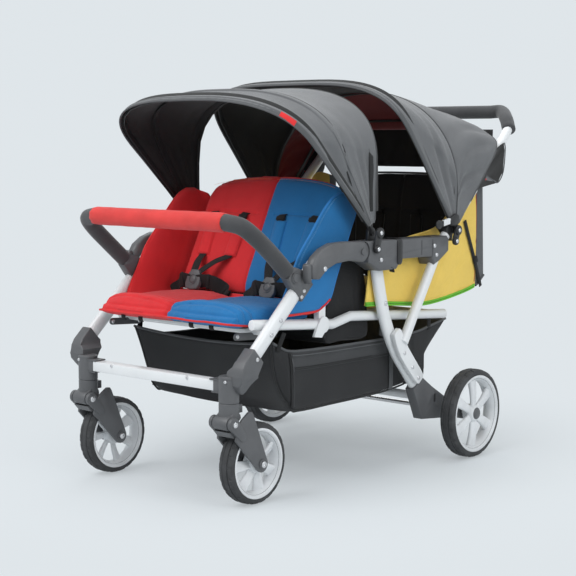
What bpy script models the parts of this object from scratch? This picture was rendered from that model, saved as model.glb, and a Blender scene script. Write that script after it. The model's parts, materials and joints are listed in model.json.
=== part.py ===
"""Four-seat pushchair: two rows of two seats on one folding frame, two canopies, a basket and a bumper bar.

Metres, +Z up. The front faces -Y and the child's left side is +X. The origin is on the floor,
under the middle of the object. All the side-frame points below are (y, z) in the plane of one side,
measured from halfway between the front and rear axles, and the whole model is centred at the end.
"""

import math

import bmesh
import bpy
from mathutils import Matrix, Vector

# Clearances
GAP = 0.0003          # between two pieces that rest on each other
RUN = 0.0007          # round a shaft that turns in a hole
SLIP = 0.0015         # between moving faces

# Overall sizes
WHEELBASE = 0.735     # front axle to rear axle, castors trailing
REAR_TRACK = 0.700    # middle of one rear tyre to the middle of the other
FRONT_TRACK = 0.474   # the same for the front tyres
FRAME_HALF = 0.273    # middle plane of a leg tube

# Wheels
FRONT_R = 0.0955
FRONT_RIM_R = 0.0824
REAR_R = 0.1167
REAR_RIM_R = 0.1020
TYRE_W = 0.044
TYRE_IN = 0.0095      # depth of the tyre's bead below its side edge
WEB_T = 0.014
HUB_R = 0.024
AXLE_R = 0.0060
WHEEL_SIDES = 24
FRONT_SPOKES = 7
REAR_SPOKES = 6

# Castors
TRAIL = 0.0785        # steering axis to axle
BARREL_R = 0.0235
SPLIT_Z = 0.2460      # where the turning head meets the fixed housing
BARREL_TOP = 0.3070
HEAD_DROP = 0.0300
SUS_FORWARD = 0.0170  # suspension pivot ahead of the steering axis
SUS_Z = 0.2018
LUG_R = 0.0165
FORK_T = 0.0090
FORK_CLEAR = 0.0022   # fork arm to the side of the tyre
SUS_PIN_R = 0.0060
STEM_R = 0.0070
STEM_L = 0.0340
FORK_R = 0.0155

# Tubes, as (across the object, in the side plane)
LEG_T = 0.022
LEG_W = 0.037
RAIL_T = 0.020
RAIL_W = 0.025
HANDLE_T = 0.024
HANDLE_W = 0.028
RAIL_LEG_GAP = 0.006  # rail to leg, filled by the spacers

# Side frame, (y, z)
LEG_FOOT = (-0.4280, 0.3280)
LEG_TOP = (-0.1960, 0.5410)
REAR_TOP = (0.0480, 0.5280)
REAR_BOW = [(0.0700, 0.4400), (0.0950, 0.3700), (0.1350, 0.3000), (0.1850, 0.2420)]
REAR_FOOT = (0.2330, 0.1880)
RAIL_FRONT = (-0.3800, 0.4150)
RAIL_MID_A = (-0.0900, 0.3890)
RAIL_MID_B = (-0.0200, 0.4020)
RAIL_REAR = (0.3900, 0.3700)
FOLD = (0.0880, 0.3960)        # rail crosses the rear leg here: the fold's pivot
ARM_PIVOT = (-0.0530, 0.5660)  # front arm turns here
ARM_R = 0.0250
HOUSING_END = 0.3120
HANDLE_FOOT = (0.1350, 0.3250)
HANDLE_KNEE = (0.2880, 0.5600)
HANDLE_BEND = (0.6480, 0.8900)
HANDLE_TOP = (0.6930, 0.9120)
GRIP_R = 0.0185
BRACKET_WALL = 0.0040

# Bumper bar
BAR_FOOT = (-0.2880, 0.5300)
BAR_DIR = (-0.7700, 0.6380)
BAR_FRONT = (-0.4340, 0.6490)
BAR_STRAIGHT = 0.2180  # half of the straight front
FOAM_R = 0.0195
SLEEVE_R = 0.0232
PRONG_R = 0.0090
PRONG_L = 0.0105
BUTTON_R = 0.0105
BUTTON_TRAVEL = 0.0030

# Seats
SEAT_HALF = 0.2335
PAD_T = 0.0420
SEAT_Z = 0.4050
REAR_SEAT_RISE = 0.0030
FRONT_EDGE = -0.3520
LIP = 0.0720          # how far the stuffed lip rolls out past the front edge
FRONT_BACK_Y = -0.1540
FRONT_HINGE = (-0.1370, 0.4400)
HINGE_PIN_R = 0.0050
FRONT_BACK_L = 0.3380
FRONT_LEAN = 26.0
WING_T = 0.0040
REAR_EDGE = 0.0820
REAR_BACK_Y = 0.4780
REAR_HINGE = (0.5150, 0.4350)
REAR_BACK_H = 0.3100
REAR_LEAN = 6.0

# Canopies: pivots (y, z), inner side of the moving bows, and angles of the bows up from straight ahead
F_PIVOT = (0.0020, 0.6090)
R_PIVOT = (0.3350, 0.6000)
F_SIDE = 0.2960
R_SIDE = 0.3095
F_FRONT_ANGLE = 43.3
F_MID_ANGLE = 56.5
F_BACK_ANGLE = 90.3
R_FRONT_ANGLE = 51.5
R_MID_ANGLE = 92.4
R_BACK_ANGLE = 125.5
# Shape of the cloth over each bow: reach at the middle, squareness and height of the corner
F_FRONT = (0.4700, 2.8, 0.2900)
F_MID = (0.4100, 2.7, 0.2300)
F_BACK = (0.3530, 2.6, 0.1600)
R_FRONT = (0.4800, 3.7, 0.2700)
R_MID = (0.3650, 2.1, 0.1000)
R_BACK = (0.3600, 3.4, 0.2000)
BOW_UNDER = 0.0060    # middle of a bow under the cloth's outer face
CLOTH_GAP = 0.0010
CANOPY_PIN_R = 0.0030
BOW_T = 0.0022
BOW_W = 0.0090
CLOTH = 0.0022
CLOTH_FOOT = 0.0500   # from the pivot to the cloth's lower ends

# Basket
BASKET_HALF = 0.2335
BASKET_Z = 0.1860
BASKET_TOP = 0.3330
BASKET_WALL = 0.0030


def clear_scene():
    for obj in list(bpy.data.objects):
        bpy.data.objects.remove(obj, do_unlink=True)


def material(name, colour, roughness, metallic=0.0):
    mat = bpy.data.materials.get(name) or bpy.data.materials.new(name)
    mat.use_nodes = True
    shader = mat.node_tree.nodes["Principled BSDF"]
    shader.inputs["Base Color"].default_value = (*colour, 1.0)
    shader.inputs["Roughness"].default_value = roughness
    shader.inputs["Metallic"].default_value = metallic
    mat.diffuse_color = (*colour, 1.0)
    return mat


def finish(bm, name, mat, origin=(0.0, 0.0, 0.0)):
    """Makes an object of a bmesh that is in world places, with its origin where asked."""
    bmesh.ops.recalc_face_normals(bm, faces=bm.faces)
    bmesh.ops.translate(bm, verts=bm.verts, vec=-Vector(origin))
    mesh = bpy.data.meshes.new(name)
    bm.to_mesh(mesh)
    bm.free()
    mesh.shade_smooth()
    mesh.set_sharp_from_angle(angle=math.radians(35))
    obj = bpy.data.objects.new(name, mesh)
    bpy.context.scene.collection.objects.link(obj)
    obj.location = origin
    obj.data.materials.append(mat)
    return obj


def combined(first, others, how):
    """Joins the others to the first, or cuts them from it, and removes them."""
    for other in others:
        mod = first.modifiers.new(how.title(), "BOOLEAN")
        mod.operation = how
        mod.solver = "EXACT"
        mod.object = other
        bpy.context.view_layer.update()
        shape = bpy.data.meshes.new_from_object(first.evaluated_get(bpy.context.evaluated_depsgraph_get()))
        first.modifiers.clear()
        first.data = shape
        bpy.data.objects.remove(other, do_unlink=True)
    return first


def joined(first, *others):
    return combined(first, others, "UNION")


def cut(first, *others):
    return combined(first, others, "DIFFERENCE")


def mirrored(obj, name):
    """The same piece for the other side of the object."""
    bm = bmesh.new()
    bm.from_mesh(obj.data)
    bmesh.ops.transform(bm, matrix=Matrix.Scale(-1.0, 4, (1.0, 0.0, 0.0)), verts=bm.verts)
    bmesh.ops.reverse_faces(bm, faces=bm.faces)
    place = obj.location
    bmesh.ops.translate(bm, verts=bm.verts, vec=Vector((-place.x, place.y, place.z)))
    return finish(bm, name, obj.data.materials[0], (-place.x, place.y, place.z))


def whole(half):
    """Adds the mirror image of a piece that ends on the middle plane, and welds the two into one."""
    bm = bmesh.new()
    bm.from_mesh(half.data)
    middle = [f for f in bm.faces if all(abs(v.co.x) < 1e-6 for v in f.verts)]
    bmesh.ops.delete(bm, geom=middle, context="FACES_ONLY")
    bmesh.ops.mirror(bm, geom=bm.verts[:] + bm.edges[:] + bm.faces[:], axis="X", merge_dist=1e-6)
    name, mat = half.name, half.data.materials[0]
    bpy.data.objects.remove(half, do_unlink=True)
    return finish(bm, name, mat)


def both(make, name, *args):
    """Makes the left piece, on +X, and its right-hand twin."""
    left = make(f"{name}_left", *args)
    return left, mirrored(left, f"{name}_right")


def prism(name, outline, low, high, mat, origin=(0.0, 0.0, 0.0), bevel=0.0):
    """An outline of (y, z) points, drawn out along X from low to high."""
    bm = bmesh.new()
    face = bm.faces.new([bm.verts.new((low, y, z)) for y, z in outline])
    out = bmesh.ops.extrude_face_region(bm, geom=[face])
    moved = [v for v in out["geom"] if isinstance(v, bmesh.types.BMVert)]
    bmesh.ops.translate(bm, verts=moved, vec=(high - low, 0.0, 0.0))
    bmesh.ops.recalc_face_normals(bm, faces=bm.faces)
    if bevel:
        rim = [e for e in bm.edges if abs(e.verts[0].co.x - e.verts[1].co.x) < 1e-6]
        bmesh.ops.bevel(bm, geom=rim, offset=bevel, segments=1, affect="EDGES", profile=0.5, material=-1)
    return finish(bm, name, mat, origin)


def arc(centre, radius, start, end, steps):
    """Points (y, z) round a centre; angles in degrees, 0 to the rear and 90 up."""
    points = []
    for i in range(steps + 1):
        a = math.radians(start + (end - start) * i / steps)
        points.append((centre[0] + radius * math.cos(a), centre[1] + radius * math.sin(a)))
    return points


def turned(name, profile, centre, mat, sides=28, origin=None):
    """Spins a closed profile of (x, radius) points round an axis along X through centre."""
    bm = bmesh.new()
    verts = [bm.verts.new((x, 0.0, r)) for x, r in profile]
    edges = [bm.edges.new((verts[i], verts[(i + 1) % len(verts)])) for i in range(len(verts))]
    bmesh.ops.spin(bm, geom=verts + edges, cent=(0, 0, 0), axis=(1, 0, 0), dvec=(0, 0, 0),
                   angle=2 * math.pi, steps=sides, use_merge=True, use_normal_flip=False, use_duplicate=False)
    bmesh.ops.remove_doubles(bm, verts=bm.verts, dist=1e-6)
    bmesh.ops.dissolve_degenerate(bm, edges=bm.edges, dist=1e-7)
    bmesh.ops.translate(bm, verts=bm.verts, vec=centre)
    return finish(bm, name, mat, origin or centre)


def peg(name, low, high, radius, mat, sides=12):
    """A round rod from one point to another."""
    low, high = Vector(low), Vector(high)
    axis = high - low
    bm = bmesh.new()
    bmesh.ops.create_cone(bm, cap_ends=True, cap_tris=False, segments=sides, radius1=radius, radius2=radius,
                          depth=axis.length)
    turn = axis.to_track_quat("Z", "Y").to_matrix().to_4x4()
    bmesh.ops.transform(bm, matrix=Matrix.Translation((low + high) / 2) @ turn, verts=bm.verts)
    return finish(bm, name, mat)


def oval(wide, high, corner_steps=2):
    """A flat-oval section: two flat sides and two half-round ends, as points (a, b)."""
    r = wide / 2
    straight = high / 2 - r
    points = []
    for middle, start in ((straight, 0.0), (-straight, 180.0)):
        for i in range(2 * corner_steps + 1):
            a = math.radians(start + 180.0 * i / (2 * corner_steps))
            points.append((r * math.cos(a), middle + r * math.sin(a)))
    return points


def ring(radius, sides):
    return [(radius * math.cos(2 * math.pi * i / sides), radius * math.sin(2 * math.pi * i / sides))
            for i in range(sides)]


def unit_vector(v):
    return v.normalized() if v.length else Vector((0.0, 0.0, 0.0))


def swept(name, path, section, mat, side=(1.0, 0.0, 0.0), to_middle=False):
    """Extrudes a section along a path. The section's first direction stays as near to side as it can.

    With to_middle, the last section lies flat in the object's middle plane, ready for its mirror image.
    """
    path = [Vector(p) for p in path]
    bm = bmesh.new()
    last_side = Vector(side)
    face = None
    for i, here in enumerate(path):
        ahead = path[min(i + 1, len(path) - 1)] - here
        behind = here - path[max(i - 1, 0)]
        along = (unit_vector(ahead) + unit_vector(behind)).normalized()
        if to_middle and i == len(path) - 1:
            along = Vector((-1.0, 0.0, 0.0))
        last_side = (last_side - along * last_side.dot(along)).normalized()
        upward = along.cross(last_side)
        turn_in = 1.0
        if 0 < i < len(path) - 1:
            turn_in = 1.0 / max(0.7, along.dot(ahead.normalized()))
        places = [here + last_side * a + upward * (b * turn_in) for a, b in section]
        if face is None:
            rim = [bm.verts.new(p) for p in places]
            face = bm.faces.new(rim)
            continue
        grown = bmesh.ops.extrude_face_region(bm, geom=[face])["geom"]
        new_face = [g for g in grown if isinstance(g, bmesh.types.BMFace)][0]
        rim = [min(new_face.verts, key=lambda v: (v.co - old.co).length) for old in rim]
        for vert, place in zip(rim, places):
            vert.co = place
        if i > 1:
            bmesh.ops.delete(bm, geom=[face], context="FACES_ONLY")
        face = new_face
    return finish(bm, name, mat)


def curve_points(points, steps):
    """A smooth line through the given points, with this many pieces between each two."""
    out = []
    pts = [Vector(p) for p in points]
    for i in range(len(pts) - 1):
        before = pts[i - 1] if i else pts[0] * 2 - pts[1]
        after = pts[i + 2] if i + 2 < len(pts) else pts[-1] * 2 - pts[-2]
        for k in range(steps):
            t = k / steps
            a, b = pts[i], pts[i + 1]
            out.append(0.5 * ((2 * a) + (b - before) * t + (2 * before - 5 * a + 4 * b - after) * t ** 2
                              + (3 * a - before - 3 * b + after) * t ** 3))
    out.append(pts[-1])
    return out


def along(a, b, share):
    return tuple(p + (q - p) * share for p, q in zip(a, b))


def unit(a, b):
    length = math.dist(a, b)
    return tuple((q - p) / length for p, q in zip(a, b))


clear_scene()
WHITE = material("white_paint", (0.86, 0.88, 0.89), 0.35)
GREY = material("grey_plastic", (0.14, 0.14, 0.15), 0.55)
BLACK = material("black_plastic", (0.02, 0.02, 0.022), 0.5)
PALE = material("light_plastic", (0.78, 0.80, 0.81), 0.45)
TYRE = material("tyre_rubber", (0.03, 0.03, 0.032), 0.75)
FOAM = material("charcoal_foam", (0.06, 0.065, 0.07), 0.8)
CHARCOAL = material("charcoal_cloth", (0.09, 0.095, 0.10), 0.85)
DARK = material("black_cloth", (0.02, 0.02, 0.022), 0.9)
RED = material("red_cloth", (0.70, 0.03, 0.04), 0.85)
BLUE = material("blue_cloth", (0.02, 0.20, 0.55), 0.85)
YELLOW = material("yellow_cloth", (0.90, 0.62, 0.12), 0.85)
STEEL = material("zinc_steel", (0.70, 0.71, 0.72), 0.35, 1.0)
WEB = material("black_webbing", (0.015, 0.015, 0.017), 0.85)

# Places that follow from the sizes
FRONT_AXLE = (-WHEELBASE / 2, FRONT_R)
REAR_AXLE = (WHEELBASE / 2, REAR_R)
STEER_Y = FRONT_AXLE[0] - TRAIL
STEER_X = FRONT_TRACK / 2
SUS = (STEER_Y - SUS_FORWARD, SUS_Z)
LEG_IN = FRAME_HALF - LEG_T / 2
LEG_OUT = FRAME_HALF + LEG_T / 2
RAIL_X = LEG_IN - RAIL_LEG_GAP - RAIL_T / 2
RAIL_IN = RAIL_X - RAIL_T / 2
RAIL_OUT = RAIL_X + RAIL_T / 2
WING_OUT = LEG_IN - 0.0010
REAR_WING_OUT = LEG_IN - GAP
REAR_BACK_HALF = REAR_WING_OUT - WING_T - 0.0070
ARM_IN = LEG_OUT + 0.0028
ARM_OUT = ARM_IN + 0.0252
HANDLE_X = LEG_OUT + 0.0005 + HANDLE_T / 2
HUB_IN = REAR_TRACK / 2 - TYRE_W / 2


def tyre(name, centre, radius, rim):
    half = TYRE_W / 2
    seat = rim - TYRE_IN
    profile = [(-half + 0.004, seat), (half - 0.004, seat), (half, rim), (half * 0.6, radius),
               (-half * 0.6, radius),
               (-half, rim)]
    return turned(name, profile, centre, TYRE, WHEEL_SIDES)


def hub(name, centre, rim, spokes, cap, outward):
    """Rim, web with windows between the spokes, and a bored boss, closed by a cap at its outer end."""
    half = TYRE_W / 2
    seat = rim - TYRE_IN - GAP
    lip = seat - 0.006
    bore = AXLE_R + RUN
    web = WEB_T / 2
    profile = [(-half + 0.005, seat), (half - 0.005, seat), (web, lip - 0.002), (web, HUB_R)]
    if cap:
        profile += [(half + 0.002, HUB_R * 0.7), (half + 0.002, 0.0), (half - 0.004, 0.0),
                    (half - 0.004, bore)]
    else:
        profile += [(half - 0.001, HUB_R * 0.8), (half - 0.001, bore)]
    profile += [(-half + 0.001, bore), (-half + 0.001, HUB_R * 0.8), (-web, HUB_R), (-web, lip - 0.002)]
    if outward < 0:
        profile = [(-x, r) for x, r in reversed(profile)]
    body = turned(name, profile, centre, PALE, WHEEL_SIDES)
    inner, outer = HUB_R + 0.006, lip - 0.007
    spoke_half = 0.0085
    windows = []
    for i in range(spokes):
        mid = 360.0 * i / spokes
        near = 180.0 / spokes - math.degrees(math.asin(spoke_half / inner))
        far = 180.0 / spokes - math.degrees(math.asin(spoke_half / outer))
        outline = (arc(centre[1:], inner, mid - near, mid + near, 1)
                   + list(reversed(arc(centre[1:], outer, mid - far, mid + far, 2))))
        windows.append(prism(f"window_{i}", outline, centre[0] - WEB_T, centre[0] + WEB_T, PALE))
    return cut(body, *windows)


def castor_wheel(side, sign):
    centre = (sign * STEER_X, FRONT_AXLE[0], FRONT_AXLE[1])
    tyre(f"front_tyre_{side}", centre, FRONT_R, FRONT_RIM_R)
    hub(f"front_hub_{side}", centre, FRONT_RIM_R, FRONT_SPOKES, False, sign)


def rear_wheel(side, sign):
    centre = (sign * REAR_TRACK / 2, REAR_AXLE[0], REAR_AXLE[1])
    tyre(f"rear_tyre_{side}", centre, REAR_R, REAR_RIM_R)
    hub(f"rear_hub_{side}", centre, REAR_RIM_R, REAR_SPOKES, True, sign)


def fork(name):
    """Two arms from the suspension pivot to the axle, joined by the pivot pin, a bridge and the axle."""
    pin = (STEER_X, *SUS)
    arms = []
    inner = TYRE_W / 2 + FORK_CLEAR
    back = unit(SUS, FRONT_AXLE)
    for low in (STEER_X + inner, STEER_X - inner - FORK_T):
        head = math.degrees(math.atan2(back[1], back[0]))
        outline = (arc(SUS, FORK_R, head + 90, head + 270, 5)
                   + arc(FRONT_AXLE, FORK_R * 0.8, head - 90, head + 90, 5))
        arms.append(prism(f"arm_{low}", outline, low, low + FORK_T, GREY))
    reach = inner + FORK_T
    bridge = along(SUS, FRONT_AXLE, 0.250)
    body = arms[0]
    body.name = name
    pieces = [arms[1]]
    for (y, z), r, extra in ((SUS, SUS_PIN_R, 0.0020), (FRONT_AXLE, AXLE_R, 0.0020),
                             (bridge, 0.0060, -0.002)):
        pieces.append(peg("rod", (STEER_X - reach - extra, y, z), (STEER_X + reach + extra, y, z), r, GREY,
                          10))
    joined(body, *pieces)
    body.data.name = name
    shift_origin(body, pin)
    return body


def shift_origin(obj, place):
    """Moves an object's origin, leaving its shape where it is."""
    offset = Vector(place) - obj.location
    obj.data.transform(Matrix.Translation(-offset))
    obj.location = place


def swivel_head(name):
    """The turning half of the castor: a round head with a lug for the fork and the stem that it turns on."""
    axis = (STEER_X, STEER_Y)
    low = SPLIT_Z - HEAD_DROP
    body = peg(name, (*axis, low), (*axis, SPLIT_Z - GAP), BARREL_R, GREY, 24)
    lug_half = TYRE_W / 2 + FORK_CLEAR - SLIP - 0.0005
    outline = (arc(SUS, LUG_R, 150, 330, 7)
               + [(STEER_Y + BARREL_R * 0.75, low + 0.010), (STEER_Y + BARREL_R * 0.6, SPLIT_Z - 0.006),
                  (SUS[0] - LUG_R * 0.8, SPLIT_Z - 0.006)])
    lug = prism("lug", outline, STEER_X - lug_half, STEER_X + lug_half, GREY)
    hole = peg("hole", (STEER_X - 0.05, *SUS), (STEER_X + 0.05, *SUS), SUS_PIN_R + RUN, GREY)
    stem = peg("stem", (*axis, SPLIT_Z - 0.01), (*axis, SPLIT_Z + STEM_L), STEM_R, GREY)
    tab = box("tab", (STEER_X - 0.009, STEER_Y + BARREL_R * 0.7, low + 0.004),
              (STEER_X + 0.009, STEER_Y + BARREL_R + 0.012, SPLIT_Z - 0.007), GREY)
    joined(body, lug, tab, stem)
    cut(body, hole)
    shift_origin(body, (*axis, SPLIT_Z))
    return body


def box(name, low, high, mat):
    bm = bmesh.new()
    bmesh.ops.create_cube(bm, size=1.0)
    size = [h - l for l, h in zip(low, high)]
    bmesh.ops.scale(bm, vec=size, verts=bm.verts)
    bmesh.ops.translate(bm, verts=bm.verts, vec=[(l + h) / 2 for l, h in zip(low, high)])
    return finish(bm, name, mat)


def leg_tube(name, points, grow=0.0, mat=WHITE):
    return swept(name, [(FRAME_HALF, y, z) for y, z in points], oval(LEG_T + 2 * grow, LEG_W + 2 * grow), mat)


def front_leg_path():
    return [LEG_FOOT, along(LEG_FOOT, LEG_TOP, 0.5), LEG_TOP]


def rear_leg_path():
    points = [(0.0, *p) for p in [REAR_TOP, *REAR_BOW, REAR_FOOT]]
    return [(p[1], p[2]) for p in curve_points(points, 2)]


def lengthened(points, extra):
    """The same path with each end drawn out, for a slot that its tube slides into."""
    first, last = unit(points[1], points[0]), unit(points[-2], points[-1])
    return ([(points[0][0] + first[0] * extra, points[0][1] + first[1] * extra)] + points[1:-1]
            + [(points[-1][0] + last[0] * extra, points[-1][1] + last[1] * extra)])


def rivets(places, face, direction, radius=0.0042, high=0.0016):
    """Low round heads that stand out of a face."""
    return [peg("rivet", (face - direction * 0.002, y, z), (face + direction * high, y, z), radius, STEEL, 8)
            for y, z in places]


def front_leg(name):
    body = leg_tube(name, front_leg_path())
    heads = [along(LEG_FOOT, LEG_TOP, s) for s in (0.31, 0.45)]
    return joined(body, *rivets(heads, LEG_OUT, 1))


def rear_leg(name):
    body = leg_tube(name, rear_leg_path())
    boss = peg("boss", (RAIL_OUT + GAP, *FOLD), (LEG_IN + 0.004, *FOLD), 0.0120, WHITE)
    return joined(body, boss, *rivets([(0.0760, 0.4280)], LEG_OUT, 1))


def castor_housing(name):
    """Barrel over the turning head, and the sleeve that the front leg slides into."""
    axis = (STEER_X, STEER_Y)
    body = peg(name, (*axis, SPLIT_Z), (*axis, BARREL_TOP), BARREL_R, GREY, 24)
    d = unit(LEG_FOOT, LEG_TOP)
    wall = 0.0045
    half = LEG_W / 2 + wall
    mouth = along(LEG_FOOT, LEG_TOP, 0.115)
    start = (LEG_FOOT[0] - d[0] * 0.016, LEG_FOOT[1] - d[1] * 0.016)
    outline = [(start[0] + d[1] * half, start[1] - d[0] * half),
               (mouth[0] + d[1] * half, mouth[1] - d[0] * half),
               (mouth[0] - d[1] * half, mouth[1] + d[0] * half), (start[0] - d[1] * half,
                                                                  start[1] + d[0] * half),
               (STEER_Y - BARREL_R * 0.6, BARREL_TOP - 0.004), (STEER_Y - BARREL_R * 0.6, SPLIT_Z + 0.008),
               (STEER_Y + BARREL_R * 0.8, SPLIT_Z + 0.008)]
    sleeve = prism("sleeve", outline, STEER_X + 0.004, LEG_OUT + wall, GREY, bevel=0.002)
    lug = box("lug", (CROSS_END, STEER_Y - 0.016, CROSS_Z - 0.013),
              (STEER_X - 0.010, STEER_Y + 0.016, CROSS_Z + 0.013), GREY)
    slot = leg_tube("slot", lengthened(front_leg_path(), GAP), GAP, GREY)
    bore = peg("bore", (*axis, SPLIT_Z - 0.01), (*axis, SPLIT_Z + STEM_L + SLIP), STEM_R + RUN, GREY)
    joined(body, sleeve, lug)
    cut(body, slot, bore)
    shift_origin(body, (*axis, SPLIT_Z))
    return body


CROSS_END = STEER_X - 0.034
CROSS_Z = 0.2830


def cross_bar(name):
    """Open channel between the two castor housings."""
    half = CROSS_END - GAP
    wall, high, deep = 0.0030, 0.0120, 0.0150
    outline = [(STEER_Y - deep, CROSS_Z - high), (STEER_Y - deep + wall, CROSS_Z - high),
               (STEER_Y - deep + wall, CROSS_Z + high - wall), (STEER_Y + deep - wall, CROSS_Z + high - wall),
               (STEER_Y + deep - wall, CROSS_Z - high), (STEER_Y + deep, CROSS_Z - high),
               (STEER_Y + deep, CROSS_Z + high), (STEER_Y - deep, CROSS_Z + high)]
    return prism(name, outline, -half, half, WHITE)


def rail_path(sign):
    return [(sign * RAIL_X, y, z) for y, z in (RAIL_FRONT, RAIL_MID_A, RAIL_MID_B, RAIL_REAR)]


def rail_z(y):
    points = [RAIL_FRONT, RAIL_MID_A, RAIL_MID_B, RAIL_REAR]
    for a, b in zip(points, points[1:]):
        if y <= b[0]:
            return a[1] + (b[1] - a[1]) * (y - a[0]) / (b[0] - a[0])
    return points[-1][1]


CROSS_TUBE_R = 0.0100
FRONT_TUBE = (-0.3300, SEAT_Z - GAP - CROSS_TUBE_R)
MID_TUBE_Y = -0.1130
REAR_TUBE_Y = 0.1250
END_TUBE_Y = 0.3500


def seat_rails(name):
    """Both seat rails, the four cross tubes between them and the spacers that bolt them to the front legs."""
    section = oval(RAIL_T, RAIL_W)
    body = swept(name, rail_path(1), section, WHITE)
    pieces = [swept("rail", rail_path(-1), section, WHITE)]
    half = RAIL_X - 0.004
    rear_z = SEAT_Z + REAR_SEAT_RISE - GAP - CROSS_TUBE_R
    for y, z in (FRONT_TUBE, (MID_TUBE_Y, rail_z(MID_TUBE_Y)), (REAR_TUBE_Y, rear_z),
                 (END_TUBE_Y, rail_z(END_TUBE_Y))):
        pieces.append(peg("tube", (-half, y, z), (half, y, z), CROSS_TUBE_R, WHITE, 10))
    spot = spacer_spot()
    for sign in (1, -1):
        pieces.append(peg("spacer", (sign * (RAIL_X + 0.004), *spot), (sign * (LEG_IN - GAP), *spot), 0.0080,
                          WHITE, 12))
    joined(body, *pieces, *recline_lugs())
    y, z = FRONT_HINGE
    return cut(body, peg("bore", (-RAIL_OUT, y, z), (RAIL_OUT, y, z), HINGE_PIN_R + RUN, WHITE, 16))


def spacer_spot():
    """Where the rail crosses the front leg in the side plane."""
    best = min((abs(rail_z(y) - z), y, z) for y, z in (along(LEG_FOOT, LEG_TOP, i / 200) for i in range(201)))
    return (best[1], rail_z(best[1]))


def recline_lugs():
    """On each rail, the round plate outside it and the bored lug above it for the front backrest's pin."""
    y, z = FRONT_HINGE
    low = rail_z(y)
    pieces = []
    for sign in (1, -1):
        plate = sorted((sign * (RAIL_OUT - 0.003), sign * (RAIL_OUT + 0.0045)))
        pieces.append(peg("plate", (plate[0], y, low), (plate[1], y, low), 0.0200, GREY, 14))
        tail = [(y - 0.036, low - 0.026), (y - 0.008, low - 0.030), (y + 0.010, low - 0.010),
                (y - 0.020, low + 0.006)]
        pieces.append(prism("tail", tail, plate[0], plate[1], GREY))
        lug = sorted((sign * (RAIL_IN + 0.0020), sign * (RAIL_OUT - 0.0020)))
        outline = arc(FRONT_HINGE, 0.0120, 0, 180, 4) + [(y - 0.0120, low), (y + 0.0120, low)]
        pieces.append(prism("lug", outline, lug[0], lug[1], GREY))
    return pieces


def socket_dir():
    return unit((0.0, 0.0), BAR_DIR)


def bar_socket(name):
    """Wraps the top of the front leg and takes the bumper bar's prong."""
    d = unit(LEG_FOOT, LEG_TOP)
    near, far = along(LEG_FOOT, LEG_TOP, 0.70), along(LEG_FOOT, LEG_TOP, 0.875)
    half = LEG_W / 2 + 0.0040
    p = socket_dir()
    foot = (BAR_FOOT[0] - p[0] * GAP * 2, BAR_FOOT[1] - p[1] * GAP * 2)
    r = 0.0170
    outline = [(near[0] + d[1] * half, near[1] - d[0] * half), (far[0] + d[1] * half, far[1] - d[0] * half),
               (far[0] - d[1] * half, far[1] + d[0] * half), (foot[0] + p[1] * r, foot[1] - p[0] * r),
               (foot[0] - p[1] * r, foot[1] + p[0] * r), (near[0] - d[1] * half, near[1] + d[0] * half)]
    body = prism(name, outline, LEG_IN + 0.0008, LEG_OUT + 0.0022, GREY, bevel=0.0008)
    slot = leg_tube("slot", lengthened(front_leg_path(), 0.02), GAP, GREY)
    deep = PRONG_L + 0.0012
    hole = peg("hole", (FRAME_HALF, foot[0] - p[0] * deep, foot[1] - p[1] * deep),
               (FRAME_HALF, foot[0] + p[0] * 0.02, foot[1] + p[1] * 0.02), PRONG_R + 0.0005, GREY, 16)
    cut(body, slot, hole)
    return body


def button_spot():
    p = socket_dir()
    return (BAR_FOOT[0] - p[0] * 0.0170 - p[1] * 0.0020, BAR_FOOT[1] - p[1] * 0.0170 + p[0] * 0.0020)


def bar_button(name):
    """Round push button that frees the bumper bar, on a thin seat on the socket's outer face."""
    y, z = button_spot()
    face = LEG_OUT + 0.0022
    body = peg(name, (face + GAP + BUTTON_TRAVEL, y, z), (face + BUTTON_TRAVEL + 0.0032, y, z), BUTTON_R,
               GREY, 20)
    shift_origin(body, (face, y, z))
    return body


def bar_cup(socket):
    """The low ring round the button, part of the socket."""
    y, z = button_spot()
    face = LEG_OUT + 0.0022
    cup = peg("cup", (face - 0.001, y, z), (face + 0.0052, y, z), BUTTON_R + 0.0030, GREY, 20)
    well = peg("well", (face, y, z), (face + 0.02, y, z), BUTTON_R + 0.0006, GREY, 20)
    joined(socket, cup)
    return cut(socket, well)


def bar_path():
    """Left half of the bumper bar, from its socket to the middle of its straight front."""
    p = socket_dir()
    foot = Vector((FRAME_HALF, *BAR_FOOT))
    rise = Vector((0.0, p[0], p[1]))
    front = Vector((0.0, *BAR_FRONT))
    elbow = [foot, foot + rise * 0.075, Vector((FRAME_HALF - 0.004, *along(BAR_FOOT, BAR_FRONT, 0.72))),
             Vector((FRAME_HALF - 0.018, *along(BAR_FOOT, BAR_FRONT, 0.93))), front + Vector((BAR_STRAIGHT,
                                                                                              0.0, 0.0))]
    return curve_points(elbow, 2) + [front]


def bumper_bar(name):
    """Foam-covered bar: two straight ends in the sockets, two bends and the straight front."""
    body = whole(swept(name, bar_path(), ring(FOAM_R, 10), FOAM, to_middle=True))
    p = socket_dir()
    prongs = []
    for sign in (1, -1):
        foot = Vector((sign * FRAME_HALF, *BAR_FOOT))
        rise = Vector((0.0, p[0], p[1]))
        prongs.append(peg("prong", foot + rise * 0.010, foot - rise * PRONG_L, PRONG_R, STEEL, 12))
    return joined(body, *prongs)


def bumper_sleeve(name):
    """Textile tube round the straight front of the bumper bar."""
    half = BAR_STRAIGHT - 0.001
    body = peg(name, (-half, *BAR_FRONT), (half, *BAR_FRONT), SLEEVE_R, RED, 20)
    return cut(body, whole(swept("bar", bar_path(), ring(FOAM_R + GAP, 10), RED, to_middle=True)))


ARM_NOSE = (-0.2420, 0.5350)


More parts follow.
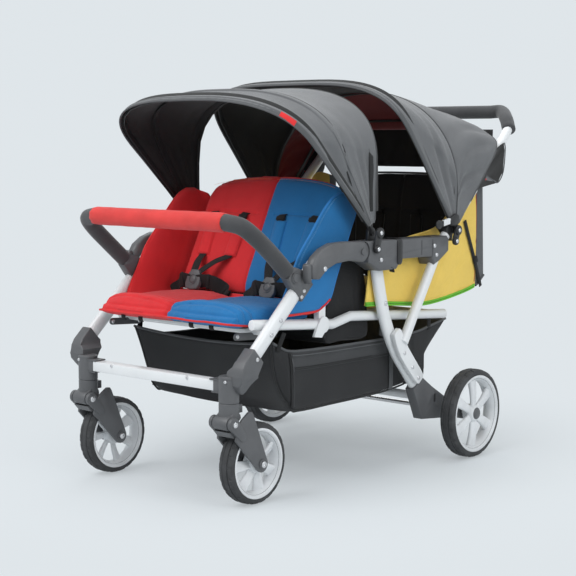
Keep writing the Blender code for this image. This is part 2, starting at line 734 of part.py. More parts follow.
def armrest(name):
    """Front arm: a round rear end on its pivot and a rounded nose over the top of the front leg."""
    y, z = ARM_PIVOT
    outline = ([(ARM_NOSE[0] + 0.004, ARM_NOSE[1] - 0.022), (ARM_NOSE[0], ARM_NOSE[1] - 0.010),
                (ARM_NOSE[0], ARM_NOSE[1] + 0.010), (ARM_NOSE[0] + 0.013, ARM_NOSE[1] + 0.029),
                (ARM_NOSE[0] + 0.040, ARM_NOSE[1] + 0.046), (ARM_NOSE[0] + 0.075, z + ARM_R + 0.001),
                (ARM_NOSE[0] + 0.125, z + ARM_R + 0.0025)]
               + arc(ARM_PIVOT, ARM_R, 90, -90, 10)
               + [(y - 0.050, z - ARM_R + 0.006), (ARM_NOSE[0] + 0.090, z - ARM_R + 0.003),
                  (ARM_NOSE[0] + 0.055, ARM_NOSE[1] - 0.003), (ARM_NOSE[0] + 0.028, ARM_NOSE[1] - 0.024)])
    body = prism(name, outline, ARM_IN, ARM_OUT, GREY, bevel=0.004)
    hole = peg("hole", (ARM_IN - 0.01, y, z), (ARM_OUT + 0.01, y, z), 0.0050 + RUN, GREY)
    cut(body, hole)
    joined(body, *rivets([(ARM_NOSE[0] + 0.042, ARM_NOSE[1])], ARM_OUT, 1))
    shift_origin(body, (ARM_IN, y, z))
    return body


LATCH = (ARM_NOSE[0] - 0.0065 - GAP, ARM_NOSE[1] + 0.008)


def latch(name):
    """Release lever in front of the arm's nose, turning at its top."""
    y, z = LATCH
    outline = arc(LATCH, 0.0065, 0, 180, 6) + [(y - 0.0065, z - 0.024), (y - 0.001, z - 0.040),
                                               (y + 0.0055, z - 0.040)]
    body = prism(name, outline, ARM_IN + 0.0040, ARM_OUT - 0.0030, BLACK, bevel=0.001)
    shift_origin(body, (ARM_IN, y, z))
    return body


def handle_side_path():
    """One side of the push handle, from its foot on the rear leg to the corner."""
    return [(HANDLE_X, *HANDLE_FOOT), (HANDLE_X, *along(HANDLE_FOOT, HANDLE_KNEE, 0.9)),
            (HANDLE_X, *HANDLE_KNEE),
            (HANDLE_X, *along(HANDLE_KNEE, HANDLE_BEND, 0.09)), (HANDLE_X,
                                                                 *along(HANDLE_KNEE, HANDLE_BEND, 0.80))]


def handle_path():
    side = [Vector(p) for p in handle_side_path()]
    corner = curve_points([side[-1], (HANDLE_X - 0.004, *along(HANDLE_KNEE, HANDLE_BEND, 0.93)),
                           (HANDLE_X - 0.026, *HANDLE_BEND), (HANDLE_X - 0.070, *HANDLE_TOP),
                           (HANDLE_X - 0.110, *HANDLE_TOP)], 2)
    return side[:-1] + corner + [Vector((0.0, *HANDLE_TOP))]


def plate_outline(grow=0.0):
    """The wide foot of the handle tube, which lies along the rear leg."""
    d = unit(REAR_BOW[2], REAR_BOW[3])
    half = LEG_W / 2 + 0.001 + grow
    a, b = along(REAR_BOW[2], REAR_BOW[3], -0.35), along(REAR_BOW[3], REAR_FOOT, 0.50)
    top = HANDLE_FOOT
    up = unit(HANDLE_FOOT, HANDLE_KNEE)
    side = HANDLE_W / 2 + grow
    return [(b[0] - d[1] * half, b[1] + d[0] * half),
            (top[0] + up[0] * 0.045 + up[1] * side, top[1] + up[1] * 0.045 - up[0] * side),
            (top[0] + up[0] * 0.060 + up[1] * side * 0.9, top[1] + up[1] * 0.060 - up[0] * side * 0.9),
            (top[0] + up[0] * 0.060 - up[1] * side * 0.9, top[1] + up[1] * 0.060 + up[0] * side * 0.9),
            (a[0] - 0.004 + d[1] * half, a[1] - d[0] * half + 0.012),
            (a[0] + 0.010 + d[1] * half, a[1] - d[0] * half - 0.020), (b[0] + d[1] * half,
                                                                       b[1] - d[0] * half)]


def push_handle(name):
    body = whole(swept(name, handle_path(), oval(HANDLE_T, HANDLE_W, 2), WHITE))
    pieces = []
    for sign in (1, -1):
        low, high = LEG_OUT + 0.0024, HANDLE_X + 0.002
        ends = sorted((sign * low, sign * high))
        pieces.append(prism("plate", plate_outline(), ends[0], ends[1], WHITE))
        spots = [along(REAR_BOW[2], REAR_BOW[3], s) for s in (0.05, 0.75)] + [along(REAR_BOW[3], REAR_FOOT,
                                                                                    0.3)]
        for y, z in spots:
            pieces.append(peg("rivet", (sign * (LEG_OUT + GAP), y, z), (sign * (high + 0.0014), y, z), 0.0045,
                              STEEL, 8))
    return joined(body, *pieces)


def handle_grip(name):
    """Foam round the handle's cross part and down past each corner."""
    path = handle_path()[len(handle_side_path()) + 1:]
    outer = whole(swept(name, path, ring(GRIP_R, 8), FOAM))
    grown = oval(HANDLE_T + 2 * GAP, HANDLE_W + 2 * GAP, 2)
    return cut(outer, whole(swept("inner", handle_path()[3:], grown, FOAM)))


HOUSING_TOP = ARM_PIVOT[1] + ARM_R - 0.004
HOUSING_LOW = ARM_PIVOT[1] - ARM_R


def arm_housing(name):
    """Fixed rear half of the armrest: holds the front arm's pivot, the rear leg's top and the handle tube."""
    y, z = ARM_PIVOT
    outline = (arc(ARM_PIVOT, ARM_R - 0.002, 90, 270, 8)
               + [(-0.0280, HOUSING_LOW - 0.004), (REAR_TOP[0] - 0.034, HOUSING_LOW - 0.026),
                  (REAR_TOP[0] + 0.036, HOUSING_LOW - 0.026), (REAR_TOP[0] + 0.056, HOUSING_LOW - 0.002),
                  (HANDLE_KNEE[0] - 0.052, HOUSING_LOW - 0.004), (HANDLE_KNEE[0] - 0.040,
                                                                  HOUSING_LOW - 0.026),
                  (HOUSING_END - 0.038, HOUSING_LOW - 0.016), (HOUSING_END, HOUSING_LOW + 0.006),
                  (HOUSING_END, HOUSING_TOP - 0.008), (HOUSING_END - 0.008, HOUSING_TOP),
                  (0.1000, HOUSING_TOP + 0.001), (0.0, HOUSING_TOP + 0.003)])
    body = prism(name, outline, LEG_IN, ARM_OUT, GREY, bevel=0.003)
    tube = swept("tube", handle_path()[:5], oval(HANDLE_T + 2 * GAP, HANDLE_W + 2 * GAP, 2), GREY)
    well = peg("well", (ARM_IN - GAP, y, z), (ARM_OUT + 0.02, y, z), ARM_R + 0.0012, GREY, 24)
    way = [(y - 0.030, z - 0.060), (y + 0.0205, z - 0.060), (y + 0.0205, z - 0.0150), (y, z), (y - 0.030, z)]
    swing = prism("swing", way, ARM_IN - GAP, ARM_OUT + 0.02, GREY)
    leg = leg_tube("slot", lengthened(rear_leg_path(), GAP), GAP, GREY)
    cut(body, leg, tube, well, swing)
    pin = peg("pin", (LEG_IN + 0.006, y, z), (ARM_OUT + 0.0010, y, z), 0.0050, STEEL, 10)
    head = peg("head", (ARM_OUT + GAP, y, z), (ARM_OUT + 0.0022, y, z), 0.0080, STEEL, 10)
    joined(body, pin, head, *rivets([(0.0170, 0.5420), (HANDLE_KNEE[0] - 0.044, 0.5640)], ARM_OUT, 1))
    return body


def rear_bracket(name):
    """Plastic foot of the rear leg that carries the rear axle."""
    foot, axle = REAR_FOOT, REAR_AXLE
    d = unit(REAR_BOW[3], REAR_FOOT)
    half = LEG_W / 2 + 0.0045
    mouth = along(REAR_BOW[3], REAR_FOOT, 0.62)
    outline = ([(mouth[0] + d[1] * half, mouth[1] - d[0] * half),
                (foot[0] + d[1] * half + 0.020, foot[1] - d[0] * half - 0.062)]
               + arc(axle, 0.0210, -110, 70, 8)
               + [(foot[0] - d[1] * half + 0.030, foot[1] + d[0] * half - 0.012),
                  (mouth[0] - d[1] * half, mouth[1] + d[0] * half)])
    body = prism(name, outline, LEG_IN - BRACKET_WALL, LEG_OUT + BRACKET_WALL, GREY, bevel=0.002)
    boss = peg("boss", (LEG_OUT, *axle), (HUB_IN - SLIP, *axle), 0.0190, GREY, 20)
    joined(body, boss)
    slot = leg_tube("slot", lengthened(rear_leg_path(), GAP), GAP, GREY)
    bore = peg("bore", (LEG_IN - 0.05, *axle), (HUB_IN + 0.02, *axle), AXLE_R + 0.0006, GREY, 12)
    eye = along(foot, axle, 0.40)
    oval_hole = swept("eye",
                      [(LEG_IN - 0.02, eye[0] + 0.004, eye[1]), (LEG_OUT + 0.02, eye[0] + 0.004, eye[1])],
                      oval(0.010, 0.024), GREY, side=(0.0, 1.0, 0.0))
    cut(body, slot, bore, oval_hole)
    return body


BRAKE_TUBE = (0.2560, 0.1660)
BRAKE_TUBE_R = 0.0110


def brake_pedal(name):
    """Foot pedal that turns on the rear cross tube."""
    y, z = BRAKE_TUBE
    outline = (arc(BRAKE_TUBE, 0.0175, 60, 300, 8)
               + [(y + 0.060, z - 0.004), (y + 0.066, z + 0.002), (y + 0.060, z + 0.008)])
    body = prism(name, outline, -0.034, 0.034, BLACK, bevel=0.0015)
    cut(body, peg("hole", (-0.05, y, z), (0.05, y, z), BRAKE_TUBE_R + RUN, BLACK, 20))
    shift_origin(body, (0.0, y, z))
    return body


def sheet(name, columns, rows, place, thick, mat):
    """A cloth of even thickness. place gives its outer face for u across and v along, each from 0 to 1."""
    bm = bmesh.new()
    bmesh.ops.create_grid(bm, x_segments=columns, y_segments=rows, size=0.5)
    for vert in bm.verts:
        vert.co = place(vert.co.x + 0.5, vert.co.y + 0.5)
    bmesh.ops.recalc_face_normals(bm, faces=bm.faces)
    top = max(bm.faces, key=lambda f: f.calc_center_median().z)
    if top.normal.z < 0:
        bmesh.ops.reverse_faces(bm, faces=bm.faces)
    bmesh.ops.solidify(bm, geom=bm.verts[:] + bm.edges[:] + bm.faces[:], thickness=thick)
    return finish(bm, name, mat)


def pad(name, columns, rows, place, mat, origin=(0.0, 0.0, 0.0)):
    """A closed cushion. place takes u across and v along from -1 to 1, and w from 0, base, to 1, top."""
    bm = bmesh.new()
    bmesh.ops.create_grid(bm, x_segments=columns, y_segments=rows, size=1.0)
    raised = bmesh.ops.extrude_face_region(bm, geom=bm.faces[:], use_keep_orig=True)["geom"]
    bmesh.ops.translate(bm, verts=[g for g in raised if isinstance(g, bmesh.types.BMVert)],
                        vec=(0.0, 0.0, 1.0))
    bmesh.ops.bisect_plane(bm, geom=bm.verts[:] + bm.edges[:] + bm.faces[:], plane_co=(0, 0, 0.5),
                           plane_no=(0, 0, 1))
    for vert in bm.verts:
        vert.co = place(*vert.co)
    return finish(bm, name, mat, origin)


def bump(value, sharp):
    """1 in the middle and 0 at -1 and 1, flatter on top for a higher power."""
    return 1.0 - min(1.0, abs(value)) ** sharp


def groove(value, middle, width):
    """1 at a sewn line and 0 beyond its width."""
    return max(0.0, 1.0 - abs(value - middle) / width)


def two_seats(x):
    """Crown of a row of two seats: full in the middle of each, low at the seam between them and the sides."""
    return bump(abs(x) / SEAT_HALF * 2.0 - 1.0, 2.6)


def front_pan(name, lift=0.0):
    """Cushion of the front row, with the stuffed lip that rolls over its front edge."""
    length = FRONT_BACK_Y - FRONT_EDGE + LIP

    def place(u, v, w):
        y = FRONT_BACK_Y - length * (v + 1.0) / 2.0
        past = max(0.0, FRONT_EDGE - y) / LIP
        x = u * (SEAT_HALF - 0.006 * abs(2 * w - 1))
        low = SEAT_Z + 0.008 * past ** 2
        high = SEAT_Z + PAD_T * (0.72 + 0.12 * bump(v, 4) + 0.32 * two_seats(x))
        high += 0.008 * math.sin(math.pi * min(1.0, past)) - 0.016 * max(0.0, past - 0.7) / 0.3
        high -= 0.006 * (groove(y, FRONT_EDGE, 0.014) + groove(y, FRONT_EDGE - LIP * 0.5, 0.012))
        out = 0.008 * bump(2 * w - 1, 2) if v > 0.99 else 0.0
        return Vector((x, y - out, low + (high + lift - low) * w))

    return pad(name, 12, 10, place, RED)


def wing_plate(name, outline, mat, sign, outer):
    ends = sorted((sign * outer, sign * (outer - WING_T)))
    return prism(name, outline, ends[0], ends[1], mat)


def front_base(name):
    """Front cushion and its two arched wings, which stand outside the rails and join it over them."""
    body = front_pan(name)
    outline = [(-0.3000, 0.4290), (-0.2860, 0.4620), (-0.2280, 0.5630), (-0.1830, 0.6140), (-0.1420, 0.6620),
               (-0.1080, 0.6920), (-0.0800, 0.7050), (-0.0500, 0.7040), (-0.0060, 0.6730), (-0.0600, 0.5600),
               (-0.1140, 0.4500), (-0.1600, 0.4290)]
    pieces = []
    for sign in (1, -1):
        pieces.append(wing_plate("wing", outline, BLUE, sign, WING_OUT))
        strip = sorted((sign * (SEAT_HALF - 0.012), sign * (WING_OUT - 0.001)))
        pieces.append(box("strip", (strip[0], -0.2980, 0.4290), (strip[1], -0.1660, 0.4350), BLUE))
    return joined(body, *pieces)


def tilted(origin, lean):
    """Turns (x, s up the back, t behind it) into world places, for a backrest hinged at origin."""
    a = math.radians(lean)
    up, back = (math.sin(a), math.cos(a)), (math.cos(a), -math.sin(a))
    return lambda x, s, t: Vector((x, origin[0] + up[0] * s + back[0] * t,
                                   origin[1] + up[1] * s + back[1] * t))


def backrest(name, hinge, lean, tall, half, front, behind, bulge, pin_out, mat):
    """Backrest of two seats: padded front, round top corners, four shoulder pads and a pin at each side."""
    frame = tilted(hinge, lean)

    def place(u, v, w):
        s = 0.004 + (tall - 0.004) * (v + 1.0) / 2.0
        corner = max(0.0, (s - (tall - 0.055)) / 0.055)
        x = u * half * (1.0 - 0.14 * corner ** 2.4) * (1.0 - 0.010 * (2 * w - 1) ** 2)
        s -= 0.022 * (abs(u) ** 3) * max(0.0, v)
        crown = 0.007 * bump(abs(x) / half * 2.0 - 1.0, 2.4) * bump(v, 4)
        seam = 0.005 * groove(s, tall * 0.62, 0.020)
        face = -front - crown + seam + 0.004 * (abs(v) ** 12)
        back = behind + bulge * bump(v, 2.4) * bump(u, 6)
        return frame(x, s, back + (face - back) * w)

    body = pad(name, 12, 7, place, mat, (0.0, *hinge))
    shoulder = []
    for seat in (-1, 1):
        for side in (-1, 1):
            x = seat * half / 2 + side * 0.046
            points = [frame(x, s, -front - 0.0045) for s in (tall * 0.24, tall * 0.40, tall * 0.60)]
            strip = [(-0.019, -0.006), (0.019, -0.006), (0.015, 0.009), (-0.015, 0.009)]
            shoulder.append(swept("shoulder", points, strip, mat))
    pin = peg("pin", (-pin_out, *hinge), (pin_out, *hinge), HINGE_PIN_R, mat, 16)
    joined(body, *shoulder, pin)
    shift_origin(body, (0.0, *hinge))
    return body


def front_backrest(name):
    return backrest(name, FRONT_HINGE, FRONT_LEAN, FRONT_BACK_L, SEAT_HALF - 0.0045, 0.0145, 0.0155, 0.0,
                    RAIL_OUT - 0.0040, RED)


def rear_backrest(name):
    return backrest(name, REAR_HINGE, REAR_LEAN, REAR_BACK_H, REAR_BACK_HALF, 0.0145, 0.0420, 0.055,
                    REAR_WING_OUT - WING_T - GAP, DARK)


def rear_pan(name, lift=0.0):
    """Cushion of the rear row, round at its front edge."""
    depth = REAR_BACK_Y - REAR_EDGE

    def place(u, v, w):
        y = REAR_EDGE + depth * (v + 1.0) / 2.0
        x = u * (SEAT_HALF - 0.006 * abs(2 * w - 1))
        low = SEAT_Z + REAR_SEAT_RISE
        high = low + PAD_T * (0.66 + 0.12 * bump(v, 4) + 0.30 * two_seats(x))
        high -= 0.006 * groove(y, REAR_EDGE + depth * 0.30, 0.022)
        drop = 0.014 * max(0.0, -v - 0.75) / 0.25
        out = 0.006 * bump(2 * w - 1, 2) * (1 if v < -0.99 else 0)
        return Vector((x, y - out, low + (high - drop + lift - low) * w))

    return pad(name, 12, 7, place, YELLOW)


def rear_wing(name):
    """Side wing of the rear row, fixed to the inside of the rear leg, with the recline strap on it."""
    outline = [(0.0570, 0.4230), (0.2280, 0.4060), (0.3000, 0.4030), (0.5130, 0.4240), (0.5560, 0.4500),
               (0.5620, 0.6000), (0.5560, 0.7250), (0.5100, 0.7420), (0.4610, 0.7350), (0.4100, 0.6600),
               (0.3300, 0.6050), (0.2000, 0.5850), (0.1100, 0.5650), (0.0420, 0.5250), (0.0250, 0.4240)]
    return wing_plate(name, outline, YELLOW, 1, REAR_WING_OUT)


def harness(name, x, hinge_y, buckle, pan):
    """Buckle, crotch strap and waist belts of one seat, lying on the cushion."""
    y, z = buckle
    shield = [(-0.019, 0.024), (0.019, 0.024), (0.024, 0.010), (0.019, -0.018), (0.008, -0.028),
              (-0.008, -0.028),
              (-0.019, -0.018), (-0.024, 0.010)]
    tilt = (0.0, math.cos(math.radians(35)), math.sin(math.radians(35)))
    middle = Vector((x, y, z))
    body = swept(name, [middle - Vector(tilt) * 0.007, middle + Vector(tilt) * 0.007], shield, WEB)
    flat = [(-0.0125, -0.0018), (0.0125, -0.0018), (0.0125, 0.0018), (-0.0125, 0.0018)]
    crotch = [(x, y - 0.026, z - 0.040), (x, y - 0.020, z - 0.024), (x, y - 0.002, z - 0.004)]
    pieces = [swept("crotch", crotch, flat, WEB)]
    for side in (-1, 1):
        belt = [(x + side * 0.010, y, z), (x + side * 0.045, y + 0.004, z - 0.002),
                (x + side * 0.080, y + 0.018, z - 0.018), (x + side * 0.096, hinge_y - 0.004, z - 0.034)]
        pieces.append(swept("belt", belt, flat, WEB, side=(0.0, 0.25, 1.0)))
    joined(body, *pieces)
    return cut(body, pan("pan", GAP))


def arch(pivot, angle, reach, half, square, low, steps):
    """Points of half a canopy arch, in its plane through the pivots, from its side at +X to the middle."""
    a = math.radians(angle)
    points = []
    for i in range(steps + 1):
        t = math.pi / 2 * i / steps
        x = half * math.cos(t) ** (2.0 / square) if i < steps else 0.0
        r = low + (reach - low) * math.sin(t) ** (2.0 / square)
        points.append(Vector((x, pivot[0] - r * math.cos(a), pivot[1] + r * math.sin(a))))
    return points


def bow(name, pivot, angle, reach, half, square, low, mat, eye=None, foot=0.0):
    """A flat strip bent into an arch. Its ends start at the foot radius, or are eyes round the pivot pins."""
    a = math.radians(angle)
    foot_place = Vector((half, pivot[0] - foot * math.cos(a), pivot[1] + foot * math.sin(a)))
    path = [foot_place] + arch(pivot, angle, reach, half, square, low, ARCH_STEPS)
    section = [(-BOW_T / 2, -BOW_W / 2), (BOW_T / 2, -BOW_W / 2), (BOW_T / 2, BOW_W / 2),
               (-BOW_T / 2, BOW_W / 2)]
    body = whole(swept(name, path, section, mat, to_middle=True))
    if eye:
        rings = [peg("eye", (sign * eye[0], *pivot), (sign * eye[1], *pivot), 0.0085, mat,
                     10) for sign in (1, -1)]
        joined(body, *rings)
        cut(body, peg("bore", (-eye[1] - 0.1, *pivot), (eye[1] + 0.1, *pivot), CANOPY_PIN_R + RUN, mat, 8))
    shift_origin(body, (0.0, *pivot))
    return body


def clamp_block(sign, pivot, outline, low, high, pin_end, mat):
    """Block that holds a canopy to the frame, with the pin that its bows turn on."""
    ends = sorted((sign * low, sign * high))
    block = prism("block", outline, ends[0], ends[1], mat)
    pin = peg("pin", (sign * (high - 0.004), *pivot), (sign * pin_end, *pivot), CANOPY_PIN_R, mat, 8)
    return [block, pin]


ARCH_STEPS = 7
LEG_STEPS = 2         # along the straight side of a canopy's cloth


def cloth(name, pivot, sections, side, mat, foot):
    """Canopy cloth over its arches. Each section is its angle, reach, squareness and corner height."""
    columns = 2 * (ARCH_STEPS + LEG_STEPS)
    share = LEG_STEPS / (ARCH_STEPS + LEG_STEPS)

    def place(u, v):
        angle, reach, square, low = sections[round(v * (len(sections) - 1))]
        hand = 1.0 if u >= 0.5 else -1.0
        t = 1.0 - abs(u - 0.5) * 2.0
        a = math.radians(angle)
        if t < share:
            x, r = side, foot + (low - foot) * t / share
        else:
            turn = math.pi / 2 * (t - share) / (1.0 - share)
            x = side * max(0.0, math.cos(turn)) ** (2.0 / square)
            r = low + (reach - low) * math.sin(turn) ** (2.0 / square)
        return Vector((hand * x if t < 0.999 else 0.0, pivot[0] - r * math.cos(a),
                       pivot[1] + r * math.sin(a)))

    return sheet(name, columns, len(sections) - 1, place, CLOTH, mat)


CURTAIN_Z = REAR_HINGE[1] + REAR_BACK_H + 0.0100


def canopy_bows(name, pivot, inner, front, mid):
    """The two moving bows. Their eyes lie side by side on the pivot pins."""
    first = (inner, inner + BOW_T)
    second = (first[1] + GAP, first[1] + GAP + BOW_T)
    for label, shape, eye in (("front", front, first), ("mid", mid, second)):
        angle, reach, square, low = shape
        bow(f"{name}_{label}_bow", pivot, angle, reach - BOW_UNDER, (eye[0] + eye[1]) / 2, square, low, GREY,
            eye)


def front_canopy():
    """Canopy of the front row: clamps on the arm housings, a fixed upright bow and two that fold back."""
    pivot = F_PIVOT
    side = F_SIDE + 2 * BOW_T + GAP + CLOTH_GAP + CLOTH
    top = HOUSING_TOP + 0.0034
    block = [(pivot[0] - 0.016, top), (pivot[0] + 0.016, top), (pivot[0] + 0.012, pivot[1] + 0.008),
             (pivot[0] + 0.006, pivot[1] + 0.012), (pivot[0] - 0.006, pivot[1] + 0.012),
             (pivot[0] - 0.012, pivot[1] + 0.008)]
    base = bow("front_canopy_base", pivot, F_BACK_ANGLE, F_BACK[0] - BOW_UNDER, F_SIDE - BOW_T, *F_BACK[1:],
               GREY,
               foot=0.004)
    for sign in (1, -1):
        joined(base, *clamp_block(sign, pivot, block, F_SIDE - 0.0090, F_SIDE - GAP, side - CLOTH, GREY))
    front, mid = (F_FRONT_ANGLE, *F_FRONT), (F_MID_ANGLE, *F_MID)
    canopy_bows("front_canopy", pivot, F_SIDE, front, mid)
    half_way = ((F_FRONT_ANGLE + F_MID_ANGLE) / 2, 0.4330, 2.75, 0.2580)
    sections = [(F_FRONT_ANGLE - 1.4, F_FRONT[0] + 0.0040, *F_FRONT[1:]), (F_FRONT_ANGLE + 0.8, *F_FRONT),
                half_way,
                (F_MID_ANGLE - 0.8, F_MID[0] + 0.0010, *F_MID[1:]), (F_MID_ANGLE + 1.2, *F_MID),
                (66.0, 0.3730, 2.65, 0.2000), (76.0, 0.3560, 2.6, 0.1750), (F_BACK_ANGLE + 1.2, *F_BACK)]
    cloth("front_canopy_cloth", pivot, sections, side, CHARCOAL, CLOTH_FOOT)


def rear_canopy():
    """Canopy of the rear row: clamps round the handle tubes, a fixed bow and two that fold back."""
    pivot = R_PIVOT
    side = R_SIDE + 2 * BOW_T + GAP + CLOTH_GAP + CLOTH
    d = unit(HANDLE_KNEE, HANDLE_BEND)
    up = HANDLE_W / 2 + BOW_W / 2 + 0.0010
    near, far = along(HANDLE_KNEE, HANDLE_BEND, 0.080), along(HANDLE_KNEE, HANDLE_BEND, 0.155)
    over = up + 0.0035
    block = [(near[0] + d[1] * 0.020, near[1] - d[0] * 0.020), (pivot[0] - 0.002, pivot[1] - 0.010),
             (pivot[0] + 0.012, pivot[1] - 0.006), (far[0] + d[1] * 0.020, far[1] - d[0] * 0.020),
             (far[0] - d[1] * over, far[1] + d[0] * over), (near[0] - d[1] * over, near[1] + d[0] * over)]
    start = (far[0] - d[1] * up - d[0] * 0.012, far[1] + d[0] * up - d[1] * 0.012)
    path = [Vector((HANDLE_X, *start))]
    path += arch(pivot, R_BACK_ANGLE, R_BACK[0] - BOW_UNDER, HANDLE_X, *R_BACK[1:], ARCH_STEPS)
    section = [(-BOW_T / 2, -BOW_W / 2), (BOW_T / 2, -BOW_W / 2), (BOW_T / 2, BOW_W / 2),
               (-BOW_T / 2, BOW_W / 2)]
    base = whole(swept("rear_canopy_base", path, section, GREY, to_middle=True))
    for sign in (1, -1):
        pieces = clamp_block(sign, pivot, block, HANDLE_X - HANDLE_T / 2 - 0.0020, R_SIDE - GAP,
                             side - CLOTH, GREY)
        joined(base, *pieces)
    grown = oval(HANDLE_T + 2 * GAP, HANDLE_W + 2 * GAP, 2)
    cut(base, whole(swept("tube", handle_path(), grown, GREY, to_middle=True)))
    front, mid = (R_FRONT_ANGLE, *R_FRONT), (R_MID_ANGLE, *R_MID)
    canopy_bows("rear_canopy", pivot, R_SIDE, front, mid)
    sections = [(R_FRONT_ANGLE - 1.4, R_FRONT[0] + 0.0040, *R_FRONT[1:]), (R_FRONT_ANGLE + 0.8, *R_FRONT),
                (65.0, 0.4080, 3.0, 0.2200), (79.0, 0.3720, 2.5, 0.1500), (R_MID_ANGLE - 1.0, R_MID[0],
                                                                           *R_MID[1:]),
                (R_MID_ANGLE + 1.0, *R_MID), (109.0, 0.3560, 2.4, 0.1700), (R_BACK_ANGLE - 0.5, *R_BACK),
                (R_BACK_ANGLE + 7.5, R_BACK[0], 4.0, R_BACK[2] + 0.02)]
    top = cloth("rear_canopy_cloth", pivot, sections, side, CHARCOAL, CLOTH_FOOT)
    edge = sections[-1]
    a = math.radians(edge[0])
    high = (pivot[0] - edge[1] * math.cos(a), pivot[1] + edge[1] * math.sin(a))
    half = HANDLE_X - HANDLE_T / 2 - 0.0100
    curtain = box("curtain", (-half, high[0] - 0.0060, CURTAIN_Z), (half, high[0] - 0.0060 + CLOTH, high[1]),
                  CHARCOAL)
    joined(top, curtain)


def inset(outline, wall):
    """A closed outline of (y, z) points, drawn in by a wall."""
    area = sum(a[0] * b[1] - b[0] * a[1] for a, b in zip(outline, outline[1:] + outline[:1]))
    hand = 1.0 if area > 0 else -1.0
    points = []
    for before, here, after in zip(outline[-1:] + outline[:-1], outline, outline[1:] + outline[:1]):
        p, q = unit(before, here), unit(here, after)
        normal = (-(p[1] + q[1]) / 2 * hand, (p[0] + q[0]) / 2 * hand)
        size = normal[0] ** 2 + normal[1] ** 2
        points.append((here[0] + normal[0] * wall / size, here[1] + normal[1] * wall / size))
    return points


def basket(name):
    """Cloth tub under the seats, open on top, hung from the rails by four straps."""
    floor = [(-0.2940, 0.3620), (-0.2590, 0.2470), (-0.2220, 0.1930), (-0.1910, BASKET_Z), (0.0520, BASKET_Z),
             (0.2400, BASKET_Z + 0.0100), (0.3240, 0.2070), (0.3080, 0.2720), (0.4170, 0.3520)]
    rim = [(0.2250, BASKET_TOP - 0.006), (-0.2340, BASKET_TOP + 0.004)]
    body = prism(name, floor + rim, -BASKET_HALF, BASKET_HALF, DARK)
    hollow = inset(floor + rim, BASKET_WALL)
    top = [0, *range(len(floor) - 1, len(hollow))]
    hollow = [(y, z + 0.06) if i in top else (y, z) for i, (y, z) in enumerate(hollow)]
    pieces = []
    for y, low in ((-0.2660, 0.335), (0.3300, 0.322)):
        high = min(rail_z(y - 0.010), rail_z(y + 0.010)) - RAIL_W / 2 - GAP
        for sign in (1, -1):
            ends = sorted((sign * (BASKET_HALF - 0.0030), sign * RAIL_X))
            pieces.append(box("strap", (ends[0], y - 0.010, high - 0.020), (ends[1], y + 0.010, high), DARK))
            ends = sorted((sign * (BASKET_HALF - 0.0030), sign * (BASKET_HALF + 0.0010)))
            pieces.append(box("strap", (ends[0], y - 0.010, low - 0.030), (ends[1], y + 0.010, high - 0.010),
                              DARK))
    cut(body, prism("hollow", hollow, -BASKET_HALF + BASKET_WALL, BASKET_HALF - BASKET_WALL, DARK))
    return joined(body, *pieces)


def footwell(name):
    """Cloth tray for the feet of the rear row, hung between the rails, with raised sides."""
    half = RAIL_IN - GAP
    wall = 0.0030
    floor = BASKET_TOP + 0.0090
    side = [(-0.0980, floor), (0.0620, floor), (0.0680, 0.3920), (0.0500, 0.5100), (0.0, 0.5400),
            (-0.0700, 0.5300),
            (-0.0980, 0.4100)]
    body = prism(name, side, -half, half, DARK)
    room = [(-0.0980 + wall, floor + wall), (0.0620 - wall, floor + wall), (0.0680 - wall, 0.60),
            (-0.0980 + wall, 0.60)]
    above = [(-0.20, 0.4080), (0.20, 0.4020), (0.20, 0.60), (-0.20, 0.60)]
    inner = half - wall
    return cut(body, prism("room", room, -inner, inner, DARK), prism("above", above, -inner, inner, DARK))


# Wheels
for which, s in (("left", 1), ("right", -1)):
    castor_wheel(which, s)
    rear_wheel(which, s)

# Castors and the front of the frame
both(fork, "castor_fork")
both(swivel_head, "swivel_head")
both(castor_housing, "castor_housing")
cross_bar("front_cross_bar")
both(front_leg, "front_leg")
seat_rails("seat_rails")


def socket_with_cup(name):
    return bar_cup(bar_socket(name))


both(socket_with_cup, "bar_socket")
both(bar_button, "bar_button")
bumper_bar("bumper_bar")
bumper_sleeve("bumper_sleeve")

# Rear of the frame
both(armrest, "armrest")
both(latch, "fold_latch")
both(arm_housing, "arm_housing")
both(rear_leg, "rear_leg")
both(rear_bracket, "rear_bracket")
push_handle("push_handle")
handle_grip("handle_grip")
axle_half = REAR_TRACK / 2 + TYRE_W / 2 - 0.0060
peg("rear_axle", (-axle_half, *REAR_AXLE), (axle_half, *REAR_AXLE), AXLE_R, STEEL, 16)
tube_half = LEG_IN - BRACKET_WALL - GAP
peg("rear_cross_tube", (-tube_half, *BRAKE_TUBE), (tube_half, *BRAKE_TUBE), BRAKE_TUBE_R, WHITE, 20)
brake_pedal("brake_pedal")

# Seats
front_base("front_seat_base")
front_backrest("front_backrest")
rear_pan("rear_seat_base")
rear_backrest("rear_backrest")
both(rear_wing, "rear_wing")
for row, make, spot, back in (("front", front_pan, (-0.205, 0.482), FRONT_BACK_Y),
                              ("rear", rear_pan, (0.420, 0.482), REAR_BACK_Y)):
    for which, s in (("left", 1), ("right", -1)):
        harness(f"{row}_harness_{which}", s * SEAT_HALF / 2, back, spot, make)
front_canopy()
rear_canopy()
basket("basket")
footwell("footwell")

# The origin goes under the middle of the object's length
ends = [(obj.matrix_world @ Vector(corner)).y for obj in bpy.data.objects for corner in obj.bound_box]
for obj in bpy.data.objects:
    obj.location.y -= (min(ends) + max(ends)) / 2
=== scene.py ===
# %% [markdown]
# # A four-seat pushchair
# Two rows of two seats share one folding frame. The frame, the wheels and every joint come from the
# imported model. This file gives each surface its real finish, and makes the soft goods as cloth.
# Lengths are metres. The front faces -Y, and the children's left side is +X.

# %% Load the frame
import json
import math

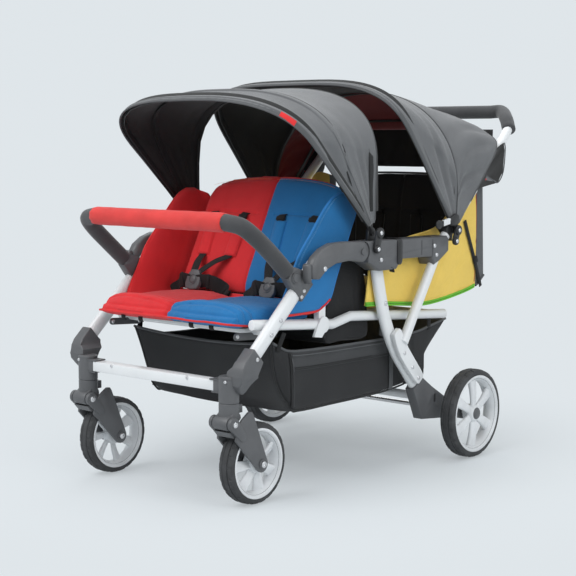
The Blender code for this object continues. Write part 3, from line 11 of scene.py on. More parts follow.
import bmesh
import bpy
from mathutils.bvhtree import BVHTree
from mathutils import Matrix, Vector, noise

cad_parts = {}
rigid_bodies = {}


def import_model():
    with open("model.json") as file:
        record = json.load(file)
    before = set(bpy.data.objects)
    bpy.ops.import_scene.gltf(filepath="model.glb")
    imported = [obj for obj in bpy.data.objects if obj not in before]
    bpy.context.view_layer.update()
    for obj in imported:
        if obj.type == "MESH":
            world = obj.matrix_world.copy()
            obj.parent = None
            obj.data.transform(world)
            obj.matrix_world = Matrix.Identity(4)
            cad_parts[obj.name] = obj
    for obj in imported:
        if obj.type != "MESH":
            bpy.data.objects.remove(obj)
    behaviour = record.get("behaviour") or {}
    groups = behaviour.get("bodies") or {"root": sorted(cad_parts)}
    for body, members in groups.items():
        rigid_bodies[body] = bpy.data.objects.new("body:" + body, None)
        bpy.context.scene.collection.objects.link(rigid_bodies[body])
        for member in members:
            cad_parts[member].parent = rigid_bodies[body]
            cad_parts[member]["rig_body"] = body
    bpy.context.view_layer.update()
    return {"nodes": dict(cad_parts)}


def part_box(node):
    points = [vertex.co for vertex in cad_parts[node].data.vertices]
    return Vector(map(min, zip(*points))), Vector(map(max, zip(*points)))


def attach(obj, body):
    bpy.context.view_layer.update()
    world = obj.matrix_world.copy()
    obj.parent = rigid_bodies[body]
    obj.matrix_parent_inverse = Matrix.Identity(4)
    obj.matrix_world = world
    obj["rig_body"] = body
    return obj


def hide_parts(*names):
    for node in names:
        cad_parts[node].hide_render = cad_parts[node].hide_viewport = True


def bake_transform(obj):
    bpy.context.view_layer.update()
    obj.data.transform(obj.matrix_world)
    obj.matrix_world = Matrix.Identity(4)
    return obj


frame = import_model()

# %% [markdown]
# ## Where things are
# The side of the frame was drawn as (y, z) points measured from halfway between the axles. The packed
# model is centred on its whole length, so the two differ by a shift along Y, which a wheel's box gives.

# %% Points of the side frame
GAP = 0.0003
WHEELBASE = 0.735
FRONT_R, REAR_R = 0.0955, 0.1167
FRONT_TRACK, REAR_TRACK = 0.474, 0.700
REAR_AXLE = (WHEELBASE / 2, REAR_R)
FRONT_AXLE = (-WHEELBASE / 2, FRONT_R)
low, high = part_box("rear_hub_left")
HALF_WAY = (low.y + high.y) / 2 - REAR_AXLE[0]
FRAME_HALF = 0.273
LEG_T, LEG_W = 0.022, 0.037
LEG_OUT = FRAME_HALF + LEG_T / 2
HANDLE_X = LEG_OUT + 0.0005 + 0.012


def at(x, y, z):
    """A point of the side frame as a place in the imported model."""
    return Vector((x, y + HALF_WAY, z))


def share(a, b, t):
    """The point a part t of the way from a to b."""
    return tuple(p + (q - p) * t for p, q in zip(a, b))


def ease(t):
    t = min(1.0, max(0.0, t))
    return t * t * (3.0 - 2.0 * t)


def bump(value, power=2.0):
    """1 in the middle and 0 at -1 and 1."""
    return 1.0 - min(1.0, abs(value)) ** power


def groove(value, middle, width):
    """A soft dip: 1 on a sewn line and 0 beyond its width."""
    t = abs(value - middle) / width
    return math.exp(-3.0 * t * t)


def wander(x, y, z):
    """Smooth noise that is the same in every run."""
    return noise.noise(Vector((x, y, z)))


def mirrored(line):
    """The other half of a line that ends at the middle, in reverse order."""
    return [Vector((-p.x, p.y, p.z)) for p in reversed(line)]


def linked(name, data):
    """Puts a mesh, a lamp or a camera in the scene as an object."""
    obj = bpy.data.objects.new(name, data)
    bpy.context.scene.collection.objects.link(obj)
    return obj


print("halfway between the axles lies at y =", round(HALF_WAY, 5))

# %% [markdown]
# ## Camera
# The picture was taken from the front left of the children, a little above the seats, with a long lens.
# The place, lens and angles below put the wheels and the handle where the photograph has them.

# %% Camera
CAMERA_AT = (2.335, -2.693, 0.833)
AZIMUTH, ELEVATION, ROLL = math.radians(40.5759), math.radians(6.0951), math.radians(0.1096)
SENSOR, PICTURE_WIDE, FOCAL_PIXELS = 36.0, 576.0, 1388.3658
camera_data = bpy.data.cameras.new("camera")
camera_data.lens = SENSOR * FOCAL_PIXELS / PICTURE_WIDE
camera_data.sensor_width = SENSOR
camera_data.clip_end = 60.0
camera = linked("camera", camera_data)
camera.location = at(*CAMERA_AT)
look = Vector((-math.sin(AZIMUTH) * math.cos(ELEVATION), math.cos(AZIMUTH) * math.cos(ELEVATION),
               -math.sin(ELEVATION)))
camera.rotation_mode = "QUATERNION"
camera.rotation_quaternion = look.to_track_quat("-Z", "Y")
camera.rotation_quaternion @= Matrix.Rotation(ROLL, 3, "Z").to_quaternion()
bpy.context.scene.camera = camera

# %% [markdown]
# ## Studio
# A wide pale floor under soft light. One large lamp stands in front and to the left, others to the right,
# behind and overhead, and the world lifts the shadows. The floor and the world show the camera the same
# pale blue-grey, so that no horizon shows behind the object. Glass and metal see it too.

# %% Node helpers
def node(owner, kind, **values):
    """Adds a shader node to a material or a world. set_ sets a property, and the rest set sockets."""
    made = owner.node_tree.nodes.new("ShaderNode" + kind)
    for key, value in values.items():
        if key.startswith("set_"):
            setattr(made, key[4:], value)
        else:
            made.inputs[key.replace("_", " ")].default_value = value
    return made


def link(owner, source, target):
    owner.node_tree.links.new(source, target)


def shader_of(mat):
    return mat.node_tree.nodes["Principled BSDF"]


def looked_through(owner):
    """1 for rays that find the plain backdrop: the camera's, and those through glass or off metal."""
    rays = node(owner, "LightPath")
    found = rays.outputs["Is Camera Ray"]
    for kind in ("Is Transmission Ray", "Is Glossy Ray"):
        either = node(owner, "Math", set_operation="MAXIMUM")
        link(owner, found, either.inputs[0])
        link(owner, rays.outputs[kind], either.inputs[1])
        found = either.outputs[0]
    return found


# %% World
BACKDROP = (0.742, 0.790, 0.822)
world = bpy.data.worlds.new("studio")
bpy.context.scene.world = world
world.use_nodes = True
world.node_tree.nodes.clear()
show = node(world, "Background", Color=(*BACKDROP, 1.0))
glow = node(world, "Background", Color=(0.93, 0.97, 1.0, 1.0), Strength=0.54)
mix = node(world, "MixShader")
link(world, looked_through(world), mix.inputs["Fac"])
link(world, glow.outputs[0], mix.inputs[1])
link(world, show.outputs[0], mix.inputs[2])
link(world, mix.outputs[0], node(world, "OutputWorld").inputs["Surface"])

# %% Floor
FLOOR_R, FLOOR_Z = 14.0, -0.0006
bm = bmesh.new()
bmesh.ops.create_circle(bm, cap_ends=True, segments=64, radius=FLOOR_R)
bmesh.ops.translate(bm, verts=bm.verts, vec=(0.0, 0.0, FLOOR_Z))
floor_mesh = bpy.data.meshes.new("floor")
bm.to_mesh(floor_mesh)
bm.free()
floor = linked("floor", floor_mesh)
floor_mat = bpy.data.materials.new("pale_floor")
floor_mat.use_nodes = True
shader = shader_of(floor_mat)
shader.inputs["Base Color"].default_value = (0.66, 0.70, 0.725, 1.0)
shader.inputs["Roughness"].default_value = 0.9
plain = node(floor_mat, "Emission", Color=(*BACKDROP, 1.0))
far = node(floor_mat, "VectorMath", set_operation="LENGTH")
fade = node(floor_mat, "MapRange", set_interpolation_type="SMOOTHSTEP", From_Min=0.20, From_Max=1.20,
            To_Min=0.32, To_Max=1.0)
shown = node(floor_mat, "Math", set_operation="MULTIPLY")
mix = node(floor_mat, "MixShader")
link(floor_mat, node(floor_mat, "TexCoord").outputs["Object"], far.inputs[0])
link(floor_mat, far.outputs["Value"], fade.inputs["Value"])
link(floor_mat, fade.outputs["Result"], shown.inputs[0])
link(floor_mat, looked_through(floor_mat), shown.inputs[1])
link(floor_mat, shown.outputs[0], mix.inputs["Fac"])
link(floor_mat, shader.outputs[0], mix.inputs[1])
link(floor_mat, plain.outputs[0], mix.inputs[2])
link(floor_mat, mix.outputs[0], floor_mat.node_tree.nodes["Material Output"].inputs["Surface"])
floor_mesh.materials.append(floor_mat)


# %% Lamps
MIDDLE = Vector((0.0, 0.0, 0.5))


def lamp(name, place, size, power):
    """A square soft lamp that faces the middle of the object."""
    data = bpy.data.lights.new(name, "AREA")
    data.shape = "SQUARE"
    data.size = size
    data.energy = power
    obj = linked(name, data)
    obj.location = place
    obj.rotation_mode = "QUATERNION"
    obj.rotation_quaternion = (MIDDLE - Vector(place)).to_track_quat("-Z", "Y")


lamp("key_lamp", (-0.6, -2.6, 3.0), 2.2, 66.0)
lamp("side_lamp", (3.2, -0.6, 2.0), 2.0, 40.0)
lamp("back_lamp", (-2.2, 2.4, 2.6), 2.0, 22.0)
lamp("top_lamp", (0.1, 0.2, 3.8), 2.4, 34.0)
bpy.context.scene.view_settings.view_transform = "Standard"
print(len(bpy.data.lights), "lamps")

# %% [markdown]
# ## Finishes
# Every finish is a set of shader nodes. A small helper makes the shader and wires a bump from a
# pattern. Sizes are real: a thread is about half a millimetre, moulded grain about a third.

# %% Shader helpers
def finish(name, colour, rough, metal=0.0, sheen=0.0):
    """A plain Principled material, with the values that are the same all over set on the shader."""
    mat = bpy.data.materials.new(name)
    mat.use_nodes = True
    mat.diffuse_color = (*colour, 1.0)
    shader = shader_of(mat)
    shader.inputs["Base Color"].default_value = (*colour, 1.0)
    shader.inputs["Roughness"].default_value = rough
    shader.inputs["Metallic"].default_value = metal
    shader.inputs["Sheen Weight"].default_value = sheen
    shader.inputs["Sheen Roughness"].default_value = 0.5
    return mat


def coordinates(mat, scale=(1.0, 1.0, 1.0), which="Object"):
    """Pattern coordinates in metres, from the object or from the piece's own UV map."""
    place = node(mat, "TexCoord")
    mapping = node(mat, "Mapping")
    mapping.inputs["Scale"].default_value = scale
    link(mat, place.outputs[which], mapping.inputs["Vector"])
    return mapping.outputs["Vector"]


def add_bump(mat, height, distance, strength):
    """Puts a height over what the shader's normal has already."""
    shader = shader_of(mat)
    made = node(mat, "Bump", Strength=strength, Distance=distance)
    link(mat, height, made.inputs["Height"])
    if shader.inputs["Normal"].links:
        link(mat, shader.inputs["Normal"].links[0].from_socket, made.inputs["Normal"])
    link(mat, made.outputs["Normal"], shader.inputs["Normal"])


def mottle(mat, colour, other, scale, low=0.35, high=0.65):
    """Drifts the colour between two close ones, as dye, dust and handling do."""
    cloud = node(mat, "TexNoise", Scale=scale, Detail=4.0, Roughness=0.6)
    link(mat, coordinates(mat), cloud.inputs["Vector"])
    ramp = node(mat, "ValToRGB")
    ramp.color_ramp.elements[0].position = low
    ramp.color_ramp.elements[1].position = high
    ramp.color_ramp.elements[0].color = (*colour, 1.0)
    ramp.color_ramp.elements[1].color = (*other, 1.0)
    link(mat, cloud.outputs["Fac"], ramp.inputs["Fac"])
    return ramp.outputs["Color"]


def mottled(mat, *how):
    """Gives the shader a drifting colour."""
    link(mat, mottle(mat, *how), shader_of(mat).inputs["Base Color"])


def pattern(mat, kind, **values):
    """A noise or cell pattern on the object's own coordinates."""
    made = node(mat, kind, **values)
    link(mat, coordinates(mat), made.inputs["Vector"])
    return made


def roughness_drift(mat, low, high, scale):
    """Lets the gloss wander a little over the surface."""
    cloud = pattern(mat, "TexNoise", Scale=scale, Detail=3.0)
    span = node(mat, "MapRange", To_Min=low, To_Max=high)
    link(mat, cloud.outputs["Fac"], span.inputs["Value"])
    link(mat, span.outputs["Result"], shader_of(mat).inputs["Roughness"])


# %% [markdown]
# ### Woven cloth
# Canopies, seats and basket are plain-woven polyester. Two sets of fine waves cross at right angles
# and multiply into a weave, which lifts the bump, darkens the colour between the threads as painted shade
# and lifts it a little on their crowns as a painted highlight. Sheets carry a UV map in metres, so the
# threads follow the cloth. The stuffed pieces have no UV map, so they use object coordinates, with one wave
# across and the other along Y plus Z, which runs along both seat and back.

# %% Cloth finish
def cloth_finish(name, colour, thread=0.0011, which="UV", depth=0.35, drift=0.10, sheen=0.12):
    mat = finish(name, colour, 0.86, sheen=sheen)
    shader = shader_of(mat)
    ruffle = node(mat, "TexNoise", Scale=900.0, Detail=1.0)
    spot = coordinates(mat, which=which)
    link(mat, spot, ruffle.inputs["Vector"])
    split = node(mat, "SeparateXYZ")
    link(mat, spot, split.inputs["Vector"])
    along = split.outputs["Y"]
    if which == "Object":
        total = node(mat, "Math", set_operation="ADD")
        link(mat, split.outputs["Y"], total.inputs[0])
        link(mat, split.outputs["Z"], total.inputs[1])
        along = total.outputs[0]
    waves = []
    for source in (split.outputs["X"], along):
        turn = node(mat, "Math", set_operation="MULTIPLY")
        turn.inputs[1].default_value = 2.0 * math.pi / thread
        link(mat, source, turn.inputs[0])
        wave = node(mat, "Math", set_operation="SINE")
        link(mat, turn.outputs[0], wave.inputs[0])
        waves.append(wave.outputs[0])
    weave = node(mat, "Math", set_operation="MULTIPLY")
    link(mat, waves[0], weave.inputs[0])
    link(mat, waves[1], weave.inputs[1])
    rough_weave = node(mat, "Math", set_operation="MULTIPLY_ADD")
    rough_weave.inputs[1].default_value = 0.7
    link(mat, weave.outputs[0], rough_weave.inputs[0])
    link(mat, ruffle.outputs["Fac"], rough_weave.inputs[2])
    add_bump(mat, rough_weave.outputs[0], 0.0004, depth)
    darker = tuple(c * (1.0 - drift) for c in colour)
    lighter = tuple(min(1.0, c * (1.0 + drift) + 0.002) for c in colour)
    base = mottle(mat, darker, lighter, 9.0)
    # Painted shade between the threads and a faint painted highlight on their crowns: the colour follows the
    # weave's height.
    shade = node(mat, "MapRange", From_Min=-1.0, From_Max=1.0, To_Min=0.82, To_Max=1.05)
    link(mat, weave.outputs[0], shade.inputs["Value"])
    tint = node(mat, "VectorMath", set_operation="SCALE")
    link(mat, base, tint.inputs[0])
    link(mat, shade.outputs["Result"], tint.inputs["Scale"])
    link(mat, tint.outputs["Vector"], shader.inputs["Base Color"])
    return mat


CHARCOAL = cloth_finish("charcoal_cloth", (0.138, 0.143, 0.150), sheen=0.25)
# Inner face of the canopies and flaps: near-black painted shade inside one layer of charcoal cloth.
CANOPY_INSIDE_SHADE = cloth_finish("canopy_inside_painted_shade", (0.014, 0.0135, 0.013))
# Red inner face of the rear canopy's rear part, darkened as painted shade.
RED_INSIDE_PAINTED_SHADE = cloth_finish("red_inside_painted_shade", (0.20, 0.010, 0.012))
# The curtain's near-black colour is painted shade on the back panel.
CURTAIN_PAINTED_SHADE = cloth_finish("curtain_cloth_painted_shade", (0.012, 0.0125, 0.013), thread=0.0016)
BAND = cloth_finish("black_band", (0.012, 0.0125, 0.013), which="Object", thread=0.0016)
POCKET = cloth_finish("basket_pocket_cloth", (0.044, 0.046, 0.049), thread=0.0018, sheen=0.15)
FOOT_CLOTH = cloth_finish("black_tray_cloth", (0.012, 0.012, 0.013))
BASKET = cloth_finish("basket_cloth", (0.015, 0.0155, 0.017), sheen=0.10)
RED_PAD = cloth_finish("red_seat_cloth", (0.76, 0.020, 0.026), which="Object", drift=0.07)
BLUE_PAD = cloth_finish("blue_seat_cloth", (0.008, 0.175, 0.450), which="Object", drift=0.07)
BLACK_PAD = cloth_finish("black_seat_cloth", (0.008, 0.008, 0.009), which="Object", sheen=0.03)
YELLOW_PAD = cloth_finish("yellow_seat_cloth", (0.93, 0.655, 0.135), which="Object", drift=0.05)
RED_EDGE = cloth_finish("red_edging", (0.70, 0.020, 0.022), which="Object", thread=0.0022)
GREEN_EDGE = cloth_finish("green_edging", (0.16, 0.56, 0.03), which="Object", thread=0.0022)
CHARCOAL_EDGE = cloth_finish("charcoal_edging", (0.090, 0.094, 0.099), which="Object", thread=0.0022)
DARK_EDGE = cloth_finish("black_edging", (0.016, 0.0165, 0.0175), which="Object", thread=0.0022)
WEBBING = cloth_finish("webbing", (0.0065, 0.0065, 0.007), which="Object", thread=0.0024, depth=0.8,
                       sheen=0.02)
SLEEVE = cloth_finish("red_sleeve_cloth", (0.72, 0.045, 0.040), which="Object", thread=0.0013)


# %% [markdown]
# ### Moulded plastic, paint, rubber, foam and plated steel
# Moulded plastic has a fine leathery grain, which a Voronoi pattern gives. Powder paint has a soft
# orange peel. Tyres are matt, with drifting patches of dust. Foam shows its closed cells. Plated parts
# are metal with faint brushing.

# %% Hard finishes
PLASTIC_GRAIN = 0.0007


def plastic_finish(name, colour, rough, depth=0.18):
    mat = finish(name, colour, rough)
    cells = pattern(mat, "TexVoronoi", Scale=1.0 / PLASTIC_GRAIN)
    add_bump(mat, cells.outputs["Distance"], 0.0002, depth)
    worn = tuple(min(1.0, c * 1.22 + 0.003) for c in colour)
    mottled(mat, colour, worn, 14.0, 0.40, 0.75)
    roughness_drift(mat, rough - 0.07, rough + 0.08, 30.0)
    return mat


def paint_finish(name, colour):
    mat = finish(name, colour, 0.34)
    shader = shader_of(mat)
    shader.inputs["Coat Weight"].default_value = 0.25
    shader.inputs["Coat Roughness"].default_value = 0.2
    peel = pattern(mat, "TexNoise", Scale=420.0, Detail=2.0)
    add_bump(mat, peel.outputs["Fac"], 0.0002, 0.12)
    duller = tuple(c * 0.94 for c in colour)
    mottled(mat, colour, duller, 7.0, 0.45, 0.8)
    roughness_drift(mat, 0.28, 0.42, 18.0)
    return mat


def rubber_finish(name, colour):
    mat = finish(name, colour, 0.78)
    dust = tuple(c * 1.9 + 0.006 for c in colour)
    mottled(mat, colour, dust, 26.0, 0.45, 0.85)
    skin = pattern(mat, "TexNoise", Scale=700.0, Detail=3.0)
    add_bump(mat, skin.outputs["Fac"], 0.0003, 0.3)
    return mat


def foam_finish(name, colour):
    mat = finish(name, colour, 0.82, sheen=0.25)
    cells = pattern(mat, "TexVoronoi", Scale=1400.0)
    add_bump(mat, cells.outputs["Distance"], 0.0003, 0.45)
    paler = tuple(c * 1.35 for c in colour)
    mottled(mat, colour, paler, 20.0, 0.4, 0.8)
    return mat


def metal_finish(name, colour, rough):
    mat = finish(name, colour, rough, metal=1.0)
    lines = node(mat, "TexNoise", Scale=60.0, Detail=4.0)
    link(mat, coordinates(mat, (1.0, 1.0, 22.0)), lines.inputs["Vector"])
    add_bump(mat, lines.outputs["Fac"], 0.0001, 0.15)
    roughness_drift(mat, rough - 0.08, rough + 0.1, 60.0)
    return mat


WHITE = paint_finish("white_powder_paint", (0.80, 0.815, 0.825))
GREY = plastic_finish("grey_moulded_plastic", (0.094, 0.096, 0.101), 0.44)
BLACK = plastic_finish("black_moulded_plastic", (0.013, 0.013, 0.014), 0.42)
WHEEL = plastic_finish("pale_wheel_plastic", (0.70, 0.715, 0.73), 0.42, depth=0.1)
TYRE = rubber_finish("tyre_rubber", (0.040, 0.041, 0.043))
FOAM = foam_finish("charcoal_foam", (0.042, 0.043, 0.046))
STEEL = metal_finish("zinc_steel", (0.72, 0.72, 0.73), 0.28)
STEEL_DARK = metal_finish("dark_zip_metal", (0.10, 0.10, 0.105), 0.40)
print(len(bpy.data.materials), "finishes")

# %% [markdown]
# ## Making pieces
# The helpers below shape a mesh with bmesh operators and hand it to the frame. `keep` finishes a
# piece: it turns the faces outwards, links the object, and says which body carries it.

# %% Piece helpers
def keep(name, bm, finishes, body, stands_for=(), smooth=38.0, outwards=True):
    if outwards:
        bmesh.ops.recalc_face_normals(bm, faces=bm.faces)
    mesh = bpy.data.meshes.new(name)
    bm.to_mesh(mesh)
    bm.free()
    obj = linked(name, mesh)
    for mat in finishes if isinstance(finishes, (list, tuple)) else [finishes]:
        mesh.materials.append(mat)
    mesh.shade_smooth()
    mesh.set_sharp_from_angle(angle=math.radians(smooth))
    if body:
        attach(obj, body)
    if stands_for:
        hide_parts(*stands_for)
    return obj


def add(bm, other):
    """Puts one bmesh into another."""
    mesh = bpy.data.meshes.new("part")
    other.to_mesh(mesh)
    other.free()
    bm.from_mesh(mesh)
    bpy.data.meshes.remove(mesh)
    return bm


def flat_oval(wide, high, steps=6):
    """Section of a flat-oval tube."""
    radius = wide / 2
    straight = high / 2 - radius
    points = []
    for middle, start in ((straight, 0.0), (-straight, 180.0)):
        for i in range(steps + 1):
            a = math.radians(start + 180.0 * i / steps)
            points.append((radius * math.cos(a), middle + radius * math.sin(a)))
    return points


def ring(radius, sides):
    """Section of a round cord or tube."""
    turns = [2 * math.pi * i / sides for i in range(sides)]
    return [(radius * math.cos(a), radius * math.sin(a)) for a in turns]


def slab(wide, thick):
    """Section of a strap, with eased edges."""
    a, b = wide / 2, thick / 2
    low = [(-a, -b * 0.4), (-a + b, -b), (a - b, -b), (a, -b * 0.4)]
    return low + [(x, -z) for x, z in reversed(low)]


def curve(points, steps):
    """A smooth line through points."""
    pts = [Vector(p) for p in points]
    line = []
    for i in range(len(pts) - 1):
        before = pts[i - 1] if i else pts[0] * 2 - pts[1]
        after = pts[i + 2] if i + 2 < len(pts) else pts[-1] * 2 - pts[-2]
        for k in range(steps):
            t = k / steps
            a, b = pts[i], pts[i + 1]
            line.append(0.5 * ((2 * a) + (b - before) * t + (2 * before - 5 * a + 4 * b - after) * t ** 2
                               + (3 * a - before - 3 * b + after) * t ** 3))
    line.append(pts[-1])
    return line


def swept(path, section, side=(1.0, 0.0, 0.0), sizes=None, sides=None):
    """Extrudes a section along a path. sizes scales it along the way, and sides turns it."""
    path = [Vector(p) for p in path]
    bm = bmesh.new()
    hand = Vector(side)
    face = rim = None
    for i, here in enumerate(path):
        ahead = path[min(i + 1, len(path) - 1)] - here
        behind = here - path[max(i - 1, 0)]
        along = (ahead.normalized() + behind.normalized()).normalized()
        hand = Vector(sides[i]) if sides else hand
        hand = (hand - along * hand.dot(along)).normalized()
        upward = along.cross(hand)
        inner = 0 < i < len(path) - 1 and ahead.length
        turn_in = 1.0 / max(0.7, along.dot(ahead.normalized())) if inner else 1.0
        size = sizes[i] if sizes else 1.0
        places = [here + hand * (a * size) + upward * (b * turn_in * size) for a, b in section]
        if face is None:
            rim = [bm.verts.new(p) for p in places]
            face = bm.faces.new(rim)
            continue
        grown = bmesh.ops.extrude_face_region(bm, geom=[face])["geom"]
        new_face = [g for g in grown if isinstance(g, bmesh.types.BMFace)][0]
        rim = [min(new_face.verts, key=lambda v: (v.co - old.co).length) for old in rim]
        for vert, place in zip(rim, places):
            vert.co = place
        if i > 1:
            bmesh.ops.delete(bm, geom=[face], context="FACES_ONLY")
        face = new_face
    bmesh.ops.recalc_face_normals(bm, faces=bm.faces)
    return bm


def turned(profile, centre, steps, axis=(1.0, 0.0, 0.0)):
    """Spins a closed profile of (x, radius) points round a line through centre."""
    bm = bmesh.new()
    verts = [bm.verts.new((x, 0.0, r)) for x, r in profile]
    edges = [bm.edges.new((verts[i], verts[(i + 1) % len(verts)])) for i in range(len(verts))]
    bmesh.ops.spin(bm, geom=verts + edges, cent=(0, 0, 0), axis=(1, 0, 0), dvec=(0, 0, 0), angle=2 * math.pi,
                   steps=steps, use_merge=True, use_normal_flip=False, use_duplicate=False)
    bmesh.ops.remove_doubles(bm, verts=bm.verts, dist=1e-6)
    bmesh.ops.dissolve_degenerate(bm, edges=bm.edges, dist=1e-7)
    turn = Vector((1.0, 0.0, 0.0)).rotation_difference(Vector(axis)).to_matrix().to_4x4()
    bmesh.ops.transform(bm, matrix=Matrix.Translation(centre) @ turn, verts=bm.verts)
    return bm


def disc(low, high, radius, centre, steps):
    """A round plug along X, from low to high of its centre."""
    return turned([(low, 0.0), (high, 0.0), (high, radius), (low, radius)], centre, steps)


def moved_points(grown):
    """The points among what an extrusion made."""
    return [g for g in grown if isinstance(g, bmesh.types.BMVert)]


def prism(outline, low, high):
    """An outline of (y, z) points of the side frame, drawn out along X."""
    bm = bmesh.new()
    face = bm.faces.new([bm.verts.new(at(low, y, z)) for y, z in outline])
    grown = bmesh.ops.extrude_face_region(bm, geom=[face])["geom"]
    bmesh.ops.translate(bm, verts=moved_points(grown), vec=(high - low, 0, 0))
    bmesh.ops.recalc_face_normals(bm, faces=bm.faces)
    return bm


def eased(bm, width, angle=28.0, segments=2):
    """Rounds the sharp edges of a closed shape."""
    edges = [e for e in bm.edges if len(e.link_faces) == 2 and e.calc_face_angle() > math.radians(angle)]
    bmesh.ops.bevel(bm, geom=edges, offset=width, segments=segments, affect="EDGES", profile=0.5, material=-1,
                    clamp_overlap=True)
    return bm


def screw(place, axis, radius=0.0050, high=0.0026):
    """A low round rivet or screw head, with a socket in the middle."""
    profile = [(-0.002, 0.0), (high * 0.35, 0.0), (high * 0.35, radius * 0.34), (high, radius * 0.42),
               (high * 0.9, radius * 0.75), (high * 0.35, radius * 0.98), (-0.002, radius)]
    return turned(profile, Vector(place), 20, axis)


def screws(name, places, body, axis, **kind):
    bm = bmesh.new()
    for place in places:
        add(bm, screw(place, axis, **kind))
    return keep(name, bm, STEEL, body, smooth=30)


def stitched(name, path, pitch, mat, body, out, long=0.6, radius=0.00045):
    """A row of short threads along a path, each a small rounded bar that lies on the cloth."""
    path = [Vector(p) for p in path]
    lengths = [0.0]
    for a, b in zip(path, path[1:]):
        lengths.append(lengths[-1] + (b - a).length)
    bm = bmesh.new()
    count = max(2, int(lengths[-1] / pitch))
    k = 0
    for i in range(count):
        ends = []
        for goal in (i * pitch, (i + long) * pitch):
            while k < len(path) - 2 and lengths[k + 1] < goal:
                k += 1
            step = max(1e-9, lengths[k + 1] - lengths[k])
            ends.append(path[k].lerp(path[k + 1],
                                     min(1.0, (goal - lengths[k]) / step)) + Vector(out) * 0.0003)
            if len(ends) == 1:
                k_start = k
        k = k_start
        span = ends[1] - ends[0]
        if span.length < 1e-6:
            continue
        made = bmesh.ops.create_cone(bm, cap_ends=True, segments=5, radius1=radius, radius2=radius * 0.8,
                                     depth=span.length)["verts"]
        turn = span.to_track_quat("Z", "Y").to_matrix().to_4x4()
        bmesh.ops.transform(bm, matrix=Matrix.Translation((ends[0] + ends[1]) / 2) @ turn, verts=made)
    return keep(name, bm, mat, body)


def cut_along(bm, place, normal):
    """Cuts the faces along a plane, for a clean line between two colours or a row of new points."""
    bmesh.ops.bisect_plane(bm, geom=bm.verts[:] + bm.edges[:] + bm.faces[:], plane_co=place, plane_no=normal)


def walled(obj, thick, offset, inner_face_step=0):
    """Gives a sheet its thickness. With inner_face_step 1 the other side takes the next material, which on
    the canopies and flaps is painted shade.
    """
    wall = obj.modifiers.new("wall", "SOLIDIFY")
    wall.thickness = thick
    wall.offset = offset
    wall.material_offset = inner_face_step


print("helpers ready")

# %% [markdown]
# ## Wheels
# Each wheel is a moulded pale hub in a soft dark tyre. A closed profile spun through a full turn gives
# both. The pads on the tyre's shoulders are groups of faces, inset and raised a little. The front hubs
# have seven twisted blades, and the rear ones six broad spokes with a grey cap.

# %% Tyres
TYRE_HALF, TYRE_STEPS = 0.022, 92
FRONT_RIM, REAR_RIM = 0.0824, 0.1020
PAD_INSET, PAD_RAISED = 0.0013, 0.0016


def tyre_shape(centre, radius, rim):
    h = TYRE_HALF
    side = [(h - 0.005, rim - 0.0095), (h - 0.005, rim - 0.0002), (h - 0.0004, rim + 0.0002),
            (h, rim + 0.0035),
            (h * 0.97, radius - 0.0080), (h * 0.86, radius - 0.0042), (h * 0.42, radius - 0.0014),
            (h * 0.32, radius - 0.0024), (h * 0.26, radius - 0.0003), (h * 0.1, radius)]
    bm = turned(side + [(-x, r) for x, r in reversed(side)], Vector(centre), TYRE_STEPS)
    groups = {}
    for face in bm.faces:
        spot = face.calc_center_median() - Vector(centre)
        r = math.hypot(spot.y, spot.z)
        if not (h * 0.45 < abs(spot.x) < h * 0.80 and r > radius - 0.006):
            continue
        turn = math.atan2(spot.z, spot.y) / (2 * math.pi) * TYRE_STEPS + (2.0 if spot.x > 0 else 0.0)
        number = int(turn + TYRE_STEPS * 2)
        if number % 4 != 3:
            groups.setdefault((spot.x > 0, number // 4), []).append(face)
    for pad in groups.values():
        bmesh.ops.inset_region(bm, faces=pad, thickness=PAD_INSET, depth=0.0, use_even_offset=True)
        moved = {v for face in pad for v in face.verts}
        for vert in moved:
            out = vert.co - Vector(centre)
            out.x = 0.0
            vert.co += out.normalized() * PAD_RAISED
    return bm


def boss_shape(centre, outward):
    profile = [(-0.016, 0.0065), (-0.016, 0.0130), (-0.010, 0.0225), (0.0075, 0.0245), (0.0150, 0.0215),
               (0.0185, 0.0180), (0.0190, 0.0158), (0.0160, 0.0150), (0.0160, 0.0065)]
    return turned(profile, Vector(centre), 48, (outward, 0.0, 0.0))


def hub_shape(centre, rim, blades, outward, twist, wide, deep):
    """Rim ring, boss and blades. The blades run from the boss to the ring and stand a little outwards."""
    h = TYRE_HALF
    seat, lip = rim - 0.0098, rim - 0.0150
    side = [(h - 0.0055, seat), (h - 0.0055, rim - 0.0006), (h - 0.0010, rim - 0.0006),
            (h - 0.0003, rim - 0.0022),
            (h - 0.0008, rim - 0.0058), (h - 0.0035, rim - 0.0082), (h * 0.35, lip)]
    bm = turned(side + [(-x, r) for x, r in reversed(side)], Vector(centre), 84)
    add(bm, boss_shape(centre, outward))
    for i in range(blades):
        a = 2 * math.pi * (i + 0.5) / blades
        along = Vector((0.0, math.cos(a), math.sin(a)))
        across = Vector((0.0, -math.sin(a), math.cos(a)))
        tilt = Matrix.Rotation(math.radians(twist) * outward, 3, along)
        path, sizes = [], []
        for k in range(9):
            t = k / 8
            r = 0.0185 + (lip + 0.0025 - 0.0185) * t
            x = outward * (0.0075 - 0.0060 * t + 0.002 * math.sin(math.pi * t))
            path.append(Vector(centre) + along * r + Vector((x, 0.0, 0.0)))
            sizes.append(0.80 + 0.42 * t ** 1.4)
        add(bm, swept(path, flat_oval(deep, wide, 6), side=tilt @ Vector((1.0, 0.0, 0.0)), sizes=sizes))
    return bm


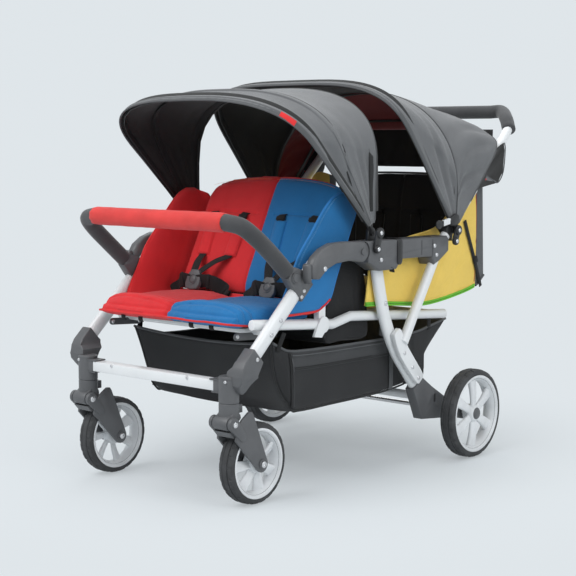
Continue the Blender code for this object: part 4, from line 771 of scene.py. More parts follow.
# %% The four wheels
for side, s in (("left", 1), ("right", -1)):
    front = at(s * FRONT_TRACK / 2, *FRONT_AXLE)
    rear = at(s * REAR_TRACK / 2, *REAR_AXLE)
    keep("front_tyre_tread_" + side, tyre_shape(front, FRONT_R, FRONT_RIM), TYRE, "front_wheel_" + side,
         ("front_tyre_" + side,), 32)
    keep("rear_tyre_tread_" + side, tyre_shape(rear, REAR_R, REAR_RIM), TYRE, "rear_wheel_" + side,
         ("rear_tyre_" + side,), 32)
    keep("front_hub_blades_" + side, hub_shape(front, FRONT_RIM, 7, s, 28, 0.0250, 0.0085), WHEEL,
         "front_wheel_" + side, ("front_hub_" + side,), 40)
    keep("rear_hub_spokes_" + side, hub_shape(rear, REAR_RIM, 6, s, 6, 0.0270, 0.0120), WHEEL,
         "rear_wheel_" + side, ("rear_hub_" + side,), 40)
    cap = [(0.0140, 0.0), (0.0236, 0.0), (0.0234, 0.0080), (0.0222, 0.0130), (0.0195, 0.0156),
           (0.0140, 0.0156)]
    keep("rear_hub_cap_" + side, turned(cap, rear, 40, (s, 0.0, 0.0)), GREY, "rear_wheel_" + side)
print("wheels done")

# %% [markdown]
# ## Frame, with its edges rounded
# The legs, rails, arms, sockets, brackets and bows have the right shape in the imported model, but with
# sharp edges. A copy of each is merged, its flat faces are joined again, and its sharp edges are
# bevelled, because real mouldings and tubes catch the light along a rounded edge.

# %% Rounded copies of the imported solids
CAD = frame["nodes"]


SHARP = math.radians(50.0)


def rounded(name, width, mat):
    bm = bmesh.new()
    bm.from_mesh(CAD[name].data)
    bmesh.ops.remove_doubles(bm, verts=bm.verts, dist=2e-6)
    bmesh.ops.dissolve_limit(bm, angle_limit=math.radians(0.5), use_dissolve_boundaries=False, verts=bm.verts,
                             edges=bm.edges)
    bm.normal_update()
    for face in bm.faces:
        turns = [e.calc_face_angle() for e in face.edges if len(e.link_faces) == 2]
        face.smooth = any(math.radians(1.0) < t < SHARP for t in turns)
    sharp = [e for e in bm.edges if len(e.link_faces) == 2 and e.calc_face_angle() > SHARP]
    made = bmesh.ops.bevel(bm, geom=sharp, offset=width, segments=2, affect="EDGES", profile=0.5,
                           material=-1, clamp_overlap=True)
    for face in made["faces"]:
        face.smooth = True
    mesh = bpy.data.meshes.new(name + "_rounded")
    bm.to_mesh(mesh)
    bm.free()
    obj = linked(name + "_rounded", mesh)
    mesh.materials.append(mat)
    mesh.set_sharp_from_angle(angle=SHARP)
    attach(obj, CAD[name]["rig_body"])
    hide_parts(name)


for side in ("left", "right"):
    for name, width in (("bar_socket_", 0.0012), ("bar_button_", 0.0006), ("armrest_", 0.0020),
                        ("fold_latch_", 0.0012), ("arm_housing_", 0.0016)):
        rounded(name + side, width, GREY)
    rounded("rear_bracket_" + side, 0.0012, GREY)
    rounded("front_leg_" + side, 0.0006, WHITE)
rounded("front_cross_bar", 0.0012, WHITE)
rounded("seat_rails", 0.0010, WHITE)
rounded("rear_cross_tube", 0.0006, WHITE)
rounded("rear_axle", 0.0006, STEEL)
rounded("brake_pedal", 0.0012, GREY)
print("rounded the legs, rails, arms and brackets")

# %% [markdown]
# ## Castors
# A round barrel with a cap stands over the turning head. A slanted sleeve runs from it round the foot of the
# front leg, and two fins hold the cross bar. The fork has broad arms with a shoulder, and a narrower lug
# round the suspension pivot on each side.

# %% Castor housings, heads and forks
STEER_X, STEER_Y = FRONT_TRACK / 2, -0.4460
PIVOT = (-0.4630, 0.2018)
SPLIT_Z, BARREL_TOP, BARREL_R = 0.2460, 0.3070, 0.0235
ARM_IN, AXLE_HALF, SLEEVE_WALL = 0.0242, 0.0352, 0.0045
UP = (0.0, 0.0, 1.0)
SLEEVE_SIDE = [(-0.3857, 0.3356), (-0.4169, 0.3694), (-0.4470, 0.3418), (-0.4555, 0.3275), (-0.4590, 0.3080),
               (-0.4560, 0.2860), (-0.4450, 0.2700), (-0.4330, 0.2650), (-0.4250, 0.2720), (-0.4150, 0.2885),
               (-0.4060, 0.3030)]
ARM_FOOT = [(-0.4120, 0.2230), (-0.4020, 0.2225), (-0.3965, 0.2150)]
ARM_HEAD = [(-0.4550, 0.1620), (-0.4500, 0.1900), (-0.4350, 0.2080)]
BRIDGE = [(-0.4710, 0.1830), (-0.4580, 0.1690), (-0.4330, 0.1770), (-0.4320, 0.1830), (-0.4560, 0.1755),
          (-0.4660, 0.1840)]


def round_arc(centre, radius, start, end, steps):
    """Points on an arc of the side view, with its angles in degrees."""
    angles = [math.radians(start + (end - start) * i / steps) for i in range(steps + 1)]
    return [(centre[0] + radius * math.cos(a), centre[1] + radius * math.sin(a)) for a in angles]


def block(low, high):
    """A box between two corners."""
    return prism([(low[1], low[2]), (high[1], low[2]), (high[1], high[2]), (low[1], high[2])], low[0],
                 high[0])


def castor_housing(s):
    """The barrel with its cap, the sleeve round the leg's foot, and the lug and fins of the cross bar."""
    high = BARREL_TOP - SPLIT_Z
    bm = turned([(0.0, 0.0), (high, 0.0), (high, BARREL_R - 0.0022), (high - 0.0020, BARREL_R + 0.0006),
                 (high - 0.0055, BARREL_R + 0.0006), (high - 0.0062, BARREL_R), (0.0012, BARREL_R),
                 (0.0, BARREL_R - 0.0012)], at(s * STEER_X, STEER_Y, SPLIT_Z), 40, UP)
    inner, outer = s * (FRAME_HALF - LEG_T / 2 - SLEEVE_WALL), s * (LEG_OUT + SLEEVE_WALL)
    sleeve = prism(SLEEVE_SIDE, *sorted((inner, outer)))
    for z in (0.3420, 0.3300, 0.3180, 0.3080, 0.2960, 0.2840):
        cut_along(sleeve, (0.0, 0.0, z), UP)
    for v in sleeve.verts:
        if abs(v.co.x) > FRAME_HALF:
            v.co.x -= s * 0.0200 * ease((0.3080 - v.co.z) / 0.0430)
        else:
            v.co.x -= s * 0.0165 * ease((0.3420 - v.co.z) / 0.0340)
    add(bm, eased(sleeve, 0.0030, 24.0, 3))
    for near, far, deep, low, top in ((0.203, 0.227, 0.0160, 0.2700, 0.2960),
                                      (0.192, 0.229, 0.0175, 0.2954, 0.2986),
                                      (0.196, 0.229, 0.0150, 0.2664, 0.2700)):
        a, b = sorted((s * near, s * far))
        add(bm, eased(block((a, STEER_Y - deep, low), (b, STEER_Y + deep, top)), 0.0010))
    return bm


def swivel_head(s):
    """The turning barrel, the stop block behind it, and the crown that the fork hangs from."""
    low = 0.2090 - SPLIT_Z
    bm = turned([(low, 0.0), (-GAP, 0.0), (-GAP, BARREL_R - 0.0014), (-0.0018, BARREL_R),
                 (low + 0.0050, BARREL_R),
                 (low, BARREL_R - 0.0040)], at(s * STEER_X, STEER_Y, SPLIT_Z), 40, UP)
    crown = round_arc(PIVOT, 0.0165, 95, 335, 18)
    crown += [(-0.4290, 0.2110), (-0.4310, 0.2200), (-0.4400, 0.2250), (-0.4570, 0.2240)]
    add(bm, eased(prism(crown, s * STEER_X - 0.0222, s * STEER_X + 0.0222), 0.0022))
    for half, back, base, top in ((0.0090, 0.0355, 0.2200, 0.2390), (0.0110, 0.0290, 0.2270, 0.2300)):
        corner = (s * STEER_X + half, STEER_Y + back, top)
        add(bm, eased(block((s * STEER_X - half, STEER_Y + 0.0150, base), corner), 0.0010))
    return bm


def castor_fork(s):
    """Two broad arms with their pivot lugs, the saddle between them, and the axle."""
    broad = ARM_FOOT + round_arc(FRONT_AXLE, 0.0190, 20, -132, 14) + ARM_HEAD
    lug = round_arc(PIVOT, 0.0155, 42, 222, 14) + round_arc((-0.4340, 0.1695), 0.0110, 222, 402, 10)
    bm = prism(BRIDGE, s * STEER_X - 0.0245, s * STEER_X + 0.0245)
    for way in (1, -1):
        inner, thin, full = (s * STEER_X + way * (ARM_IN + more) for more in (0.0, 0.0066, 0.0090))
        add(bm, eased(prism(broad, *sorted((inner, thin))), 0.0014))
        add(bm, eased(prism(lug, *sorted((inner, full))), 0.0014))
        add(bm, disc(*sorted((way * ARM_IN, way * AXLE_HALF)), 0.0062, at(s * STEER_X, *PIVOT), 24))
        add(bm, disc(*sorted((way * ARM_IN, way * 0.0330)), 0.0120, at(s * STEER_X, *FRONT_AXLE), 28))
    add(bm, disc(-AXLE_HALF, AXLE_HALF, 0.0060, at(s * STEER_X, *FRONT_AXLE), 20))
    return bm


for side, s in (("left", 1), ("right", -1)):
    for shape, stem in ((castor_housing, "castor_housing_"), (swivel_head, "swivel_head_"),
                        (castor_fork, "castor_fork_")):
        keep(stem + "body_" + side, shape(s), GREY, CAD[stem + side]["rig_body"],
             (stem + side,), 35)
print("castors at", [round(v, 4) for v in at(STEER_X, STEER_Y, SPLIT_Z)])

# %% [markdown]
# ## Bent tubes
# The rear legs and the push handle are bent tubes, so they are swept again along a smooth curve, with
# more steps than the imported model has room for. The handle's foot is a flat plate along the rear leg.

# %% Rear legs and push handle
FOLD = (0.0880, 0.3960)
REAR_LINE = [(0.0480, 0.5280), (0.0700, 0.4400), (0.0950, 0.3700), (0.1350, 0.3000), (0.1850, 0.2420),
             (0.2330, 0.1880)]
HANDLE_FOOT, HANDLE_KNEE = (0.1350, 0.3250), (0.2880, 0.5600)
HANDLE_BEND, HANDLE_TOP = (0.6480, 0.8900), (0.6930, 0.9120)
for side, s in (("left", 1), ("right", -1)):
    line = [at(s * FRAME_HALF, y, z) for y, z in REAR_LINE]
    leg = swept(curve(line, 7), flat_oval(LEG_T, LEG_W, 7), side=(s, 0.0, 0.0))
    low, high = sorted((s * 0.2563, s * 0.2660))
    add(leg, disc(0.0, high - low, 0.012, at(low, *FOLD), 24))
    keep("rear_leg_tube_" + side, leg, WHITE, "rear_frame", ("rear_leg_" + side,), 40)

corner = [share(HANDLE_KNEE, HANDLE_BEND, 0.80), share(HANDLE_KNEE, HANDLE_BEND, 0.93)]
side_line = [(HANDLE_X, *HANDLE_FOOT), (HANDLE_X, *share(HANDLE_FOOT, HANDLE_KNEE, 0.80)),
             (HANDLE_X, *share(HANDLE_FOOT, HANDLE_KNEE, 0.93)), (HANDLE_X, *HANDLE_KNEE),
             (HANDLE_X, *share(HANDLE_KNEE, HANDLE_BEND, 0.09)), (HANDLE_X, *corner[0])]
round_line = [(HANDLE_X, *corner[0]), (HANDLE_X - 0.004, *corner[1]), (HANDLE_X - 0.026, *HANDLE_BEND),
              (HANDLE_X - 0.070, *HANDLE_TOP), (HANDLE_X - 0.110, *HANDLE_TOP)]
half_line = [at(*p) for p in side_line[:2]] + curve([at(*p) for p in side_line[2:5]], 5)
half_line += curve([at(*p) for p in round_line], 6)
handle_line = half_line + mirrored(half_line)
tube = swept(handle_line, flat_oval(0.024, 0.028, 7), side=(1.0, 0.0, 0.0))


def foot_plate():
    """The handle's flat foot: a long plate with round ends, lying on the outside of the rear leg."""
    path = [(0.1060, 0.3560, 0.012), (0.1100, 0.3500, 0.016), (0.1200, 0.3300, 0.0185),
            (0.1400, 0.2980, 0.0192), (0.1700, 0.2640, 0.0190), (0.1980, 0.2340, 0.0182),
            (0.2080, 0.2230, 0.0165), (0.2130, 0.2170, 0.0120)]
    left, right = [], []
    for i, (y, z, half) in enumerate(path):
        before, after = path[max(i - 1, 0)], path[min(i + 1, len(path) - 1)]
        d = Vector((after[0] - before[0], after[1] - before[1])).normalized()
        left.append((y - d.y * half, z + d.x * half))
        right.append((y + d.y * half, z - d.x * half))
    return left + list(reversed(right))


for s in (1, -1):
    low, high = sorted((s * (LEG_OUT + 0.0022), s * (HANDLE_X + 0.0030)))
    plate = eased(prism(foot_plate(), low, high), 0.0018, 40)
    add(tube, plate)
keep("push_handle_tube", tube, WHITE, "rear_frame", ("push_handle",), 40)

# %% [markdown]
# ## Foam grip and bumper bar
# The grip is charcoal foam on the handle's top, with a rounded end on each side. The bumper bar has the
# same foam with a plain black collar at each foot, and a red textile sleeve over its straight front.
# The sleeve is a flat grid that is wrapped round the bar. Its radius wanders a little, because cloth on
# foam never lies quite flat.

# %% Grip, bumper bar and sleeve
GRIP_R, FOAM_R, SLEEVE_R = 0.0185, 0.0195, 0.0232
start = share(HANDLE_KNEE, HANDLE_BEND, 0.932)
grip_line = [(HANDLE_X - 0.004, *start), (HANDLE_X - 0.026, *HANDLE_BEND), (HANDLE_X - 0.070, *HANDLE_TOP),
             (HANDLE_X - 0.110, *HANDLE_TOP), (0.0, *HANDLE_TOP)]
half_grip = curve([at(*p) for p in grip_line[:4]], 8) + [at(*grip_line[4])]
grip_path = half_grip[:-1] + mirrored(half_grip)
first, last = (grip_path[0] - grip_path[1]).normalized(), (grip_path[-1] - grip_path[-2]).normalized()
grip_path = [grip_path[0] + first * 0.012, grip_path[0] + first * 0.010] + grip_path
grip_path += [grip_path[-1] + last * 0.010, grip_path[-1] + last * 0.012]
sizes = [0.90, 1.0] + [1.0] * (len(grip_path) - 4) + [1.0, 0.90]
keep("handle_foam", swept(grip_path, ring(GRIP_R, 28), sizes=sizes), FOAM, "rear_frame",
     ("handle_grip",), 50)

BAR_FOOT, BAR_FRONT = (-0.2880, 0.5300), (-0.4340, 0.6490)
rise = Vector((0.0, -0.7700, 0.6380))
rise = Vector((0.0, *(rise.yz / rise.yz.length)))
foot = at(FRAME_HALF, *BAR_FOOT)
elbow = [foot + rise * 0.004, foot + rise * 0.040, foot + rise * 0.080,
         at(FRAME_HALF - 0.004, *share(BAR_FOOT, BAR_FRONT, 0.72)),
         at(FRAME_HALF - 0.018, *share(BAR_FOOT, BAR_FRONT, 0.93)), at(0.2180, *BAR_FRONT)]
half_bar = curve(elbow, 6)
bar_line = half_bar + mirrored(half_bar)
bar = swept(bar_line, ring(FOAM_R, 28), side=(1.0, 0.0, 0.0))
collars = bmesh.new()
for s in (1, -1):
    base = Vector((s * foot.x, foot.y, foot.z))
    profile = [(-0.0095, 0.0088), (0.0010, 0.0088), (0.0010, 0.0150), (0.0022, 0.0176), (0.0060, 0.0190),
               (0.0062, 0.0), (-0.0095, 0.0)]
    add(collars, turned(profile, base, 32, rise))
keep("bumper_foam", bar, FOAM, "bumper", ("bumper_bar",), 50)
keep("bumper_collars", collars, BLACK, "bumper")

bm = bmesh.new()
steps, around = 120, 40
bmesh.ops.create_grid(bm, x_segments=steps, y_segments=around, size=1.0)
uv = bm.loops.layers.uv.new("UVMap")
for face in bm.faces:
    for loop in face.loops:
        loop[uv].uv = (loop.vert.co.x * 0.217, loop.vert.co.y * 0.0725)
for vert in bm.verts:
    t, turn = vert.co.x, math.pi * vert.co.y
    x = t * 0.2172
    end = max(0.0, abs(t) - 0.94) / 0.06
    soft = wander(x * 38.0, math.cos(turn) * 1.4, math.sin(turn) * 1.4)
    fold = wander(x * 14.0 + 3.0 * math.cos(turn), math.sin(turn) * 0.9, 5.0)
    gather = 0.0007 * math.sin(turn * 9.0 + 4.0 * t) * end
    r = SLEEVE_R - 0.0012 + 0.0007 * soft + 0.0010 * fold - 0.0022 * end ** 2 + gather
    vert.co = at(x, BAR_FRONT[0], BAR_FRONT[1]) + Vector((0.0, math.cos(turn) * r, math.sin(turn) * r))
bmesh.ops.remove_doubles(bm, verts=bm.verts, dist=1e-5)
bmesh.ops.recalc_face_normals(bm, faces=bm.faces)
sleeve = keep("bumper_sleeve_cloth", bm, SLEEVE, "bumper", ("bumper_sleeve",), 180,
              outwards=False)
walled(sleeve, 0.0012, -1.0)
print("handle, grip and bumper bar done")

# %% [markdown]
# ## Canopies
# Each canopy is one sheet of charcoal cloth over three bows that turn about one pivot on each side. The
# sheet starts as a flat grid. Every point is placed on an arch, which is worked out from a row of bow
# shapes, and is then drawn in by soft folds. A Solidify modifier gives the thickness, and because the two
# faces of the sheet have different materials, the inner face takes a near-black cloth that is painted shade.
# On the rear canopy's rear part the inner face is red, darkened as painted shade.

# %% Canopy shapes
F_PIVOT, R_PIVOT = (0.0020, 0.6090), (0.3350, 0.6000)
F_CLOTH_X, R_CLOTH_X = 0.3039, 0.3174
F_TOP, R_TOP = (F_PIVOT, F_CLOTH_X), (R_PIVOT, R_CLOTH_X)
CLOTH_FOOT, BAND_FOOT, HEM_FOOT, FLAP_FOOT = 0.024, 0.052, 0.030, 0.10
COLUMNS, ROWS = 132, 60
F_ARCHES = [(41.9, 0.474, 2.8, 0.29), (44.1, 0.470, 2.8, 0.29), (49.9, 0.433, 2.75, 0.258),
            (55.7, 0.411, 2.7, 0.23), (57.7, 0.410, 2.7, 0.23), (66.0, 0.373, 2.65, 0.20),
            (76.0, 0.356, 2.6, 0.175), (91.5, 0.353, 2.6, 0.16)]
R_ARCHES = [(50.1, 0.484, 3.7, 0.27), (52.3, 0.480, 3.7, 0.27), (65.0, 0.408, 3.0, 0.22),
            (79.0, 0.372, 2.5, 0.15), (91.4, 0.365, 2.1, 0.10), (93.4, 0.365, 2.1, 0.10),
            (109.0, 0.356, 2.4, 0.17), (125.0, 0.360, 3.4, 0.20), (133.0, 0.360, 4.0, 0.22)]
SIDE_SHARE = 0.42


def arch_point(pivot, side, foot, arch, u):
    """Place on an arch. u is -1 at one foot, 0 at the top and 1 at the other foot."""
    angle, reach, square, low = arch
    a, t, hand = math.radians(angle), 1.0 - abs(u), (1.0 if u >= 0 else -1.0)
    if t < SIDE_SHARE:
        x, r = side, foot + (low - foot) * t / SIDE_SHARE
    else:
        turn = math.pi / 2 * (t - SIDE_SHARE) / (1.0 - SIDE_SHARE)
        x = side * max(0.0, math.cos(turn)) ** (2.0 / square)
        r = low + (reach - low) * math.sin(turn) ** (2.0 / square)
    return at(hand * x, pivot[0] - r * math.cos(a), pivot[1] + r * math.sin(a))


def arch_between(arches, v):
    """The arch a part v of the way along a row of arches, on a smooth curve through them."""
    spot = min(0.999999, max(0.0, v)) * (len(arches) - 1)
    i, t = int(spot), spot - int(spot)
    b, c = arches[i], arches[i + 1]
    a = arches[i - 1] if i else tuple(2 * p - q for p, q in zip(b, c))
    d = arches[i + 2] if i + 2 < len(arches) else tuple(2 * q - p for p, q in zip(b, c))
    return tuple(0.5 * (2 * q + (r - p) * t + (2 * p - 5 * q + 4 * r - s) * t * t
                        + (3 * q - p - 3 * r + s) * t ** 3) for p, q, r, s in zip(a, b, c, d))


def canopy(name, pivot, side, arches, fold, finishes, back_from):
    """The cloth of a canopy. fold says how far a point of it is drawn in, in metres."""
    bm = bmesh.new()
    bmesh.ops.create_grid(bm, x_segments=COLUMNS, y_segments=ROWS, size=1.0)
    uv = bm.loops.layers.uv.new("UVMap")
    spots = {}
    for face in bm.faces:
        middle = (face.calc_center_median().y + 1.0) / 2.0
        face.material_index = 2 if arch_between(arches, middle)[0] > back_from else 0
        for loop in face.loops:
            loop[uv].uv = (loop.vert.co.x * 0.62, loop.vert.co.y * 0.20)
    for vert in bm.verts:
        u = vert.co.x
        spots[vert] = (u, arch_between(arches, (vert.co.y + 1.0) / 2.0))
        vert.co = arch_point(pivot, side, CLOTH_FOOT, spots[vert][1], u)
    bmesh.ops.recalc_face_normals(bm, faces=bm.faces)
    bm.normal_update()
    top = max(bm.verts, key=lambda w: w.co.z)
    if top.normal.z < 0:
        bmesh.ops.reverse_faces(bm, faces=bm.faces)
        bm.normal_update()
    moves = {vert: vert.normal * -fold(*spots[vert], vert.co) for vert in bm.verts}
    for vert, move in moves.items():
        move.x *= 1.0 if abs(spots[vert][0]) > 0.55 else 0.6
        vert.co += move
    angles = [spots[vert][1][0] for vert in bm.verts]
    obj = keep(name, bm, finishes, None, smooth=180, outwards=False)
    walled(obj, 0.0016, -1.0, 1)
    return obj, angles


def between(value, low, high):
    """0 at both ends of a span and 1 in its middle."""
    t = (value - low) / (high - low)
    return math.sin(math.pi * t) if 0.0 < t < 1.0 else 0.0


def near_line(y, z, a, b):
    """How far a point of the side view is from a line from a to b."""
    p, d = Vector((y - a[0], z - a[1])), Vector((b[0] - a[0], b[1] - a[1]))
    t = min(1.0, max(0.0, p.dot(d) / d.dot(d)))
    return (p - d * t).length


def front_fold(u, arch, place):
    angle, t = arch[0], 1.0 - abs(u)
    y, z = place.y - HALF_WAY, place.z
    gap = between(angle, 44.5, 55.5) + between(angle, 58.0, 90.0)
    drape = 0.0035 * gap * ease(t * 2.2)
    streak = 0.5 + 0.5 * math.sin(angle * 0.62 + 3.5 * t + 2.4 * wander(t * 2.0, angle * 0.05, 3.0))
    soft = 0.0030 * gap * streak * between(t, 0.02, 0.80)
    ripple = 0.0016 * gap * (0.5 + 0.5 * wander(u * 5.0, angle * 0.11, 9.0))
    crease = 0.0
    if u > 0:
        crease = 0.0030 * math.exp(-(near_line(y, z, (-0.128, 0.850), (-0.094, 0.735)) / 0.0055) ** 2)
        crease += 0.0018 * math.exp(-(near_line(y, z, (-0.170, 0.790), (-0.094, 0.728)) / 0.0080) ** 2)
    return drape + soft + ripple + crease


def rear_fold(u, arch, place):
    angle, t = arch[0], 1.0 - abs(u)
    front, back = between(angle, 53.0, 91.0), between(angle, 94.0, 131.0)
    drape = 0.0050 * front * ease(t * 2.0) + 0.0030 * back
    streak = 0.5 + 0.5 * math.sin(angle * 0.36 + 5.2 * t + 2.6 * wander(t * 2.2, angle * 0.04, 1.0))
    soft = 0.0060 * front * streak ** 1.6 * between(t, 0.0, 0.85)
    ridge = math.sin(t * 46.0 - (angle - 92.0) * 0.085 + 2.2 * wander(t * 3.0, angle * 0.05, 6.0))
    pulled = 0.0085 * back ** 0.6 * (0.5 + 0.5 * ridge) ** 1.5 * between(t, 0.16, 0.80)
    ripple = 0.0018 * (front + back) * (0.5 + 0.5 * wander(u * 6.0, angle * 0.10, 14.0))
    return drape + soft + pulled + ripple


# %% [markdown]
# The cloth opens like a fan. On a fan, the share has to depend on the angle about the pivot instead, or
# the cloth would leave its bows near the pivots. Each point's share is worked out from its angle: 0 at the
# fixed bow, the middle bow's own share there, and 1 at the front bow. The shares are not used further,
# and the sheet rides on no body.

# %% Canopy cloth
def turn_share(angle, back, middle, share_there, front):
    """0 at the fixed bow, a given share at the middle bow and 1 at the front bow."""
    if angle >= middle:
        return share_there * min(1.0, max(0.0, (back - angle) / (back - middle)))
    return share_there + (1.0 - share_there) * min(1.0, max(0.0, (middle - angle) / (middle - front)))


def fan(obj, body, angles, *bows):
    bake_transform(obj)
    shares = [turn_share(angle, *bows) for angle in angles]


# The inner faces take painted shade; on the rear canopy's rear part it is red, darkened as painted shade.
front_cloth, angles = canopy("front_canopy_sheet", *F_TOP, F_ARCHES, front_fold,
                             [CHARCOAL, CANOPY_INSIDE_SHADE, CHARCOAL, CANOPY_INSIDE_SHADE], 200.0)
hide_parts("front_canopy_cloth")
fan(front_cloth, "front_canopy_lead", angles, 90.3, 56.5, 0.75, 43.3)
rear_cloth, angles = canopy("rear_canopy_sheet", *R_TOP, R_ARCHES, rear_fold,
                            [CHARCOAL, CANOPY_INSIDE_SHADE, CHARCOAL, RED_INSIDE_PAINTED_SHADE], 92.4)
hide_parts("rear_canopy_cloth")
fan(rear_cloth, "rear_canopy_lead", angles, 125.5, 92.4, 0.50, 51.5)
print("canopy cloths", len(front_cloth.data.vertices), len(rear_cloth.data.vertices))

# %% [markdown]
# The bows are flat black strips, with an eye round the pivot pin at each end. A black band of cloth
# holds each to the sheet from inside. Along the front edge the cloth is folded round a cord and bound,
# and a thin black cord behind the binding is painted shade, where the groove there would be dark.

# %% Bows, bands and bindings
for name in ("front_canopy_front", "front_canopy_mid", "rear_canopy_front", "rear_canopy_mid"):
    rounded(name + "_bow", 0.0005, BLACK)
rounded("front_canopy_base", 0.0012, BLACK)
rounded("rear_canopy_base", 0.0010, BLACK)


def arch_strip(name, top, arch, section, mat, body, foot=HEM_FOOT, down=0.0, wider=0.0):
    """A strip along an arch, with its width along the way that the cloth runs."""
    angle, far, square, low = arch
    pivot, side = top
    shape, out, steps = (angle, far - down, square, low), side + wider - down * 0.6, 72
    path = [arch_point(pivot, out, foot, shape, 1 - 2 * i / steps) for i in range(steps + 1)]
    a = math.radians(angle)
    along = (0.0, math.sin(a), math.cos(a))
    return keep(name, swept(path, section, side=along), mat, body, smooth=50)


for name, top, arch, wide, body, down in (
        ("front_canopy_front_band", F_TOP, (44.6, 0.468, 2.8, 0.29), 0.026, "front_canopy_lead", 0.0044),
        ("front_canopy_mid_band", F_TOP, (57.5, 0.409, 2.7, 0.23), 0.024, "front_canopy_middle", 0.0064),
        ("front_canopy_back_band", F_TOP, (88.6, 0.353, 2.6, 0.16), 0.034, "rear_frame", 0.0030),
        ("rear_canopy_front_band", R_TOP, (53.0, 0.477, 3.7, 0.27), 0.026, "rear_canopy_lead", 0.0044),
        ("rear_canopy_mid_band", R_TOP, (92.4, 0.365, 2.1, 0.10), 0.022, "rear_canopy_middle", 0.0064)):
    arch_strip(name, top, arch, slab(wide, 0.0016), BAND, body, BAND_FOOT, down)
for row, top, arch in (("front", F_TOP, F_ARCHES[0]), ("rear", R_TOP, R_ARCHES[0])):
    angle, far, square, low = arch
    for label, past, lower, section, mat, wider in (
            ("_canopy_edge_cord", -0.1, -0.0006, ring(0.0022, 10), CHARCOAL_EDGE, 0.0),
            ("_canopy_binding", 0.85, 0.0008, slab(0.0125, 0.0016), CHARCOAL_EDGE, 0.0007),
            # The thin black cord is painted shade along the groove behind the binding.
            ("_canopy_groove", 1.75, 0.0026, ring(0.0007, 6), BAND, 0.0003)):
        arch_strip(row + label, top, (angle + past, far - lower, square, low), section, mat,
                   row + "_canopy_lead",
                   wider=wider)
arch_strip("front_canopy_rear_hem", F_TOP, (91.5, 0.3532, 2.6, 0.16), ring(0.0016, 8), CHARCOAL_EDGE,
           "rear_frame")
print("bows and bands done")

# %% [markdown]
# A plain red tag is folded over the front canopy's binding at the children's left. The rear canopy has a
# seam over its middle bow, and a hem along its rear edge. Behind that a flap closes each side down to
# the handle tube, and a curtain hangs between the tubes, coloured near-black as painted shade.

# %% Tag, seams, flaps and curtain
tag_path = [arch_point(F_PIVOT, F_CLOTH_X + 0.0020, 0.03, (42.75, 0.4745, 2.8, 0.29), 0.435 - 0.0085 * i)
            for i in range(11)]
a = math.radians(42.6)
keep("plain_tag", swept(tag_path, slab(0.0150, 0.0012), side=(0.0, math.sin(a), math.cos(a))), RED_EDGE,
     "front_canopy_lead")
arch_strip("rear_canopy_seam", R_TOP, (92.6, 0.3652, 2.1, 0.10), slab(0.0050, 0.0010), CHARCOAL_EDGE,
           "rear_canopy_middle", wider=0.0002)
arch_strip("front_canopy_seam", F_TOP, (57.0, 0.4102, 2.7, 0.23), slab(0.0030, 0.0006), CHARCOAL_EDGE,
           "front_canopy_middle", wider=0.0002)
arch_strip("rear_canopy_hem", R_TOP, (133.0, 0.3602, 4.0, 0.22), ring(0.0018, 8), CHARCOAL_EDGE, "rear_frame",
           FLAP_FOOT)


def cloth_grid(columns, rows, size, place):
    """A sheet from a flat grid, with a UV map in metres. place takes u and v from 0 to 1."""
    bm = bmesh.new()
    bmesh.ops.create_grid(bm, x_segments=columns, y_segments=rows, size=1.0)
    uv = bm.loops.layers.uv.new("UVMap")
    for face in bm.faces:
        for loop in face.loops:
            loop[uv].uv = ((loop.vert.co.x + 1) / 2 * size[0], (loop.vert.co.y + 1) / 2 * size[1])
    for vert in bm.verts:
        vert.co = place((vert.co.x + 1.0) / 2.0, (vert.co.y + 1.0) / 2.0)
    return bm


def cloth_sheet(name, columns, rows, size, place, finishes, body, thick=0.0016):
    obj = keep(name, cloth_grid(columns, rows, size, place), finishes, body, smooth=180)
    walled(obj, thick, 0.0, 1 if len(obj.data.materials) > 1 else 0)
    return obj


def curtain(u, v):
    x = (u * 2 - 1) * 0.2735
    fall = 0.0035 * (1 - v) * math.sin(u * 44.0 + 2.0 * wander(u * 5.0, v * 2.0, 2.0))
    return at(x, 0.5745 + fall - 0.004 * bump(u * 2 - 1) * bump(v * 2 - 1), 0.757 + 0.105 * v)


# A back panel whose near-black colour is painted shade.
cloth_sheet("rear_curtain", 110, 26, (0.560, 0.112), curtain, CURTAIN_PAINTED_SHADE, "rear_frame")
for side, s in (("left", 1), ("right", -1)):
    def flap(u, v):
        a = arch_point(R_PIVOT, R_CLOTH_X - 0.0006, FLAP_FOOT, R_ARCHES[-1], s * (0.965 - 0.47 * u))
        lower = [(0.471, 0.743), (0.540, 0.719), (0.566, 0.748), (0.574, 0.806), (0.570, 0.826)]
        spot = u * 3.9999
        p = share(lower[int(spot)], lower[int(spot) + 1], spot - int(spot))
        b = at(s * (0.3150 - 0.0030 * u), *p)
        here = a.lerp(b, v)
        here.x -= s * (0.0045 * math.sin(math.pi * v) * (0.6 + 0.4 * math.sin(u * 17.0)) + 0.0010 * v)
        return here

    # The flap's inner face is near-black painted shade.
    cloth_sheet("rear_side_flap_" + side, 40, 22, (0.150, 0.105), flap, [CHARCOAL, CANOPY_INSIDE_SHADE], "rear_frame")
    trim = [at(s * 0.3142, *p) for p in ((0.4690, 0.7450), (0.4870, 0.7370), (0.5120, 0.7270),
                                         (0.5400, 0.7190),
                                        (0.5660, 0.7480), (0.5745, 0.8060), (0.5700, 0.8260))]
    keep("rear_flap_hem_" + side, swept(curve(trim, 5), ring(0.0015, 8)), CHARCOAL_EDGE, "rear_frame")
    patch = prism([(0.4710, 0.7420), (0.4920, 0.7345), (0.4790, 0.7250)], *sorted((s * 0.3120, s * 0.3134)))
    keep("red_corner_" + side, eased(patch, 0.0004), RED_EDGE, "rear_frame")
print("canopies done")

# %% [markdown]
# ## Stuffed pieces
# The seat cushions and the backrests are stuffed cloth. Each starts from a closed grid of points that
# a formula places, a little thinner than the finished cushion. A copy of it is remeshed evenly and blown
# up with Blender's cloth and a little pressure, so that it swells between its edges as a real pad does.
# How far a point may move is capped. Seams and sewn channels come after that, because the remesh would
# rub them out.

